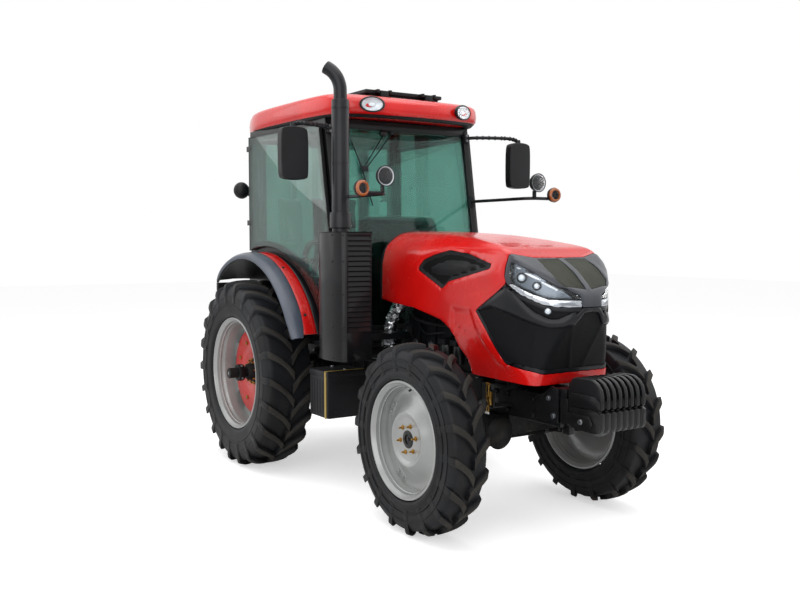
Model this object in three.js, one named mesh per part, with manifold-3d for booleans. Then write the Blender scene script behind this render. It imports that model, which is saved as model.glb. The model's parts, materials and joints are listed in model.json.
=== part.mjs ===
// Farm tractor with a cab, four driven wheels and a rear three-point hitch.
// Millimetres. +X is forward, +Y is the driver's left, +Z is up.
// Inside the tractor group x = 0 is the rear axle, y = 0 the middle and z = 0 the ground.
import * as THREE from 'three';
import { mergeVertices } from 'three/addons/utils/BufferGeometryUtils.js';
import Module from 'manifold-3d';

const wasm = await Module();
wasm.setup();

// ---------------------------------------------------------------- driving dimensions

const GAP = 0.3;            // between pieces that touch
const RUNNING = 0.6;        // radial play of a pin or shaft in its eye
const CLEAR = 6;            // between a moving piece and what it passes

const WHEELBASE = 2020;

// Across a wheel, 0 is its middle and outwards is positive.
const TYRE_SIDES = 36;
const WHEEL_SIDES = 24;
const REAR = {
  track: 1500, tyreRadius: 672, tyreWidth: 364, rimRadius: 403, rimHalf: 152, wellRadius: 355,
  discAt: 12, discRadius: 235, dish: -34, hubRadius: 96, shaftRadius: 38, shaftIn: -230, shaftOut: 196,
};
const FRONT = {
  track: 1304, tyreRadius: 533, tyreWidth: 240, rimRadius: 330, rimHalf: 106, wellRadius: 286,
  discAt: 10, discRadius: 150, dish: 20, hubRadius: 74, shaftRadius: 38, capDepth: 38,
};

const STEER = {
  pinAt: 552, pinRadius: 20, bossRadius: 62, bossHalf: 55, jaw: 26,
  armBack: 170, rodRadius: 14, ballRadius: 24, ballPin: 11,
};

const AXLE = { beamRadius: 52, trumpetRadius: 84, trumpetEnd: 560, flangeRadius: 128 };

const DRIVELINE = {
  gearboxFront: 1150, gearboxHalf: 190, gearboxBottom: 440, gearboxTop: 800,
  liftRear: -500, liftTop: 1050, bottom: 430, shaftZ: 640, shaftRadius: 17.5, shaftOut: 95,
};

const ENGINE = {
  front: 1960, half: 225, bottom: 830, top: 1400, sumpHalf: 160, sumpBottom: 640,
};

const FRAME = { front: 2640, half: 160, bottom: 640, top: 800 };

const WEIGHTS = { front: 2930, rear: 2690, slab: 42, count: 8, bottom: 650, top: 930, groove: 5 };

const RADIATOR = { rear: 2170, front: 2290, half: 235, top: 1400 };

const HOOD = {
  rear: 1120, nose: 2700, half: 342, lowHalf: 290, top: 1692, bottom: 1250, lip: 858, wall: 16,
  hingeX: 1190, hingeZ: 1570, tubeRadius: 14, tubeHalf: 252, openBelow: 40,
};

const CAB = {
  wall: 45, top: 2440, floorTop: 940, floor: 40, platformTop: 1150, platformFront: 350,
  pillar: 55, pillarTopX: 815, pillarFootX: 985, pillarKneeZ: 1500, sillZ: 960,
  frontHalf: 575, hingeX: -255, hingeHalf: 640, rearX: -505, rearHalf: 480, rearSill: 1330, glass: 8,
};

const DOOR = { thick: 28, border: 46, bottom: 985, top: 2395, pinRadius: 9, hinges: [1760, 2310] };

const ROOF = { front: 1075, rear: -620, half: 655, thick: 135, crown: 28 };

const HATCH = {
  front: 880, rear: 330, half: 310, thick: 28, lip: 34, pinRadius: 6, pinOut: 24, hinges: [-180, 180],
};

const FENDER = {
  radius: 870, thick: 26, inner: 528, outer: 832, wall: 14, skirt: 54, from: 23, to: 130,
};

// The exhaust stands just outboard of the cab's front corner.
const EXHAUST = {
  x: 1200, y: -CAB.frontHalf - 105, guardFront: 1350, guardRear: 1032, guardIn: 29 - CAB.frontHalf,
  guardOut: -CAB.frontHalf - 207, bulge: 0.55,
  guardBottom: 885, guardTop: 1680, wall: 8, stackRadius: 54, footZ: 930, shieldTop: 2490, tipRadius: 42,
};

const BATTERY = { rear: 886, front: 1146, inner: 455, outer: 750, bottom: 495, top: 800 };

const TANK = { rear: 745, front: 1145, inner: 330, outer: 590, bottom: 470, top: 820 };

const STEPS = { outer: 800, rear: 760, front: 1060, low: 400, high: 690, plate: 22 };

const SEAT = { x: 130, half: 235, depth: 470, top: 1470, cushion: 110, back: 520, backThick: 110 };

const COLUMN = { wheelX: 545, wheelZ: 1640, wheelRadius: 195, rimRadius: 15, lean: 37, shaftRadius: 16 };

const MIRROR = {
  x: 1000, y: CAB.frontHalf + 330, width: 190, height: 330, depth: 70, bottom: 2005, armZ: 2362, tube: 12,
};

const LAMPS = {
  armZ: 1905, reach: 1540, outer: CAB.frontHalf + 170, tube: 11, bowlAt: CAB.frontHalf + 15, bowlZ: 2005,
  bowlRadius: 62,
};

const HITCH = {
  shaftX: -420, shaftZ: 950, shaftRadius: 30, armPlane: 300, armLength: 300, armDrop: 15, armThick: 30,
  linkX: -150, linkZ: 445, linkEnd: -1010, linkInner: 222, linkOuter: 382, linkThick: 30, linkHeight: 56,
  rodAt: -600, rodPlane: 350, rodRadius: 15, pinRadius: 12, eyeRadius: 30, eyeThick: 44, eyeBore: 14,
};

const TOP_LINK = { back: 44, low: 800, length: 450, radius: 18, ear: 24, earHalf: 45 };

const DRAWBAR = {
  rear: -960, front: 60, half: 42, bottom: 330, thick: 32, step: 2, stepAt: -480,
  holeBack: 70, holeRadius: 16,
};

const REAR_AXLE_Z = REAR.tyreRadius * Math.cos(Math.PI / TYRE_SIDES);
const FRONT_AXLE_Z = FRONT.tyreRadius * Math.cos(Math.PI / TYRE_SIDES);
const OVERALL_MIDDLE = (WEIGHTS.front + HITCH.linkEnd - HITCH.eyeRadius) / 2;

// ---------------------------------------------------------------- materials

function paint(name, color, roughness, metalness, opacity = 1) {
  const material = new THREE.MeshStandardMaterial({ color, roughness, metalness, opacity });
  material.name = name;
  material.transparent = opacity < 1;
  return material;
}

const RED = paint('red_paint', 0xd6201a, 0.3, 0.1);
const BLACK_PAINT = paint('black_paint', 0x16171a, 0.45, 0.2);
const BLACK_PLASTIC = paint('black_plastic', 0x1d1f22, 0.55, 0);
const GREY_PLASTIC = paint('grey_plastic', 0x4b5058, 0.5, 0);
const CAST_IRON = paint('cast_iron', 0x2a2c2f, 0.6, 0.4);
const RUBBER = paint('tyre_rubber', 0x1b1c1e, 0.85, 0);
const RIM_PAINT = paint('silver_rim', 0xb9bab6, 0.4, 0.5);
const GLASS = paint('green_glass', 0x7fa79a, 0.08, 0, 0.35);
const FABRIC = paint('seat_cover', 0x222326, 0.9, 0);
const STEEL = paint('bare_steel', 0x8c8f92, 0.35, 0.8);

// ---------------------------------------------------------------- shape helpers

function solidOf(geometry) {
  const bare = new THREE.BufferGeometry();
  bare.setAttribute('position', geometry.getAttribute('position').clone());
  if (geometry.index) {
    bare.setIndex(geometry.index.clone());
  }
  const merged = mergeVertices(bare, 1e-3);
  const corners = merged.index.array;
  const triangles = [];
  for (let i = 0; i < corners.length; i += 3) {
    const [a, b, c] = [corners[i], corners[i + 1], corners[i + 2]];
    if (a !== b && b !== c && c !== a) {
      triangles.push(a, b, c);
    }
  }
  return new wasm.Manifold(new wasm.Mesh({
    numProp: 3,
    vertProperties: new Float32Array(merged.getAttribute('position').array),
    triVerts: new Uint32Array(triangles),
  }));
}

function geometryOf(solid) {
  const mesh = solid.getMesh();
  const geometry = new THREE.BufferGeometry();
  geometry.setAttribute('position', new THREE.BufferAttribute(new Float32Array(mesh.vertProperties), 3));
  geometry.setIndex(new THREE.BufferAttribute(new Uint32Array(mesh.triVerts), 1));
  geometry.computeVertexNormals();
  return geometry;
}

function join(...solids) {
  return solids.reduce((whole, next) => whole.add(next));
}

function piece(name, solid, material) {
  const mesh = new THREE.Mesh(geometryOf(solid), material);
  mesh.name = name;
  return mesh;
}

// A box between two corners, given as its ranges along x, y and z.
function block([x0, x1], [y0, y1], [z0, z1]) {
  const geometry = new THREE.BoxGeometry(x1 - x0, y1 - y0, z1 - z0);
  geometry.translate((x0 + x1) / 2, (y0 + y1) / 2, (z0 + z1) / 2);
  return solidOf(geometry);
}

function shapeOf(points, holes = []) {
  const shape = new THREE.Shape(points.map(([a, b]) => new THREE.Vector2(a, b)));
  for (const hole of holes) {
    shape.holes.push(new THREE.Path(hole.map(([a, b]) => new THREE.Vector2(a, b))));
  }
  return shape;
}

function extruded(points, depth, holes) {
  return new THREE.ExtrudeGeometry(shapeOf(points, holes), { depth, bevelEnabled: false });
}

// A side-view outline (x, z) carried across from y0 to y1.
function sideways(points, y0, y1, holes) {
  const geometry = extruded(points, y1 - y0, holes);
  geometry.rotateX(Math.PI / 2);
  geometry.translate(0, y1, 0);
  return solidOf(geometry);
}

// A plan outline (x, y) carried up from z0 to z1.
function upward(points, z0, z1, holes) {
  const geometry = extruded(points, z1 - z0, holes);
  geometry.translate(0, 0, z0);
  return solidOf(geometry);
}

// A front-view outline (y, z) carried forward from x0 to x1.
function forward(points, x0, x1, holes) {
  const geometry = extruded(points, x1 - x0, holes);
  const turn = new THREE.Matrix4().makeBasis(
    new THREE.Vector3(0, 1, 0), new THREE.Vector3(0, 0, 1), new THREE.Vector3(1, 0, 0));
  geometry.applyMatrix4(turn);
  geometry.translate(x0, 0, 0);
  return solidOf(geometry);
}

const AXIS_TURN = { x: [0, 0, -Math.PI / 2], y: [0, 0, 0], z: [Math.PI / 2, 0, 0] };

// A round bar along one axis from start to end; centre holds its place on all three axes.
function bar(axis, radius, start, end, centre, sides = 16) {
  const geometry = new THREE.CylinderGeometry(radius, radius, end - start, sides);
  geometry.rotateX(AXIS_TURN[axis][0]);
  geometry.rotateZ(AXIS_TURN[axis][2]);
  const place = { x: centre[0], y: centre[1], z: centre[2] };
  place[axis] = (start + end) / 2;
  geometry.translate(place.x, place.y, place.z);
  return solidOf(geometry);
}

// A profile of [radius, across] pairs turned about the y axis, with a flat at the bottom.
function turned(profile, sides) {
  const points = profile.map(([r, a]) => new THREE.Vector2(r, a));
  const geometry = new THREE.LatheGeometry(points, sides, Math.PI / sides);
  return solidOf(geometry);
}

function tube(points, radius, sides = 8, steps = 12, tension = 0.5) {
  const corners = points.map((p) => new THREE.Vector3(...p));
  const path = new THREE.CatmullRomCurve3(corners, false, 'catmullrom', tension);
  const ring = [];
  for (let i = 0; i < sides; i += 1) {
    const turn = (2 * Math.PI * i) / sides;
    ring.push([radius * Math.cos(turn), radius * Math.sin(turn)]);
  }
  const options = { steps, extrudePath: path, bevelEnabled: false };
  return solidOf(new THREE.ExtrudeGeometry(shapeOf(ring), options));
}

function arc(cx, cz, radius, fromDegrees, toDegrees, steps) {
  const points = [];
  for (let i = 0; i <= steps; i += 1) {
    const turn = THREE.MathUtils.degToRad(fromDegrees + ((toDegrees - fromDegrees) * i) / steps);
    points.push([cx + radius * Math.cos(turn), cz + radius * Math.sin(turn)]);
  }
  return points;
}

function turnedAbout(solid, axis, degrees, [x, y, z]) {
  const turn = [0, 0, 0];
  turn['xyz'.indexOf(axis)] = degrees;
  return solid.translate([-x, -y, -z]).rotate(turn).translate([x, y, z]);
}

// The right-hand copy of a solid that was drawn on the left, or the solid itself.
function onSide(solid, side) {
  return side > 0 ? solid : solid.mirror([0, 1, 0]);
}

const SIDES = [['left', 1], ['right', -1]];
const ARC_STEPS = 14;

// ---------------------------------------------------------------- wheels

// The tyre's ring, whose beads stand on the rim's flanges with the gap around them. The corners of the rim
// fall a quarter of a side away from the middle of the tyre's flat sides.
function tyreProfile(size) {
  const { tyreRadius: r, tyreWidth: w, rimRadius: rim, rimHalf } = size;
  const depth = r - rim;
  const side = Math.PI / TYRE_SIDES;
  const bore = ((rim + GAP) * Math.cos(side / 2)) / Math.cos(side);
  return [
    [bore, 6 - rimHalf], [bore, -rimHalf - 4], [rim + 0.45 * depth, -w / 2],
    [r - 0.16 * depth, -0.47 * w], [r, -0.36 * w], [r, 0.36 * w], [r - 0.16 * depth, 0.47 * w],
    [rim + 0.45 * depth, w / 2], [bore, rimHalf + 4],
    [bore, rimHalf - 6], [r - 0.42 * depth, 0], [bore, 6 - rimHalf],
  ];
}

// Rim, disc and hub as one turned piece, as [radius, across] with across growing outwards.
function wheelProfile(size) {
  const { rimRadius: rim, rimHalf: half, wellRadius: well, discAt, discRadius, dish, hubRadius } = size;
  const wall = 9;
  const plate = 14;
  const seat = rim - 22;
  const rimLoop = [
    [seat - wall, -half + 12], [rim, -half], [seat, -half + 16], [well, -half + 80], [well, half - 80],
    [seat, half - 16], [rim, half], [seat - wall, half - 12],
  ];
  const back = discAt - plate;
  const inFace = [[hubRadius, back + dish], [discRadius, back], [well - wall, back]];
  const outFace = [[well - wall, discAt], [discRadius, discAt], [hubRadius, discAt + dish]];
  return [...size.hubBack, ...inFace, ...rimLoop, ...outFace, ...size.hubFront];
}

// The rear hub carries its own shaft, which runs in the axle housing and out past the disc.
function rearHub(size) {
  const { hubRadius, shaftRadius, discAt, shaftIn, shaftOut } = size;
  return {
    hubBack: [[0, shaftIn], [shaftRadius, shaftIn], [shaftRadius, discAt - 62], [hubRadius, discAt - 62]],
    hubFront: [[hubRadius, discAt + 40], [shaftRadius, discAt + 60], [shaftRadius, shaftOut], [0, shaftOut]],
  };
}

// The front hub is a cap over the knuckle's spindle.
function frontHub(size) {
  const { hubRadius, shaftRadius, discAt, dish, capDepth } = size;
  const bore = shaftRadius + RUNNING;
  const face = discAt + dish;
  return {
    hubBack: [[0, face + 4], [bore, face + 4], [bore, face - 14]],
    hubFront: [[hubRadius - 18, face + capDepth], [0, face + capDepth]],
  };
}

function wheel(name, size, side, isRear) {
  const group = new THREE.Group();
  const [x, z] = isRear ? [0, REAR_AXLE_Z] : [WHEELBASE, FRONT_AXLE_Z];
  group.position.set(x, (side * size.track) / 2, z);
  const tyre = turned(tyreProfile(size), TYRE_SIDES);
  const hub = isRear ? rearHub(size) : frontHub(size);
  const rim = onSide(turned(wheelProfile({ ...size, ...hub }), WHEEL_SIDES), side);
  group.add(piece(`${name}_tyre`, tyre, RUBBER));
  group.add(piece(`${name}_wheel`, rim, RIM_PAINT));
  return group;
}

// ---------------------------------------------------------------- axles and steering

function frontAxleBeam() {
  const { pinAt, pinRadius, bossRadius, bossHalf } = STEER;
  const z = FRONT_AXLE_Z;
  const at = [WHEELBASE, 0, z];
  const inner = pinAt - bossRadius * 0.5;
  let beam = bar('y', AXLE.beamRadius, -inner, inner, at);
  beam = beam.add(bar('y', 105, -250, -60, [WHEELBASE, 0, z - 12], 20));
  beam = beam.add(block([WHEELBASE - 90, WHEELBASE + 90], [-75, 75], [z - 45, FRAME.bottom - GAP]));
  for (const y of [-pinAt, pinAt]) {
    const boss = [WHEELBASE, y, 0];
    beam = beam.add(bar('z', bossRadius, z - bossHalf, z + bossHalf, boss));
    beam = beam.subtract(bar('z', pinRadius + RUNNING, z - bossHalf - 1, z + bossHalf + 1, boss));
  }
  return piece('front_axle_beam', beam, CAST_IRON);
}

// The steered end of the axle: two jaws over the beam's boss, the king pin, the spindle and the arm.
function knuckle(side) {
  const { pinAt, pinRadius, bossRadius, bossHalf, jaw, armBack, ballPin } = STEER;
  const z = FRONT_AXLE_Z;
  const low = z - bossHalf - CLEAR;
  const high = z + bossHalf + CLEAR;
  const flangeAt = pinAt + bossRadius + CLEAR;
  const spindleEnd = FRONT.track / 2 + FRONT.discAt + FRONT.dish + 3;
  const along = [WHEELBASE - bossRadius, WHEELBASE + bossRadius];
  const across = [pinAt - 48, flangeAt + 24];
  let body = block(along, across, [low - jaw, low]);
  body = body.add(block(along, across, [high, high + jaw]));
  body = body.add(block(along, [flangeAt, flangeAt + 24], [low - jaw, high + jaw]));
  body = body.add(bar('z', pinRadius, low - 1, high + 1, [WHEELBASE, pinAt, 0]));
  body = body.add(bar('y', FRONT.shaftRadius, flangeAt + 20, spindleEnd, [WHEELBASE, 0, z], 24));
  const eyeX = WHEELBASE - armBack;
  const armOutline = [
    [WHEELBASE, pinAt - 40], [WHEELBASE, pinAt + 40], [eyeX, pinAt + 30], [eyeX - 30, pinAt],
    [eyeX, pinAt - 30],
  ];
  body = body.add(upward(armOutline, low - jaw, low - CLEAR));
  body = body.subtract(bar('z', ballPin + RUNNING, low - jaw - 1, low, [eyeX, pinAt, 0]));
  return piece(`knuckle_${side > 0 ? 'left' : 'right'}`, onSide(body, side), CAST_IRON);
}

function tieRod() {
  const { pinAt, bossHalf, jaw, armBack, rodRadius, ballRadius, ballPin } = STEER;
  const x = WHEELBASE - armBack;
  const armLow = FRONT_AXLE_Z - bossHalf - CLEAR - jaw;
  const ballHalf = rodRadius + 4;
  const rodZ = armLow - CLEAR - ballHalf;
  let rod = bar('y', rodRadius, -pinAt + 10, pinAt - 10, [x, 0, rodZ], 12);
  for (const end of [-pinAt, pinAt]) {
    rod = rod.add(bar('z', ballRadius, rodZ - ballHalf, rodZ + ballHalf, [x, end, 0], 16));
    rod = rod.add(bar('z', ballPin, rodZ, armLow + 16, [x, end, 0], 16));
  }
  return piece('tie_rod', rod, BLACK_PAINT);
}

function transmission() {
  const d = DRIVELINE;
  const z = REAR_AXLE_Z;
  const seat = AXLE.trumpetEnd;
  const outline = [
    [d.liftRear, d.bottom + 60], [d.liftRear + 60, d.bottom], [330, d.bottom], [420, d.gearboxBottom],
    [d.gearboxFront - GAP, d.gearboxBottom], [d.gearboxFront - GAP, d.gearboxTop + 60],
    [d.gearboxFront - 120, d.gearboxTop], [340, d.gearboxTop], [270, d.liftTop], [d.liftRear, d.liftTop],
  ];
  let housing = sideways(outline, -d.gearboxHalf, d.gearboxHalf);
  housing = housing.add(bar('y', AXLE.trumpetRadius, -seat, seat, [0, 0, z], 24));
  for (const side of [-1, 1]) {
    const flange = bar('y', AXLE.flangeRadius, seat - 26, seat, [0, 0, z], 24);
    const bell = bar('y', 150, d.gearboxHalf - 10, d.gearboxHalf + 70, [0, 0, z], 24);
    housing = housing.add(onSide(flange.add(bell), side));
    const bore = bar('y', REAR.shaftRadius + RUNNING, seat - 60, seat + 1, [0, 0, z], 24);
    housing = housing.subtract(onSide(bore, side));
  }
  const h = HITCH;
  const pivotAcross = [d.gearboxHalf - 5, h.linkInner - h.linkThick / 2 - CLEAR];
  const pivotPlate = block([h.linkX - 45, h.linkX + 45], pivotAcross, [h.linkZ - 50, h.linkZ + 50]);
  const pivotPin = bar('y', h.pinRadius, d.gearboxHalf, h.linkInner + 40, [h.linkX, 0, h.linkZ], 16);
  const pivot = pivotPlate.add(pivotPin);
  housing = housing.add(pivot).add(onSide(pivot, -1));
  const wide = d.gearboxHalf + 1;
  housing = housing.subtract(bar('y', h.shaftRadius + RUNNING, -wide, wide, [h.shaftX, 0, h.shaftZ], 24));
  const shaftCentre = [0, 0, d.shaftZ];
  housing = housing.add(bar('x', 62, d.liftRear - 14, d.liftRear + 5, shaftCentre, 20));
  housing = housing.add(bar('x', d.shaftRadius, d.liftRear - d.shaftOut, d.liftRear, shaftCentre));
  const towBar = DRAWBAR;
  const hangerHigh = [towBar.bottom - 20, d.bottom + 10];
  const hangers = join(block([-60, 40], [-60, 60], hangerHigh), block([-440, -360], [-60, 60], hangerHigh));
  const slot = block([towBar.rear, towBar.front + 1], [-towBar.half - GAP, towBar.half + GAP],
    [towBar.bottom - GAP, towBar.bottom + towBar.thick - towBar.step + GAP]);
  housing = housing.add(hangers.subtract(slot));
  return piece('transmission_housing', housing, CAST_IRON);
}

// The drawbar, a little thinner where it lies in the hangers under the housing.
function drawbar() {
  const { rear, front, half, bottom, thick, step, stepAt, holeBack, holeRadius } = DRAWBAR;
  const outline = [
    [stepAt, -half], [stepAt, half], [rear + half, half], [rear, half / 2], [rear, -half / 2],
    [rear + half, -half],
  ];
  const held = block([stepAt - 1, front], [-half, half], [bottom, bottom + thick - step]);
  const plate = upward(outline, bottom, bottom + thick).add(held);
  const hole = bar('z', holeRadius, bottom - 1, bottom + thick + 1, [rear + holeBack, 0, 0]);
  return piece('drawbar', plate.subtract(hole), BLACK_PAINT);
}

// ---------------------------------------------------------------- engine, frame and weights

function engine() {
  const e = ENGINE;
  const rear = DRIVELINE.gearboxFront;
  const upper = block([rear, e.front], [-e.half, e.half], [e.bottom, e.top]);
  const sump = block([rear, e.front], [-e.sumpHalf, e.sumpHalf], [e.sumpBottom, e.bottom + 1]);
  return piece('engine_block', join(upper, sump), CAST_IRON);
}

function frontFrame() {
  const f = FRAME;
  const start = ENGINE.front + GAP;
  const rails = block([start, f.front], [-f.half, f.half], [f.bottom, f.top]);
  const well = block([start + 60, f.front - 60], [30 - f.half, f.half - 30], [f.bottom + 40, f.top + 1]);
  const plateHigh = [WEIGHTS.bottom + 20, f.top];
  const nosePlate = block([f.front - 30, WEIGHTS.rear - GAP], [-f.half, f.half], plateHigh);
  return piece('front_frame', rails.subtract(well).add(nosePlate), BLACK_PAINT);
}

function radiator() {
  const { rear, front, half, top } = RADIATOR;
  return piece('radiator', block([rear, front], [-half, half], [FRAME.top + GAP, top]), BLACK_PAINT);
}

function frontWeights() {
  const { front, rear, slab, count, bottom, top, groove } = WEIGHTS;
  const half = (slab * count) / 2;
  const notchZ = bottom + 0.42 * (top - bottom);
  const outline = [
    [rear, bottom + 30], [rear + 60, bottom + 10], [front - 40, bottom], [front, notchZ - 8],
    [front - 22, notchZ], [front, notchZ + 10], ...arc(front - 90, top - 90, 90, 0, 90, 4),
    [rear + 60, top], [rear, top - 60],
  ];
  let stack = sideways(outline, -half, half);
  for (let i = 1; i < count; i += 1) {
    const y = -half + i * slab;
    const cutOutline = [
      [rear + 40, top + 5], [rear + 40, top - 30], [front - 90, top - 28], [front - 30, top - 60],
      [front - 30, bottom + 20], [front + 5, bottom + 20], [front + 5, top + 5],
    ];
    stack = stack.subtract(sideways(cutOutline, y - groove / 2, y + groove / 2));
  }
  return piece('front_weights', stack, BLACK_PAINT);
}

function batteryBox() {
  const b = BATTERY;
  const box = block([b.rear, b.front], [-b.outer, -b.inner], [b.bottom, b.top]);
  const reach = [-b.inner - 1, -DRIVELINE.gearboxHalf - GAP];
  const bracket = block([b.rear + 30, b.front - 30], reach, [b.bottom + 20, b.bottom + 60]);
  return piece('battery_box', box.add(bracket), BLACK_PLASTIC);
}

function fuelTankAndSteps() {
  const t = TANK;
  const s = STEPS;
  const outline = [
    [t.rear, t.bottom + 40], [t.rear + 40, t.bottom], [t.front - 40, t.bottom], [t.front, t.bottom + 40],
    [t.front, t.top - 30], [t.front - 30, t.top], [t.rear + 30, t.top], [t.rear, t.top - 30],
  ];
  const tank = sideways(outline, t.inner, t.outer);
  const reach = [DRIVELINE.gearboxHalf + GAP, t.inner + 1];
  const bracket = block([t.rear + 60, t.front - 60], reach, [t.bottom + 40, t.bottom + 90]);
  let whole = tank.add(bracket);
  for (const z of [s.low, s.high]) {
    whole = whole.add(block([s.rear, s.front], [t.outer - 5, s.outer], [z, z + s.plate]));
  }
  for (const x of [s.rear, s.front - s.plate]) {
    whole = whole.add(block([x, x + s.plate], [t.outer - 5, s.outer - 60], [s.low, s.high + s.plate]));
  }
  return piece('fuel_tank', whole, BLACK_PLASTIC);
}

// ---------------------------------------------------------------- exhaust

function guardOutline(inset) {
  const e = EXHAUST;
  const round = (e.guardFront - e.guardRear) / 2 - inset;
  const middle = (e.guardFront + e.guardRear) / 2;
  const bulge = arc(middle, 0, round, 180, 360, 8)
    .map(([x, y]) => [x, e.guardOut + inset + (y + round) * e.bulge]);
  return [[e.guardFront - inset, e.guardIn - inset], [e.guardRear + inset, e.guardIn - inset], ...bulge];
}

function mufflerGuard() {
  const e = EXHAUST;
  let guard = upward(guardOutline(0), e.guardBottom, e.guardTop);
  guard = guard.subtract(upward(guardOutline(e.wall), e.guardBottom - 1, e.guardTop - e.wall));
  const lid = [e.guardTop - e.wall - 1, e.guardTop + 1];
  guard = guard.subtract(bar('z', e.stackRadius + GAP, ...lid, [e.x, e.y, 0], 24));
  const reach = [e.guardIn - 2, -ENGINE.half - GAP];
  const bracket = block([e.guardRear + 60, e.guardFront - 60], reach, [1000, 1040]);
  return piece('muffler_guard', guard.add(bracket), BLACK_PAINT);
}

function exhaustStack() {
  const e = EXHAUST;
  const lower = bar('z', e.stackRadius, e.footZ, e.shieldTop, [e.x, e.y, 0], 24);
  const bend = [
    [e.x, e.y, e.shieldTop - 10], [e.x, e.y, e.shieldTop + 80], [e.x - 12, e.y - 14, e.shieldTop + 150],
    [e.x - 62, e.y - 62, e.shieldTop + 205],
  ];
  const pipe = tube(bend, e.tipRadius, 12, 8);
  return piece('exhaust_stack', lower.add(pipe), BLACK_PAINT);
}

// ---------------------------------------------------------------- hood

// The hood's outline from the side. The inner form runs on below and behind, so that the shell is open there.
function hoodSide(inset) {
  const h = HOOD;
  const i = inset;
  const under = i > 0 ? h.openBelow : 0;
  const behind = i > 0 ? 1 : 0;
  return [
    [h.rear - behind, h.bottom - under], [1500, 1216 - under], [1800, 1176 - under], [1900, 1140 - under],
    [1965, 1060], [2010, 950], [2070, h.lip - under], [2560 - i, h.lip - under], [2575 - i, 925],
    [2600 - i, 1010], [h.nose - 12 - i, 1222], [h.nose - i, 1300], [2682 - i, 1352], [2550, 1470 - i],
    [2400, 1552 - i], [2280, 1600 - i], [1830, 1658 - i], [1400, 1684 - i], [h.rear - behind, h.top - i],
  ];
}

function hoodPlan(inset) {
  const h = HOOD;
  const half = [
    [h.rear - 1, h.half - inset], [2150, h.half - inset], [2380, 330 - inset], [2540, 262 - inset],
    [2640, 170 - inset], [h.nose + 2 - inset, 60],
  ];
  return [...half.map(([x, y]) => [x, -y]), ...half.slice().reverse()];
}

function hoodSection(inset) {
  const h = HOOD;
  const half = [
    [h.lowHalf - inset, h.lip - 60], [h.lowHalf - inset, h.lip], [h.half - inset, 1130],
    [h.half - inset, 1450], [h.half - 12 - inset, 1530], [h.half - 48 - inset, 1600 - inset * 0.6],
    [h.half - 120 - inset, 1660 - inset], [100, 1690 - inset], [0, h.top - inset],
  ];
  const mirrored = half.slice(0, -1).reverse().map(([y, z]) => [-y, z]);
  return [...half, ...mirrored];
}

function hoodForm(inset) {
  const side = sideways(hoodSide(inset), -HOOD.half - 1, HOOD.half + 1);
  const plan = upward(hoodPlan(inset), HOOD.lip - 100, HOOD.top + 1);
  const section = forward(hoodSection(inset), HOOD.rear - 2, HOOD.nose + 2);
  return side.intersect(plan).intersect(section);
}

// Side-view regions of the nose: the dark cap with the lamps, and the mesh grille below it.
function capRegion(g) {
  return [
    [2345 - g, 1560 + g], [2360 - g, 1362 - g], [2500, 1320 - g], [2720, 1262 - g], [2720, 1600],
    [2345, 1700],
  ];
}

// Grown by a gap for cutting the hood, it also runs a little up into the cap's own cut.
function grilleRegion(g) {
  const seam = g > 0 ? 4 : -GAP;
  return [
    [2130 - g, 1236], [2235, 1302 + g], [2360, 1362 + seam], [2500, 1320 + seam], [2720, 1262 + seam],
    [2720, 932 - g], [2470, 932 - g], [2380 - g, 960 - g],
  ];
}

function hoodGroup() {
  const h = HOOD;
  const shell = hoodForm(0).subtract(hoodForm(h.wall));
  const cap = sideways(capRegion(0), -h.half - 5, h.half + 5);
  const capCut = sideways(capRegion(GAP), -h.half - 5, h.half + 5);
  const grille = sideways(grilleRegion(0), -h.half - 5, h.half + 5);
  const grilleCut = sideways(grilleRegion(GAP), -h.half - 5, h.half + 5);
  let red = shell.subtract(capCut).subtract(grilleCut);
  for (const y of [-240, 210]) {
    const lug = block([h.hingeX - 28, h.hingeX + 28], [y, y + 30], [h.hingeZ - 28, h.top]);
    red = red.add(lug.intersect(hoodForm(h.wall - 2)));
    red = red.subtract(bar('y', h.tubeRadius + RUNNING, y - 1, y + 31, [h.hingeX, 0, h.hingeZ], 24));
  }
  const group = new THREE.Group();
  group.add(piece('hood', red, RED));
  group.add(piece('nose_cap', shell.intersect(cap), GREY_PLASTIC));
  group.add(piece('front_grille', shell.intersect(grille), BLACK_PLASTIC));
  return group;
}

// The tube that the hood's lugs turn on, with its two feet on the engine.
function hoodHinge() {
  const h = HOOD;
  let hinge = bar('y', h.tubeRadius, -h.tubeHalf, h.tubeHalf, [h.hingeX, 0, h.hingeZ]);
  for (const y of [-150, 130]) {
    hinge = hinge.add(block([h.hingeX - 20, h.hingeX + 20], [y, y + 20], [ENGINE.top + GAP, h.hingeZ + 4]));
  }
  return piece('hood_hinge', hinge, BLACK_PAINT);
}

// ---------------------------------------------------------------- cab

const DOOR_RUN = [CAB.hingeHalf - CAB.frontHalf, CAB.pillarFootX - CAB.hingeX];
const DOOR_SLANT = THREE.MathUtils.radToDeg(Math.atan2(...DOOR_RUN));
const ARCH_RADIUS = FENDER.radius - 8;
const DOOR_PIN = [CAB.hingeX - 8, CAB.hingeHalf + CLEAR + DOOR.thick / 2];

// The front edge of the cab's side at a given height.
function pillarX(z) {
  const share = Math.max(0, (z - CAB.pillarKneeZ) / (CAB.top - CAB.pillarKneeZ));
  return CAB.pillarFootX + share * (CAB.pillarTopX - CAB.pillarFootX);
}

// The space of the rear fender, grown by the gap that the cab keeps from it.
function fenderSpace(side) {
  const f = FENDER;
  const grown = f.radius + GAP / Math.cos(THREE.MathUtils.degToRad((f.to - f.from) / ARC_STEPS / 2));
  const arch = arc(0, REAR_AXLE_Z, grown, f.from, f.to, ARC_STEPS);
  const below = REAR_AXLE_Z - f.radius;
  const outline = [...arch, [arch[ARC_STEPS][0], below], [arch[0][0], below]];
  return onSide(sideways(outline, f.inner - GAP, f.outer + 1), side);
}

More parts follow.
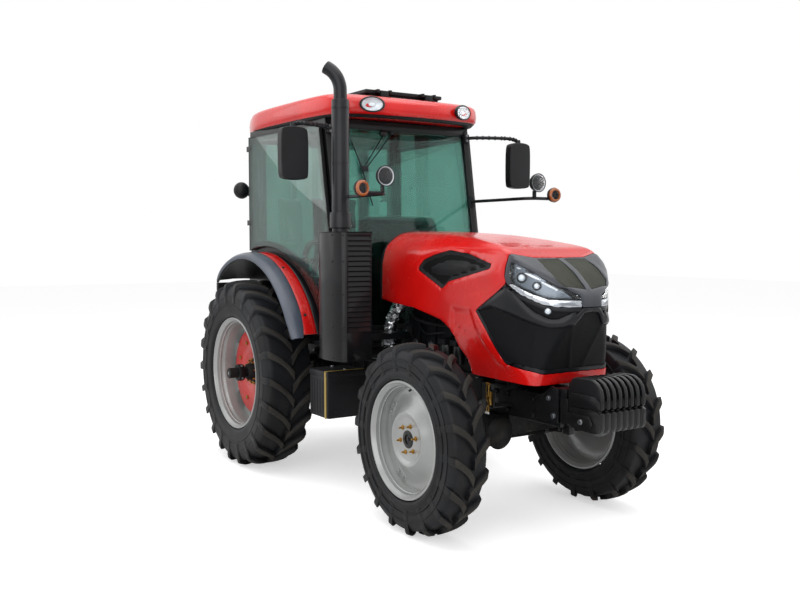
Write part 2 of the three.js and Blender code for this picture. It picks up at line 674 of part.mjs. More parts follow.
function archAngle(x, radius) {
  return THREE.MathUtils.radToDeg(Math.acos(x / radius));
}

// The lower edge along the arch, from a place behind it to the sill or, where that comes first, the pillar.
function archEdge(radius, rear, sill, pillar) {
  const atSill = THREE.MathUtils.radToDeg(Math.asin((sill - REAR_AXLE_Z) / radius));
  const meetsPillar = archAngle(Math.min(pillar, radius), radius);
  const edge = arc(0, REAR_AXLE_Z, radius, archAngle(rear, radius), Math.max(atSill, meetsPillar), 8);
  return meetsPillar > atSill ? edge : [...edge, [pillar, sill]];
}

// Side outline of the door space, grown by a margin. It follows the arch of the rear fender.
function doorOutline(margin, bottom, top) {
  const radius = ARCH_RADIUS + 70 - margin;
  const rear = CAB.hingeX + 36 - margin;
  const front = CAB.pillar - margin;
  return [
    [rear, top + margin], ...archEdge(radius, rear, bottom - margin, pillarX(bottom) - front),
    [pillarX(CAB.pillarKneeZ) - front, CAB.pillarKneeZ], [pillarX(top) - front, top + margin],
  ];
}

function cabSide() {
  const radius = ARCH_RADIUS;
  const outline = [
    [CAB.hingeX - 20, CAB.top], ...archEdge(radius, CAB.hingeX - 20, CAB.sillZ - 20, CAB.pillarFootX),
    [CAB.pillarFootX, CAB.pillarKneeZ], [CAB.pillarTopX, CAB.top],
  ];
  const space = doorOutline(0, DOOR.bottom + 20, DOOR.top - 20);
  let plate = sideways(outline, CAB.hingeHalf - CAB.wall, CAB.hingeHalf, [space]);
  for (const z of DOOR.hinges) {
    const [x, y] = DOOR_PIN;
    plate = plate.add(block([x - 30, x + 10], [CAB.hingeHalf - 20, y + 12], [z - 62, z - 26]));
    plate = plate.add(bar('z', DOOR.pinRadius, z - 30, z + 24, [x, y, 0]));
  }
  return turnedAbout(plate, 'z', -DOOR_SLANT, [CAB.hingeX, CAB.hingeHalf, 0]);
}

// The angled panel between the door post and the rear post, with its window cut.
function cabCorner(asGlass) {
  const dx = CAB.hingeX - CAB.rearX;
  const dy = CAB.hingeHalf - CAB.rearHalf;
  const width = Math.hypot(dx, dy);
  const bearing = THREE.MathUtils.radToDeg(Math.atan2(dy, dx));
  const foot = REAR_AXLE_Z + Math.sqrt(ARCH_RADIUS ** 2 - CAB.hingeX ** 2);
  const rearFoot = REAR_AXLE_Z + Math.sqrt(ARCH_RADIUS ** 2 - CAB.rearX ** 2) + 6;
  const edge = 64;
  const windowOutline = (g) => [
    [edge + g, rearFoot + edge + 20 + g], [width - edge - g, foot + edge + g],
    [width - edge - g, DOOR.top - 20 - g], [edge + g, DOOR.top - 20 - g],
  ];
  const panel = [[0, rearFoot], [width, foot], [width, CAB.top], [0, CAB.top]];
  const plate = asGlass
    ? sideways(windowOutline(GAP), -(CAB.wall + CAB.glass) / 2, -(CAB.wall - CAB.glass) / 2)
    : sideways(panel, -CAB.wall, 0, [windowOutline(0)]);
  return plate.rotate([0, 0, bearing]).translate([CAB.rearX, CAB.rearHalf, 0]);
}

// The rear window's outline, or the glass in it when g is the gap around the glass.
function rearWindowOutline(g) {
  const half = CAB.rearHalf - 60 - g;
  const [low, high] = [CAB.rearSill + g, DOOR.top - 20 - g];
  return [[-half, low], [half, low], [half, high], [-half, high]];
}

function cabFrame() {
  let frame = onSide(cabSide(), 1).add(onSide(cabSide(), -1));
  frame = frame.add(onSide(cabCorner(false), 1)).add(onSide(cabCorner(false), -1));
  const c = CAB;
  const low = c.platformTop - c.floor;
  const wallOutline = [[-c.rearHalf, low], [c.rearHalf, low], [c.rearHalf, c.top], [-c.rearHalf, c.top]];
  frame = frame.add(forward(wallOutline, c.rearX, c.rearX + c.wall, [rearWindowOutline(0)]));
  const headAlong = [c.pillarTopX - c.pillar, c.pillarTopX];
  frame = frame.add(block(headAlong, [-c.frontHalf, c.frontHalf], [DOOR.top - 20, c.top]));
  const sillAlong = [c.pillarFootX - c.pillar, c.pillarFootX];
  frame = frame.add(block(sillAlong, [20 - c.frontHalf, c.frontHalf - 20], [c.sillZ - 20, c.sillZ + 60]));
  frame = frame.subtract(fenderSpace(1)).subtract(fenderSpace(-1));
  return piece('cab_frame', frame, BLACK_PAINT);
}

function cabFloor() {
  const c = CAB;
  const half = FENDER.inner - GAP;
  const rear = c.rearX + c.wall + GAP;
  const front = c.pillarFootX - c.pillar - GAP;
  const riser = c.platformFront + c.floor;
  const outline = [
    [rear, c.platformTop - c.floor], [c.platformFront, c.platformTop - c.floor],
    [c.platformFront, c.floorTop - c.floor], [front, c.floorTop - c.floor], [front, c.floorTop],
    [riser, c.floorTop], [riser, c.platformTop], [rear, c.platformTop],
  ];
  let floor = sideways(outline, -half, half);
  for (const y of [-130, 130]) {
    floor = floor.add(bar('z', 40, DRIVELINE.gearboxTop + GAP, c.floorTop - c.floor + 1, [780, y, 0]));
    floor = floor.add(bar('z', 40, DRIVELINE.liftTop + GAP, c.platformTop - c.floor + 1, [-200, y, 0]));
  }
  return piece('cab_floor', floor, BLACK_PLASTIC);
}

// Front glass between the leaning pillars, with the closed lower front panel under the hood line.
function windscreen() {
  const half = CAB.frontHalf - CAB.wall - GAP - 4;
  const back = CAB.pillar * 0.5;
  const low = CAB.sillZ + 60 + GAP;
  const high = DOOR.top - 20 - GAP;
  const heights = [low, CAB.pillarKneeZ, high];
  const inside = heights.map((z) => [pillarX(z) - back, z]);
  const outside = heights.map((z) => [pillarX(z) - back + CAB.glass, z]);
  return piece('windscreen', sideways([...outside, ...inside.reverse()], -half, half), GLASS);
}

function rearWindow() {
  const x = CAB.rearX + CAB.wall / 2;
  return piece('rear_window', forward(rearWindowOutline(GAP), x - CAB.glass / 2, x + CAB.glass / 2), GLASS);
}

function roofPlan(inset) {
  const r = ROOF;
  const i = inset;
  const half = [
    [r.rear + i, 430 - i], [r.rear + 60 + i, 520 - i], [-250, 640 - i], [-60, r.half - i],
    [500, r.half - 12 - i], [860, 620 - i], [990 - i, 530 - i], [1045 - i, 380 - i], [r.front - i, 150],
  ];
  return [...half.map(([x, y]) => [x, -y]), ...half.slice().reverse()];
}

function roof() {
  const low = CAB.top + GAP;
  const top = low + ROOF.thick;
  let shell = upward(roofPlan(0), low, top);
  shell = shell.add(upward(roofPlan(70), top - 1, top + ROOF.crown));
  const along = [HATCH.rear + HATCH.lip, HATCH.front - HATCH.lip];
  const across = [HATCH.lip - HATCH.half, HATCH.half - HATCH.lip];
  shell = shell.subtract(block(along, across, [low - 1, top + ROOF.crown + 1]));
  const z = top + ROOF.crown + CLEAR + HATCH.thick / 2;
  const pinX = HATCH.front + HATCH.pinOut;
  const standHigh = [top + ROOF.crown - 1, z + 10];
  for (const y of HATCH.hinges) {
    shell = shell.add(block([pinX - 10, pinX + 10], [y - 30, y + 30], standHigh));
    shell = shell.add(bar('y', HATCH.pinRadius, y - 60, y + 60, [pinX, 0, z], 12));
  }
  return piece('roof', shell, RED);
}

function roofHatch() {
  const h = HATCH;
  const low = CAB.top + GAP + ROOF.thick + ROOF.crown + CLEAR;
  let lid = block([h.rear, h.front], [-h.half, h.half], [low, low + h.thick]);
  const pin = [h.front + h.pinOut, 0, low + h.thick / 2];
  for (const y of h.hinges) {
    for (const eyeAt of [y - 48, y + 48]) {
      const eye = block([h.front - 5, pin[0] + 10], [eyeAt - 10, eyeAt + 10], [low, low + h.thick]);
      lid = lid.add(eye);
    }
    lid = lid.subtract(bar('y', h.pinRadius + RUNNING, y - 62, y + 62, pin));
  }
  return piece('roof_hatch', lid, BLACK_PLASTIC);
}

function door(side) {
  const name = side > 0 ? 'left' : 'right';
  const y0 = CAB.hingeHalf + CLEAR;
  const outer = doorOutline(20, DOOR.bottom + 20, DOOR.top - 20);
  const pane = doorOutline(20 - DOOR.border, DOOR.bottom + 20, DOOR.top - 20);
  const inset = doorOutline(20 - DOOR.border - GAP, DOOR.bottom + 20, DOOR.top - 20);
  let frame = sideways(outer, y0, y0 + DOOR.thick, [pane]);
  const [pinX, pinY] = DOOR_PIN;
  for (const z of DOOR.hinges) {
    const [low, high] = [z - 26 + CLEAR, z + 20];
    frame = frame.add(block([pinX, pinX + 60], [y0, y0 + DOOR.thick], [low, high]));
    frame = frame.add(bar('z', DOOR.thick / 2, low, high, DOOR_PIN, 24));
    frame = frame.subtract(bar('z', DOOR.pinRadius + RUNNING, z - 40, z + 30, [pinX, pinY, 0], 24));
  }
  const glass = sideways(inset, y0 + DOOR.thick / 2 - CAB.glass / 2, y0 + DOOR.thick / 2 + CAB.glass / 2);
  const place = (solid) => onSide(turnedAbout(solid, 'z', -DOOR_SLANT, [CAB.hingeX, CAB.hingeHalf, 0]), side);
  const group = new THREE.Group();
  group.add(piece(`door_frame_${name}`, place(frame), BLACK_PAINT));
  group.add(piece(`door_glass_${name}`, place(glass), GLASS));
  return group;
}

function fender(side) {
  const f = FENDER;
  const outer = arc(0, REAR_AXLE_Z, f.radius, f.from, f.to, ARC_STEPS);
  const inner = arc(0, REAR_AXLE_Z, f.radius - f.thick, f.to, f.from, ARC_STEPS);
  const sheet = sideways([...outer, ...inner], f.inner, f.outer);
  const wallArc = arc(0, REAR_AXLE_Z, f.radius - 2, f.from, f.to, ARC_STEPS);
  const foot = wallArc[0][1] - f.skirt;
  const wallOutline = [...wallArc, [wallArc[ARC_STEPS][0], foot], [wallArc[0][0], foot]];
  const wall = sideways(wallOutline, f.inner, f.inner + f.wall);
  return piece(`fender_${side > 0 ? 'left' : 'right'}`, onSide(sheet.add(wall), side), RED);
}

// ---------------------------------------------------------------- inside the cab

function dashboard() {
  const c = COLUMN;
  const floor = CAB.floorTop + GAP;
  const outline = [
    [690, floor], [905, floor], [905, 1600], [880, 1740], [800, 1780], [720, 1740], [690, 1560], [700, 1300],
  ];
  const console = sideways(outline, -270, 270);
  const column = bar('z', 34, -330, -30, [0, 0, 0]);
  const shaft = bar('z', c.shaftRadius, -60, 14, [0, 0, 0]);
  const leaning = column.add(shaft).rotate([0, -c.lean, 0]).translate([c.wheelX, 0, c.wheelZ]);
  return piece('dashboard', console.add(leaning), BLACK_PLASTIC);
}

function steeringWheel() {
  const c = COLUMN;
  const ring = new THREE.TorusGeometry(c.wheelRadius, c.rimRadius, 8, 24);
  let wheelSolid = solidOf(ring);
  wheelSolid = wheelSolid.add(bar('z', 42, -20, 26, [0, 0, 0], 20));
  for (let i = 0; i < 3; i += 1) {
    const spoke = block([20, c.wheelRadius - 2], [-14, 14], [-7, 7]).rotate([0, 0, 90 + 120 * i]);
    wheelSolid = wheelSolid.add(spoke);
  }
  wheelSolid = wheelSolid.subtract(bar('z', c.shaftRadius + RUNNING, -21, 16, [0, 0, 0], 24));
  const mesh = piece('steering_wheel', wheelSolid, BLACK_PLASTIC);
  mesh.position.set(c.wheelX, 0, c.wheelZ);
  mesh.rotation.y = -THREE.MathUtils.degToRad(c.lean);
  return mesh;
}

function seat() {
  const s = SEAT;
  const floor = CAB.platformTop + GAP;
  const under = s.top - s.cushion;
  const baseTop = under - GAP;
  const baseOutline = [[s.x - 170, floor], [s.x + 150, floor], [s.x + 190, baseTop], [s.x - 210, baseTop]];
  const group = new THREE.Group();
  group.add(piece('seat_base', sideways(baseOutline, -160, 160), BLACK_PLASTIC));
  const rear = s.x - s.depth / 2;
  const front = rear + s.depth;
  const cushionOutline = [
    [rear + 60, under], [front, under], [front, s.top - 20], [front - 40, s.top], [rear + 60, s.top - 15],
  ];
  group.add(piece('seat_cushion', sideways(cushionOutline, -s.half, s.half), FABRIC));
  const touch = rear + 60 - GAP;
  const backOutline = [
    [touch, under], [touch, s.top - 15], [rear + 20, s.top + s.back],
    [rear - s.backThick + 40, s.top + s.back], [rear - s.backThick + 60, under],
  ];
  group.add(piece('seat_back', sideways(backOutline, 10 - s.half, s.half - 10), FABRIC));
  return group;
}

// ---------------------------------------------------------------- mirrors and lamps

// A plate that lies on the leaning front face of a door pillar.
function pillarFoot(z, half) {
  const [low, high] = [z - half, z + half];
  const outline = [
    [pillarX(low) + GAP, low], [pillarX(low) + 18, low], [pillarX(high) + 18, high],
    [pillarX(high) + GAP, high],
  ];
  const plate = sideways(outline, CAB.hingeHalf - 44, CAB.hingeHalf - 4);
  return turnedAbout(plate, 'z', -DOOR_SLANT, [CAB.hingeX, CAB.hingeHalf, 0]);
}

function mirror(side) {
  const m = MIRROR;
  const top = m.bottom + m.height;
  const across = [m.y - m.width / 2, m.y + m.width / 2];
  const head = block([m.x - m.depth / 2, m.x + m.depth / 2], across, [m.bottom, top]);
  const foot = pillarFoot(m.armZ, 30);
  const x = pillarX(m.armZ);
  const way = [
    [x + 12, CAB.frontHalf - 24, m.armZ], [x + 70, CAB.frontHalf + 40, m.armZ + 4], [m.x, m.y - 40, m.armZ],
    [m.x, m.y, top - 20],
  ];
  const arm = tube(way, m.tube, 8, 12);
  return piece(`mirror_${side > 0 ? 'left' : 'right'}`, onSide(join(head, foot, arm), side), BLACK_PLASTIC);
}

function lampArm(side) {
  const l = LAMPS;
  const x = pillarX(l.armZ);
  const y = CAB.frontHalf - 24;
  const foot = pillarFoot(l.armZ, 40);
  const way = [
    [x + 12, y, l.armZ], [x + 300, y, l.armZ], [l.reach - 40, y, l.armZ], [l.reach, y + 40, l.armZ],
    [l.reach + 10, l.outer - 60, l.armZ], [l.reach + 10, l.outer - 20, l.armZ],
  ];
  const arm = tube(way, l.tube, 8, 14);
  const bowl = bar('x', l.bowlRadius, l.reach - 10, l.reach + 50, [0, l.bowlAt, l.bowlZ], 20);
  const stem = block([l.reach, l.reach + 20], [l.bowlAt - 12, l.bowlAt + 12], [l.armZ, l.bowlZ - 40]);
  const blinkerHigh = [l.armZ - 25, l.armZ + 55];
  const blinker = block([l.reach - 15, l.reach + 55], [l.outer - 70, l.outer + 60], blinkerHigh);
  const whole = onSide(join(foot, arm, bowl, stem, blinker), side);
  return piece(`lamp_arm_${side > 0 ? 'left' : 'right'}`, whole, BLACK_PLASTIC);
}

// ---------------------------------------------------------------- rear hitch

function liftArms() {
  const h = HITCH;
  const centre = [h.shaftX, 0, h.shaftZ];
  let arms = bar('y', h.shaftRadius, -h.armPlane - 15, h.armPlane + 15, centre, 24);
  const drop = THREE.MathUtils.degToRad(h.armDrop);
  const endX = h.shaftX - h.armLength * Math.cos(drop);
  const endZ = h.shaftZ - h.armLength * Math.sin(drop);
  const outline = [
    [h.shaftX + 52, h.shaftZ + 10], [h.shaftX + 20, h.shaftZ + 52], [h.shaftX - 30, h.shaftZ + 46],
    [endX, endZ + 30], [endX - 30, endZ], [endX, endZ - 30], [h.shaftX - 20, h.shaftZ - 50],
    [h.shaftX + 40, h.shaftZ - 34],
  ];
  for (const side of [-1, 1]) {
    const plate = sideways(outline, h.armPlane - h.armThick / 2, h.armPlane + h.armThick / 2);
    const pin = bar('y', h.pinRadius, h.armPlane, h.rodPlane + 14, [endX, 0, endZ], 16);
    arms = arms.add(onSide(plate.add(pin), side));
  }
  return piece('lift_arms', arms, BLACK_PAINT);
}

function liftRod(side) {
  const h = HITCH;
  const drop = THREE.MathUtils.degToRad(h.armDrop);
  const top = [h.shaftX - h.armLength * Math.cos(drop), h.shaftZ - h.armLength * Math.sin(drop)];
  const foot = [h.rodAt, h.linkZ];
  const length = Math.hypot(top[0] - foot[0], top[1] - foot[1]);
  const lean = THREE.MathUtils.radToDeg(Math.atan2(top[0] - foot[0], top[1] - foot[1]));
  let rod = bar('z', h.rodRadius, 20, length - 20, [0, h.rodPlane, 0], 14);
  for (const z of [0, length]) {
    rod = rod.add(bar('y', h.eyeRadius, h.rodPlane - 12, h.rodPlane + 12, [0, 0, z], 20));
    rod = rod.subtract(bar('y', h.pinRadius + RUNNING, h.rodPlane - 20, h.rodPlane + 20, [0, 0, z]));
  }
  rod = rod.rotate([0, lean, 0]).translate([foot[0], 0, foot[1]]);
  return piece(`lift_rod_${side > 0 ? 'left' : 'right'}`, onSide(rod, side), STEEL);
}

function lowerLink(side) {
  const h = HITCH;
  const run = h.linkX - h.linkEnd;
  const splay = THREE.MathUtils.radToDeg(Math.atan2(h.linkOuter - h.linkInner, run));
  const half = h.linkThick / 2;
  const eyeAt = h.linkOuter - h.linkInner;
  const high = h.linkHeight / 2;
  let link = block([-run, 0], [-half, half], [-high, high]).rotate([0, 0, -splay]);
  link = link.add(bar('y', h.eyeRadius + 8, -half, half, [0, 0, 0], 20));
  link = link.add(bar('y', h.eyeRadius, eyeAt - h.eyeThick / 2, eyeAt + h.eyeThick / 2, [-run, 0, 0], 20));
  link = link.subtract(bar('y', h.pinRadius + RUNNING, -half - 10, half + 10, [0, 0, 0]));
  link = link.subtract(bar('y', h.eyeBore, 0, h.linkOuter, [-run, 0, 0]));
  link = link.translate([h.linkX, h.linkInner, h.linkZ]);
  return piece(`lower_link_${side > 0 ? 'left' : 'right'}`, onSide(link, side), BLACK_PAINT);
}

// The top link, folded up and held against the rear of the lift housing, with its bracket.
function topLink() {
  const { back, low, length, radius, ear, earHalf } = TOP_LINK;
  const wall = DRIVELINE.liftRear;
  const out = wall - back;
  const high = [low - 50, low + 50];
  const bracket = block([out - ear, wall - GAP], [-earHalf, earHalf], high);
  const slot = block([out - ear - 1, wall - 12], [-20, 20], [high[0] - 1, high[1] + 1]);
  let link = bar('z', radius, low - 10, low + length - 10, [out, 0, 0], 12);
  link = link.add(bar('y', radius + 10, -19, 19, [out, 0, low], 12));
  link = link.add(bar('y', radius + 10, -ear, ear, [out, 0, low + length], 12));
  link = link.add(bar('y', 10, -earHalf - 1, earHalf + 1, [out, 0, low], 8));
  return piece('top_link', link.add(bracket.subtract(slot)), BLACK_PAINT);
}

// ---------------------------------------------------------------- assembly

const group = new THREE.Group();
const tractor = new THREE.Group();
tractor.position.x = -OVERALL_MIDDLE;
group.add(tractor);

tractor.add(transmission(), drawbar(), engine(), radiator(), frontFrame(), frontAxleBeam(), frontWeights());
tractor.add(batteryBox(), fuelTankAndSteps(), mufflerGuard(), exhaustStack());
tractor.add(hoodHinge(), hoodGroup());
tractor.add(cabFrame(), cabFloor(), windscreen(), rearWindow(), roof(), roofHatch());
tractor.add(dashboard(), steeringWheel(), seat(), tieRod(), liftArms(), topLink());
for (const [name, side] of SIDES) {
  tractor.add(wheel(`rear_${name}`, REAR, side, true));
  tractor.add(wheel(`front_${name}`, FRONT, side, false));
  tractor.add(knuckle(side), door(side), fender(side), mirror(side), lampArm(side));
  tractor.add(liftRod(side), lowerLink(side));
  tractor.add(piece(`quarter_window_${name}`, onSide(cabCorner(true), side), GLASS));
}

export default group;
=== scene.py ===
"""Looks of a cab tractor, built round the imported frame.

Lengths are metres. Pieces are laid out from the rear axle, with x forward, y to the driver's left and z up
from the ground, and `Build.stand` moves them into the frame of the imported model.
"""
import json
import logging
import math
from dataclasses import dataclass, field
from enum import Enum
from typing import Callable, Iterable, Optional, Sequence

import bmesh
import bpy
import numpy as np
from mathutils import Matrix, Vector

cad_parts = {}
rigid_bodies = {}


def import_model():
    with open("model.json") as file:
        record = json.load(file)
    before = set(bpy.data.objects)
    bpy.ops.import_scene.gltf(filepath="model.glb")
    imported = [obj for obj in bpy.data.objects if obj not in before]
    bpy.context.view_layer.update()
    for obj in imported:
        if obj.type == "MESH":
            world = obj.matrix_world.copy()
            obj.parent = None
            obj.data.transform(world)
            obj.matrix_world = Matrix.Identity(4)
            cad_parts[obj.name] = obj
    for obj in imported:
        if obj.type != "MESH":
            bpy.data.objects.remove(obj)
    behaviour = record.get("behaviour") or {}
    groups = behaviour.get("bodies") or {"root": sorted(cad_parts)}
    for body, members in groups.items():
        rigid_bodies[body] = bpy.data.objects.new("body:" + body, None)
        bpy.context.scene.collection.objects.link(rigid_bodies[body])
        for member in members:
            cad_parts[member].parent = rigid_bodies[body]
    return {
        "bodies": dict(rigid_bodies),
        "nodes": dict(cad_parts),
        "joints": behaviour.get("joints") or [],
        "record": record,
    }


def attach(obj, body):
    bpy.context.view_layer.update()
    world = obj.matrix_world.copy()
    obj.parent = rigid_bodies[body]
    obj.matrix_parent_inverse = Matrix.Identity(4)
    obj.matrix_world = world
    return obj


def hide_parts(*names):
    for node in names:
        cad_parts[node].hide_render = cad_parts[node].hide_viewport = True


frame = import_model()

log = logging.getLogger("tractor")

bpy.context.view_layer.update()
REAR_AXLE = Vector((-0.945, 0.0, 0.0))
REAR_RISE, FRONT_RISE, WHEELBASE = 0.6695, 0.531, 2.02
SIDES = (("left", 1.0), ("right", -1.0))

Point = Sequence[float]
Outline = Sequence[tuple[float, float]]


# ---------------------------------------------------------------- materials

def linear(code: str, alpha: float = 1.0) -> tuple[float, float, float, float]:
    """Turns a six-figure hexadecimal colour into linear light.

    Args:
        code: The colour as red, green and blue, such as "c81418".
        alpha: The fourth value.

    Returns:
        The colour as four linear numbers.
    """
    parts = [int(code[i:i + 2], 16) / 255 for i in (0, 2, 4)]
    red, green, blue = [p / 12.92 if p <= 0.04045 else ((p + 0.055) / 1.055) ** 2.4 for p in parts]
    return red, green, blue, alpha


class Nodes:
    """A node tree with short calls to add and join its nodes."""

    def __init__(self, tree: bpy.types.NodeTree) -> None:
        """Takes the tree to fill."""
        self.tree = tree

    def add(self, kind: str, inputs: Optional[dict] = None, **settings: object) -> bpy.types.Node:
        """Adds one node.

        Args:
            kind: The node's type without "ShaderNode".
            inputs: Values or sockets for its inputs, by name or number.
            **settings: Other properties of the node.

        Returns:
            The new node.
        """
        node = self.tree.nodes.new(kind if kind.startswith("NodeGroup") else "ShaderNode" + kind)
        for key, value in settings.items():
            setattr(node, key, value)
        for key, value in (inputs or {}).items():
            if isinstance(value, bpy.types.NodeSocket):
                self.tree.links.new(value, node.inputs[key])
            else:
                node.inputs[key].default_value = value
        return node

    def maths(self, operation: str, a: object, b: object = 0.0) -> bpy.types.NodeSocket:
        """Adds a Math node on two values and returns its output."""
        return self.add("Math", {0: a, 1: b}, operation=operation).outputs[0]

    def mix(self, share: object, a: object, b: object) -> bpy.types.NodeSocket:
        """Mixes two colours by a share and returns the result."""
        node = self.add("Mix", data_type="RGBA")
        for socket, value in zip((node.inputs[0], node.inputs[6], node.inputs[7]), (share, a, b)):
            if isinstance(value, bpy.types.NodeSocket):
                self.tree.links.new(value, socket)
            else:
                socket.default_value = value
        return node.outputs[2]

    def spread(self, value: object, low: float, high: float, to_low: float, to_high: float) -> bpy.types.NodeSocket:
        """Carries a value from one range to another, held at the ends."""
        inputs = {0: value, 1: low, 2: high, 3: to_low, 4: to_high}
        return self.add("MapRange", inputs).outputs[0]


def effect(name: str, inputs: Iterable[tuple[str, float]], outputs: Iterable[tuple[str, str]],
           fill: Callable[[Nodes, bpy.types.Node, bpy.types.Node], None]) -> bpy.types.ShaderNodeTree:
    """Makes a shader node group once.

    Args:
        name: The group's name.
        inputs: Its number inputs with their starting values.
        outputs: Its outputs, each with a socket type.
        fill: Called with the nodes, the group input and the group output.

    Returns:
        The node group.
    """
    tree = bpy.data.node_groups.new(name, "ShaderNodeTree")
    for label, value in inputs:
        socket = tree.interface.new_socket(label, in_out="INPUT", socket_type="NodeSocketFloat")
        socket.default_value = value
    for label, kind in outputs:
        tree.interface.new_socket(label, in_out="OUTPUT", socket_type=kind)
    nodes = Nodes(tree)
    fill(nodes, nodes.add("NodeGroupInput"), nodes.add("NodeGroupOutput"))
    return tree


class Effects:
    """The shared effects: cloudy variation, fine grain, road dust, woven cloth and wire mesh."""

    def __init__(self) -> None:
        """Builds every group."""
        number, colour = "NodeSocketFloat", "NodeSocketColor"
        self.cloud = effect("cloudy_variation", [("Scale", 6.0), ("Detail", 4.0)], [("Mask", number)], self._cloud)
        self.grain = effect("moulded_grain", [("Scale", 600.0), ("Height", 0.3)], [("Height", number)], self._grain)
        self.dust = effect("road_dust", [("Top", 0.6), ("Amount", 0.3)], [("Mask", number)], self._dust)
        self.weave = effect("woven_cloth", [("Threads", 500.0)], [("Height", number), ("Mask", number)], self._weave)
        self.mesh = effect("wire_mesh", [("Pitch", 0.012)], [("Height", number), ("Mask", number)], self._mesh)
        self.cast = effect("cast_skin", [("Scale", 90.0)], [("Height", number)], self._cast)
        self.tint = effect("paint_tint", [("Scale", 3.0)], [("Mask", number), ("Tone", colour)], self._tint)

    def _place(self, nodes: Nodes) -> bpy.types.NodeSocket:
        """Returns the place on the object as it stands at rest."""
        return nodes.add("TexCoord").outputs["Object"]

    def _cloud(self, nodes: Nodes, given: bpy.types.Node, out: bpy.types.Node) -> None:
        """Fills the cloudy variation."""
        noise = nodes.add("TexNoise", {"Vector": self._place(nodes), "Scale": given.outputs[0],
                                       "Detail": given.outputs[1], "Roughness": 0.6})
        nodes.tree.links.new(nodes.spread(noise.outputs[0], 0.3, 0.7, 0.0, 1.0), out.inputs[0])

    def _grain(self, nodes: Nodes, given: bpy.types.Node, out: bpy.types.Node) -> None:
        """Fills the fine moulded grain."""
        cells = nodes.add("TexVoronoi", {"Vector": self._place(nodes), "Scale": given.outputs[0]})
        nodes.tree.links.new(nodes.maths("MULTIPLY", cells.outputs[0], given.outputs[1]), out.inputs[0])

    def _dust(self, nodes: Nodes, given: bpy.types.Node, out: bpy.types.Node) -> None:
        """Fills the dust, which thins out towards the height given as Top."""
        place = self._place(nodes)
        height = nodes.add("SeparateXYZ", {0: place}).outputs[2]
        low = nodes.maths("SUBTRACT", 1.0, nodes.maths("DIVIDE", height, given.outputs[0]))
        noise = nodes.add("TexNoise", {"Vector": place, "Scale": 9.0, "Detail": 6.0, "Roughness": 0.7})
        patch = nodes.spread(noise.outputs[0], 0.35, 0.75, 0.0, 1.0)
        held = nodes.add("Clamp", {0: nodes.maths("MULTIPLY", low, patch)}).outputs[0]
        nodes.tree.links.new(nodes.maths("MULTIPLY", held, given.outputs[1]), out.inputs[0])

    def _weave(self, nodes: Nodes, given: bpy.types.Node, out: bpy.types.Node) -> None:
        """Fills the weave from two crossed sets of threads."""
        parts = nodes.add("SeparateXYZ", {0: self._place(nodes)})
        along = nodes.maths("SINE", nodes.maths("MULTIPLY", parts.outputs[1], given.outputs[0]))
        depth = nodes.maths("ADD", parts.outputs[0], parts.outputs[2])
        across = nodes.maths("SINE", nodes.maths("MULTIPLY", depth, given.outputs[0]))
        product = nodes.maths("MULTIPLY", along, across)
        nodes.tree.links.new(product, out.inputs[0])
        nodes.tree.links.new(nodes.spread(product, -0.4, 0.6, 0.0, 1.0), out.inputs[1])

    def _mesh(self, nodes: Nodes, given: bpy.types.Node, out: bpy.types.Node) -> None:
        """Fills the mesh: slanting wires that cross at the pitch given, and a mask of the holes between them, which
        the finish paints near-black as painted shade.
        """
        parts = nodes.add("SeparateXYZ", {0: self._place(nodes)})
        run = nodes.maths("DIVIDE", 2 * math.pi, given.outputs[0])
        side = nodes.maths("ADD", parts.outputs[0], nodes.maths("ABSOLUTE", parts.outputs[1]))
        waves = []
        for slant in (1.0, -1.0):
            line = nodes.maths("ADD", side, nodes.maths("MULTIPLY", parts.outputs[2], slant))
            waves.append(nodes.maths("ABSOLUTE", nodes.maths("SINE", nodes.maths("MULTIPLY", line, run))))
        hole = nodes.maths("MULTIPLY", waves[0], waves[1])
        nodes.tree.links.new(nodes.maths("SUBTRACT", 1.0, hole), out.inputs[0])
        nodes.tree.links.new(nodes.spread(hole, 0.2, 0.5, 0.0, 1.0), out.inputs[1])

    def _cast(self, nodes: Nodes, given: bpy.types.Node, out: bpy.types.Node) -> None:
        """Fills the uneven skin of a casting."""
        noise = nodes.add("TexNoise", {"Vector": self._place(nodes), "Scale": given.outputs[0], "Detail": 5.0})
        nodes.tree.links.new(noise.outputs[0], out.inputs[0])

    def _tint(self, nodes: Nodes, given: bpy.types.Node, out: bpy.types.Node) -> None:
        """Fills the slow change of tone of a painted or moulded surface."""
        noise = nodes.add("TexNoise", {"Vector": self._place(nodes), "Scale": given.outputs[0], "Detail": 2.0})
        nodes.tree.links.new(nodes.spread(noise.outputs[0], 0.35, 0.65, 0.0, 1.0), out.inputs[0])
        nodes.tree.links.new(noise.outputs["Color"], out.inputs[1])


class Relief(Enum):
    """What gives a finish its small relief."""

    NONE = "none"
    GRAIN = "grain"
    CAST = "cast"
    WEAVE = "weave"
    MESH = "mesh"


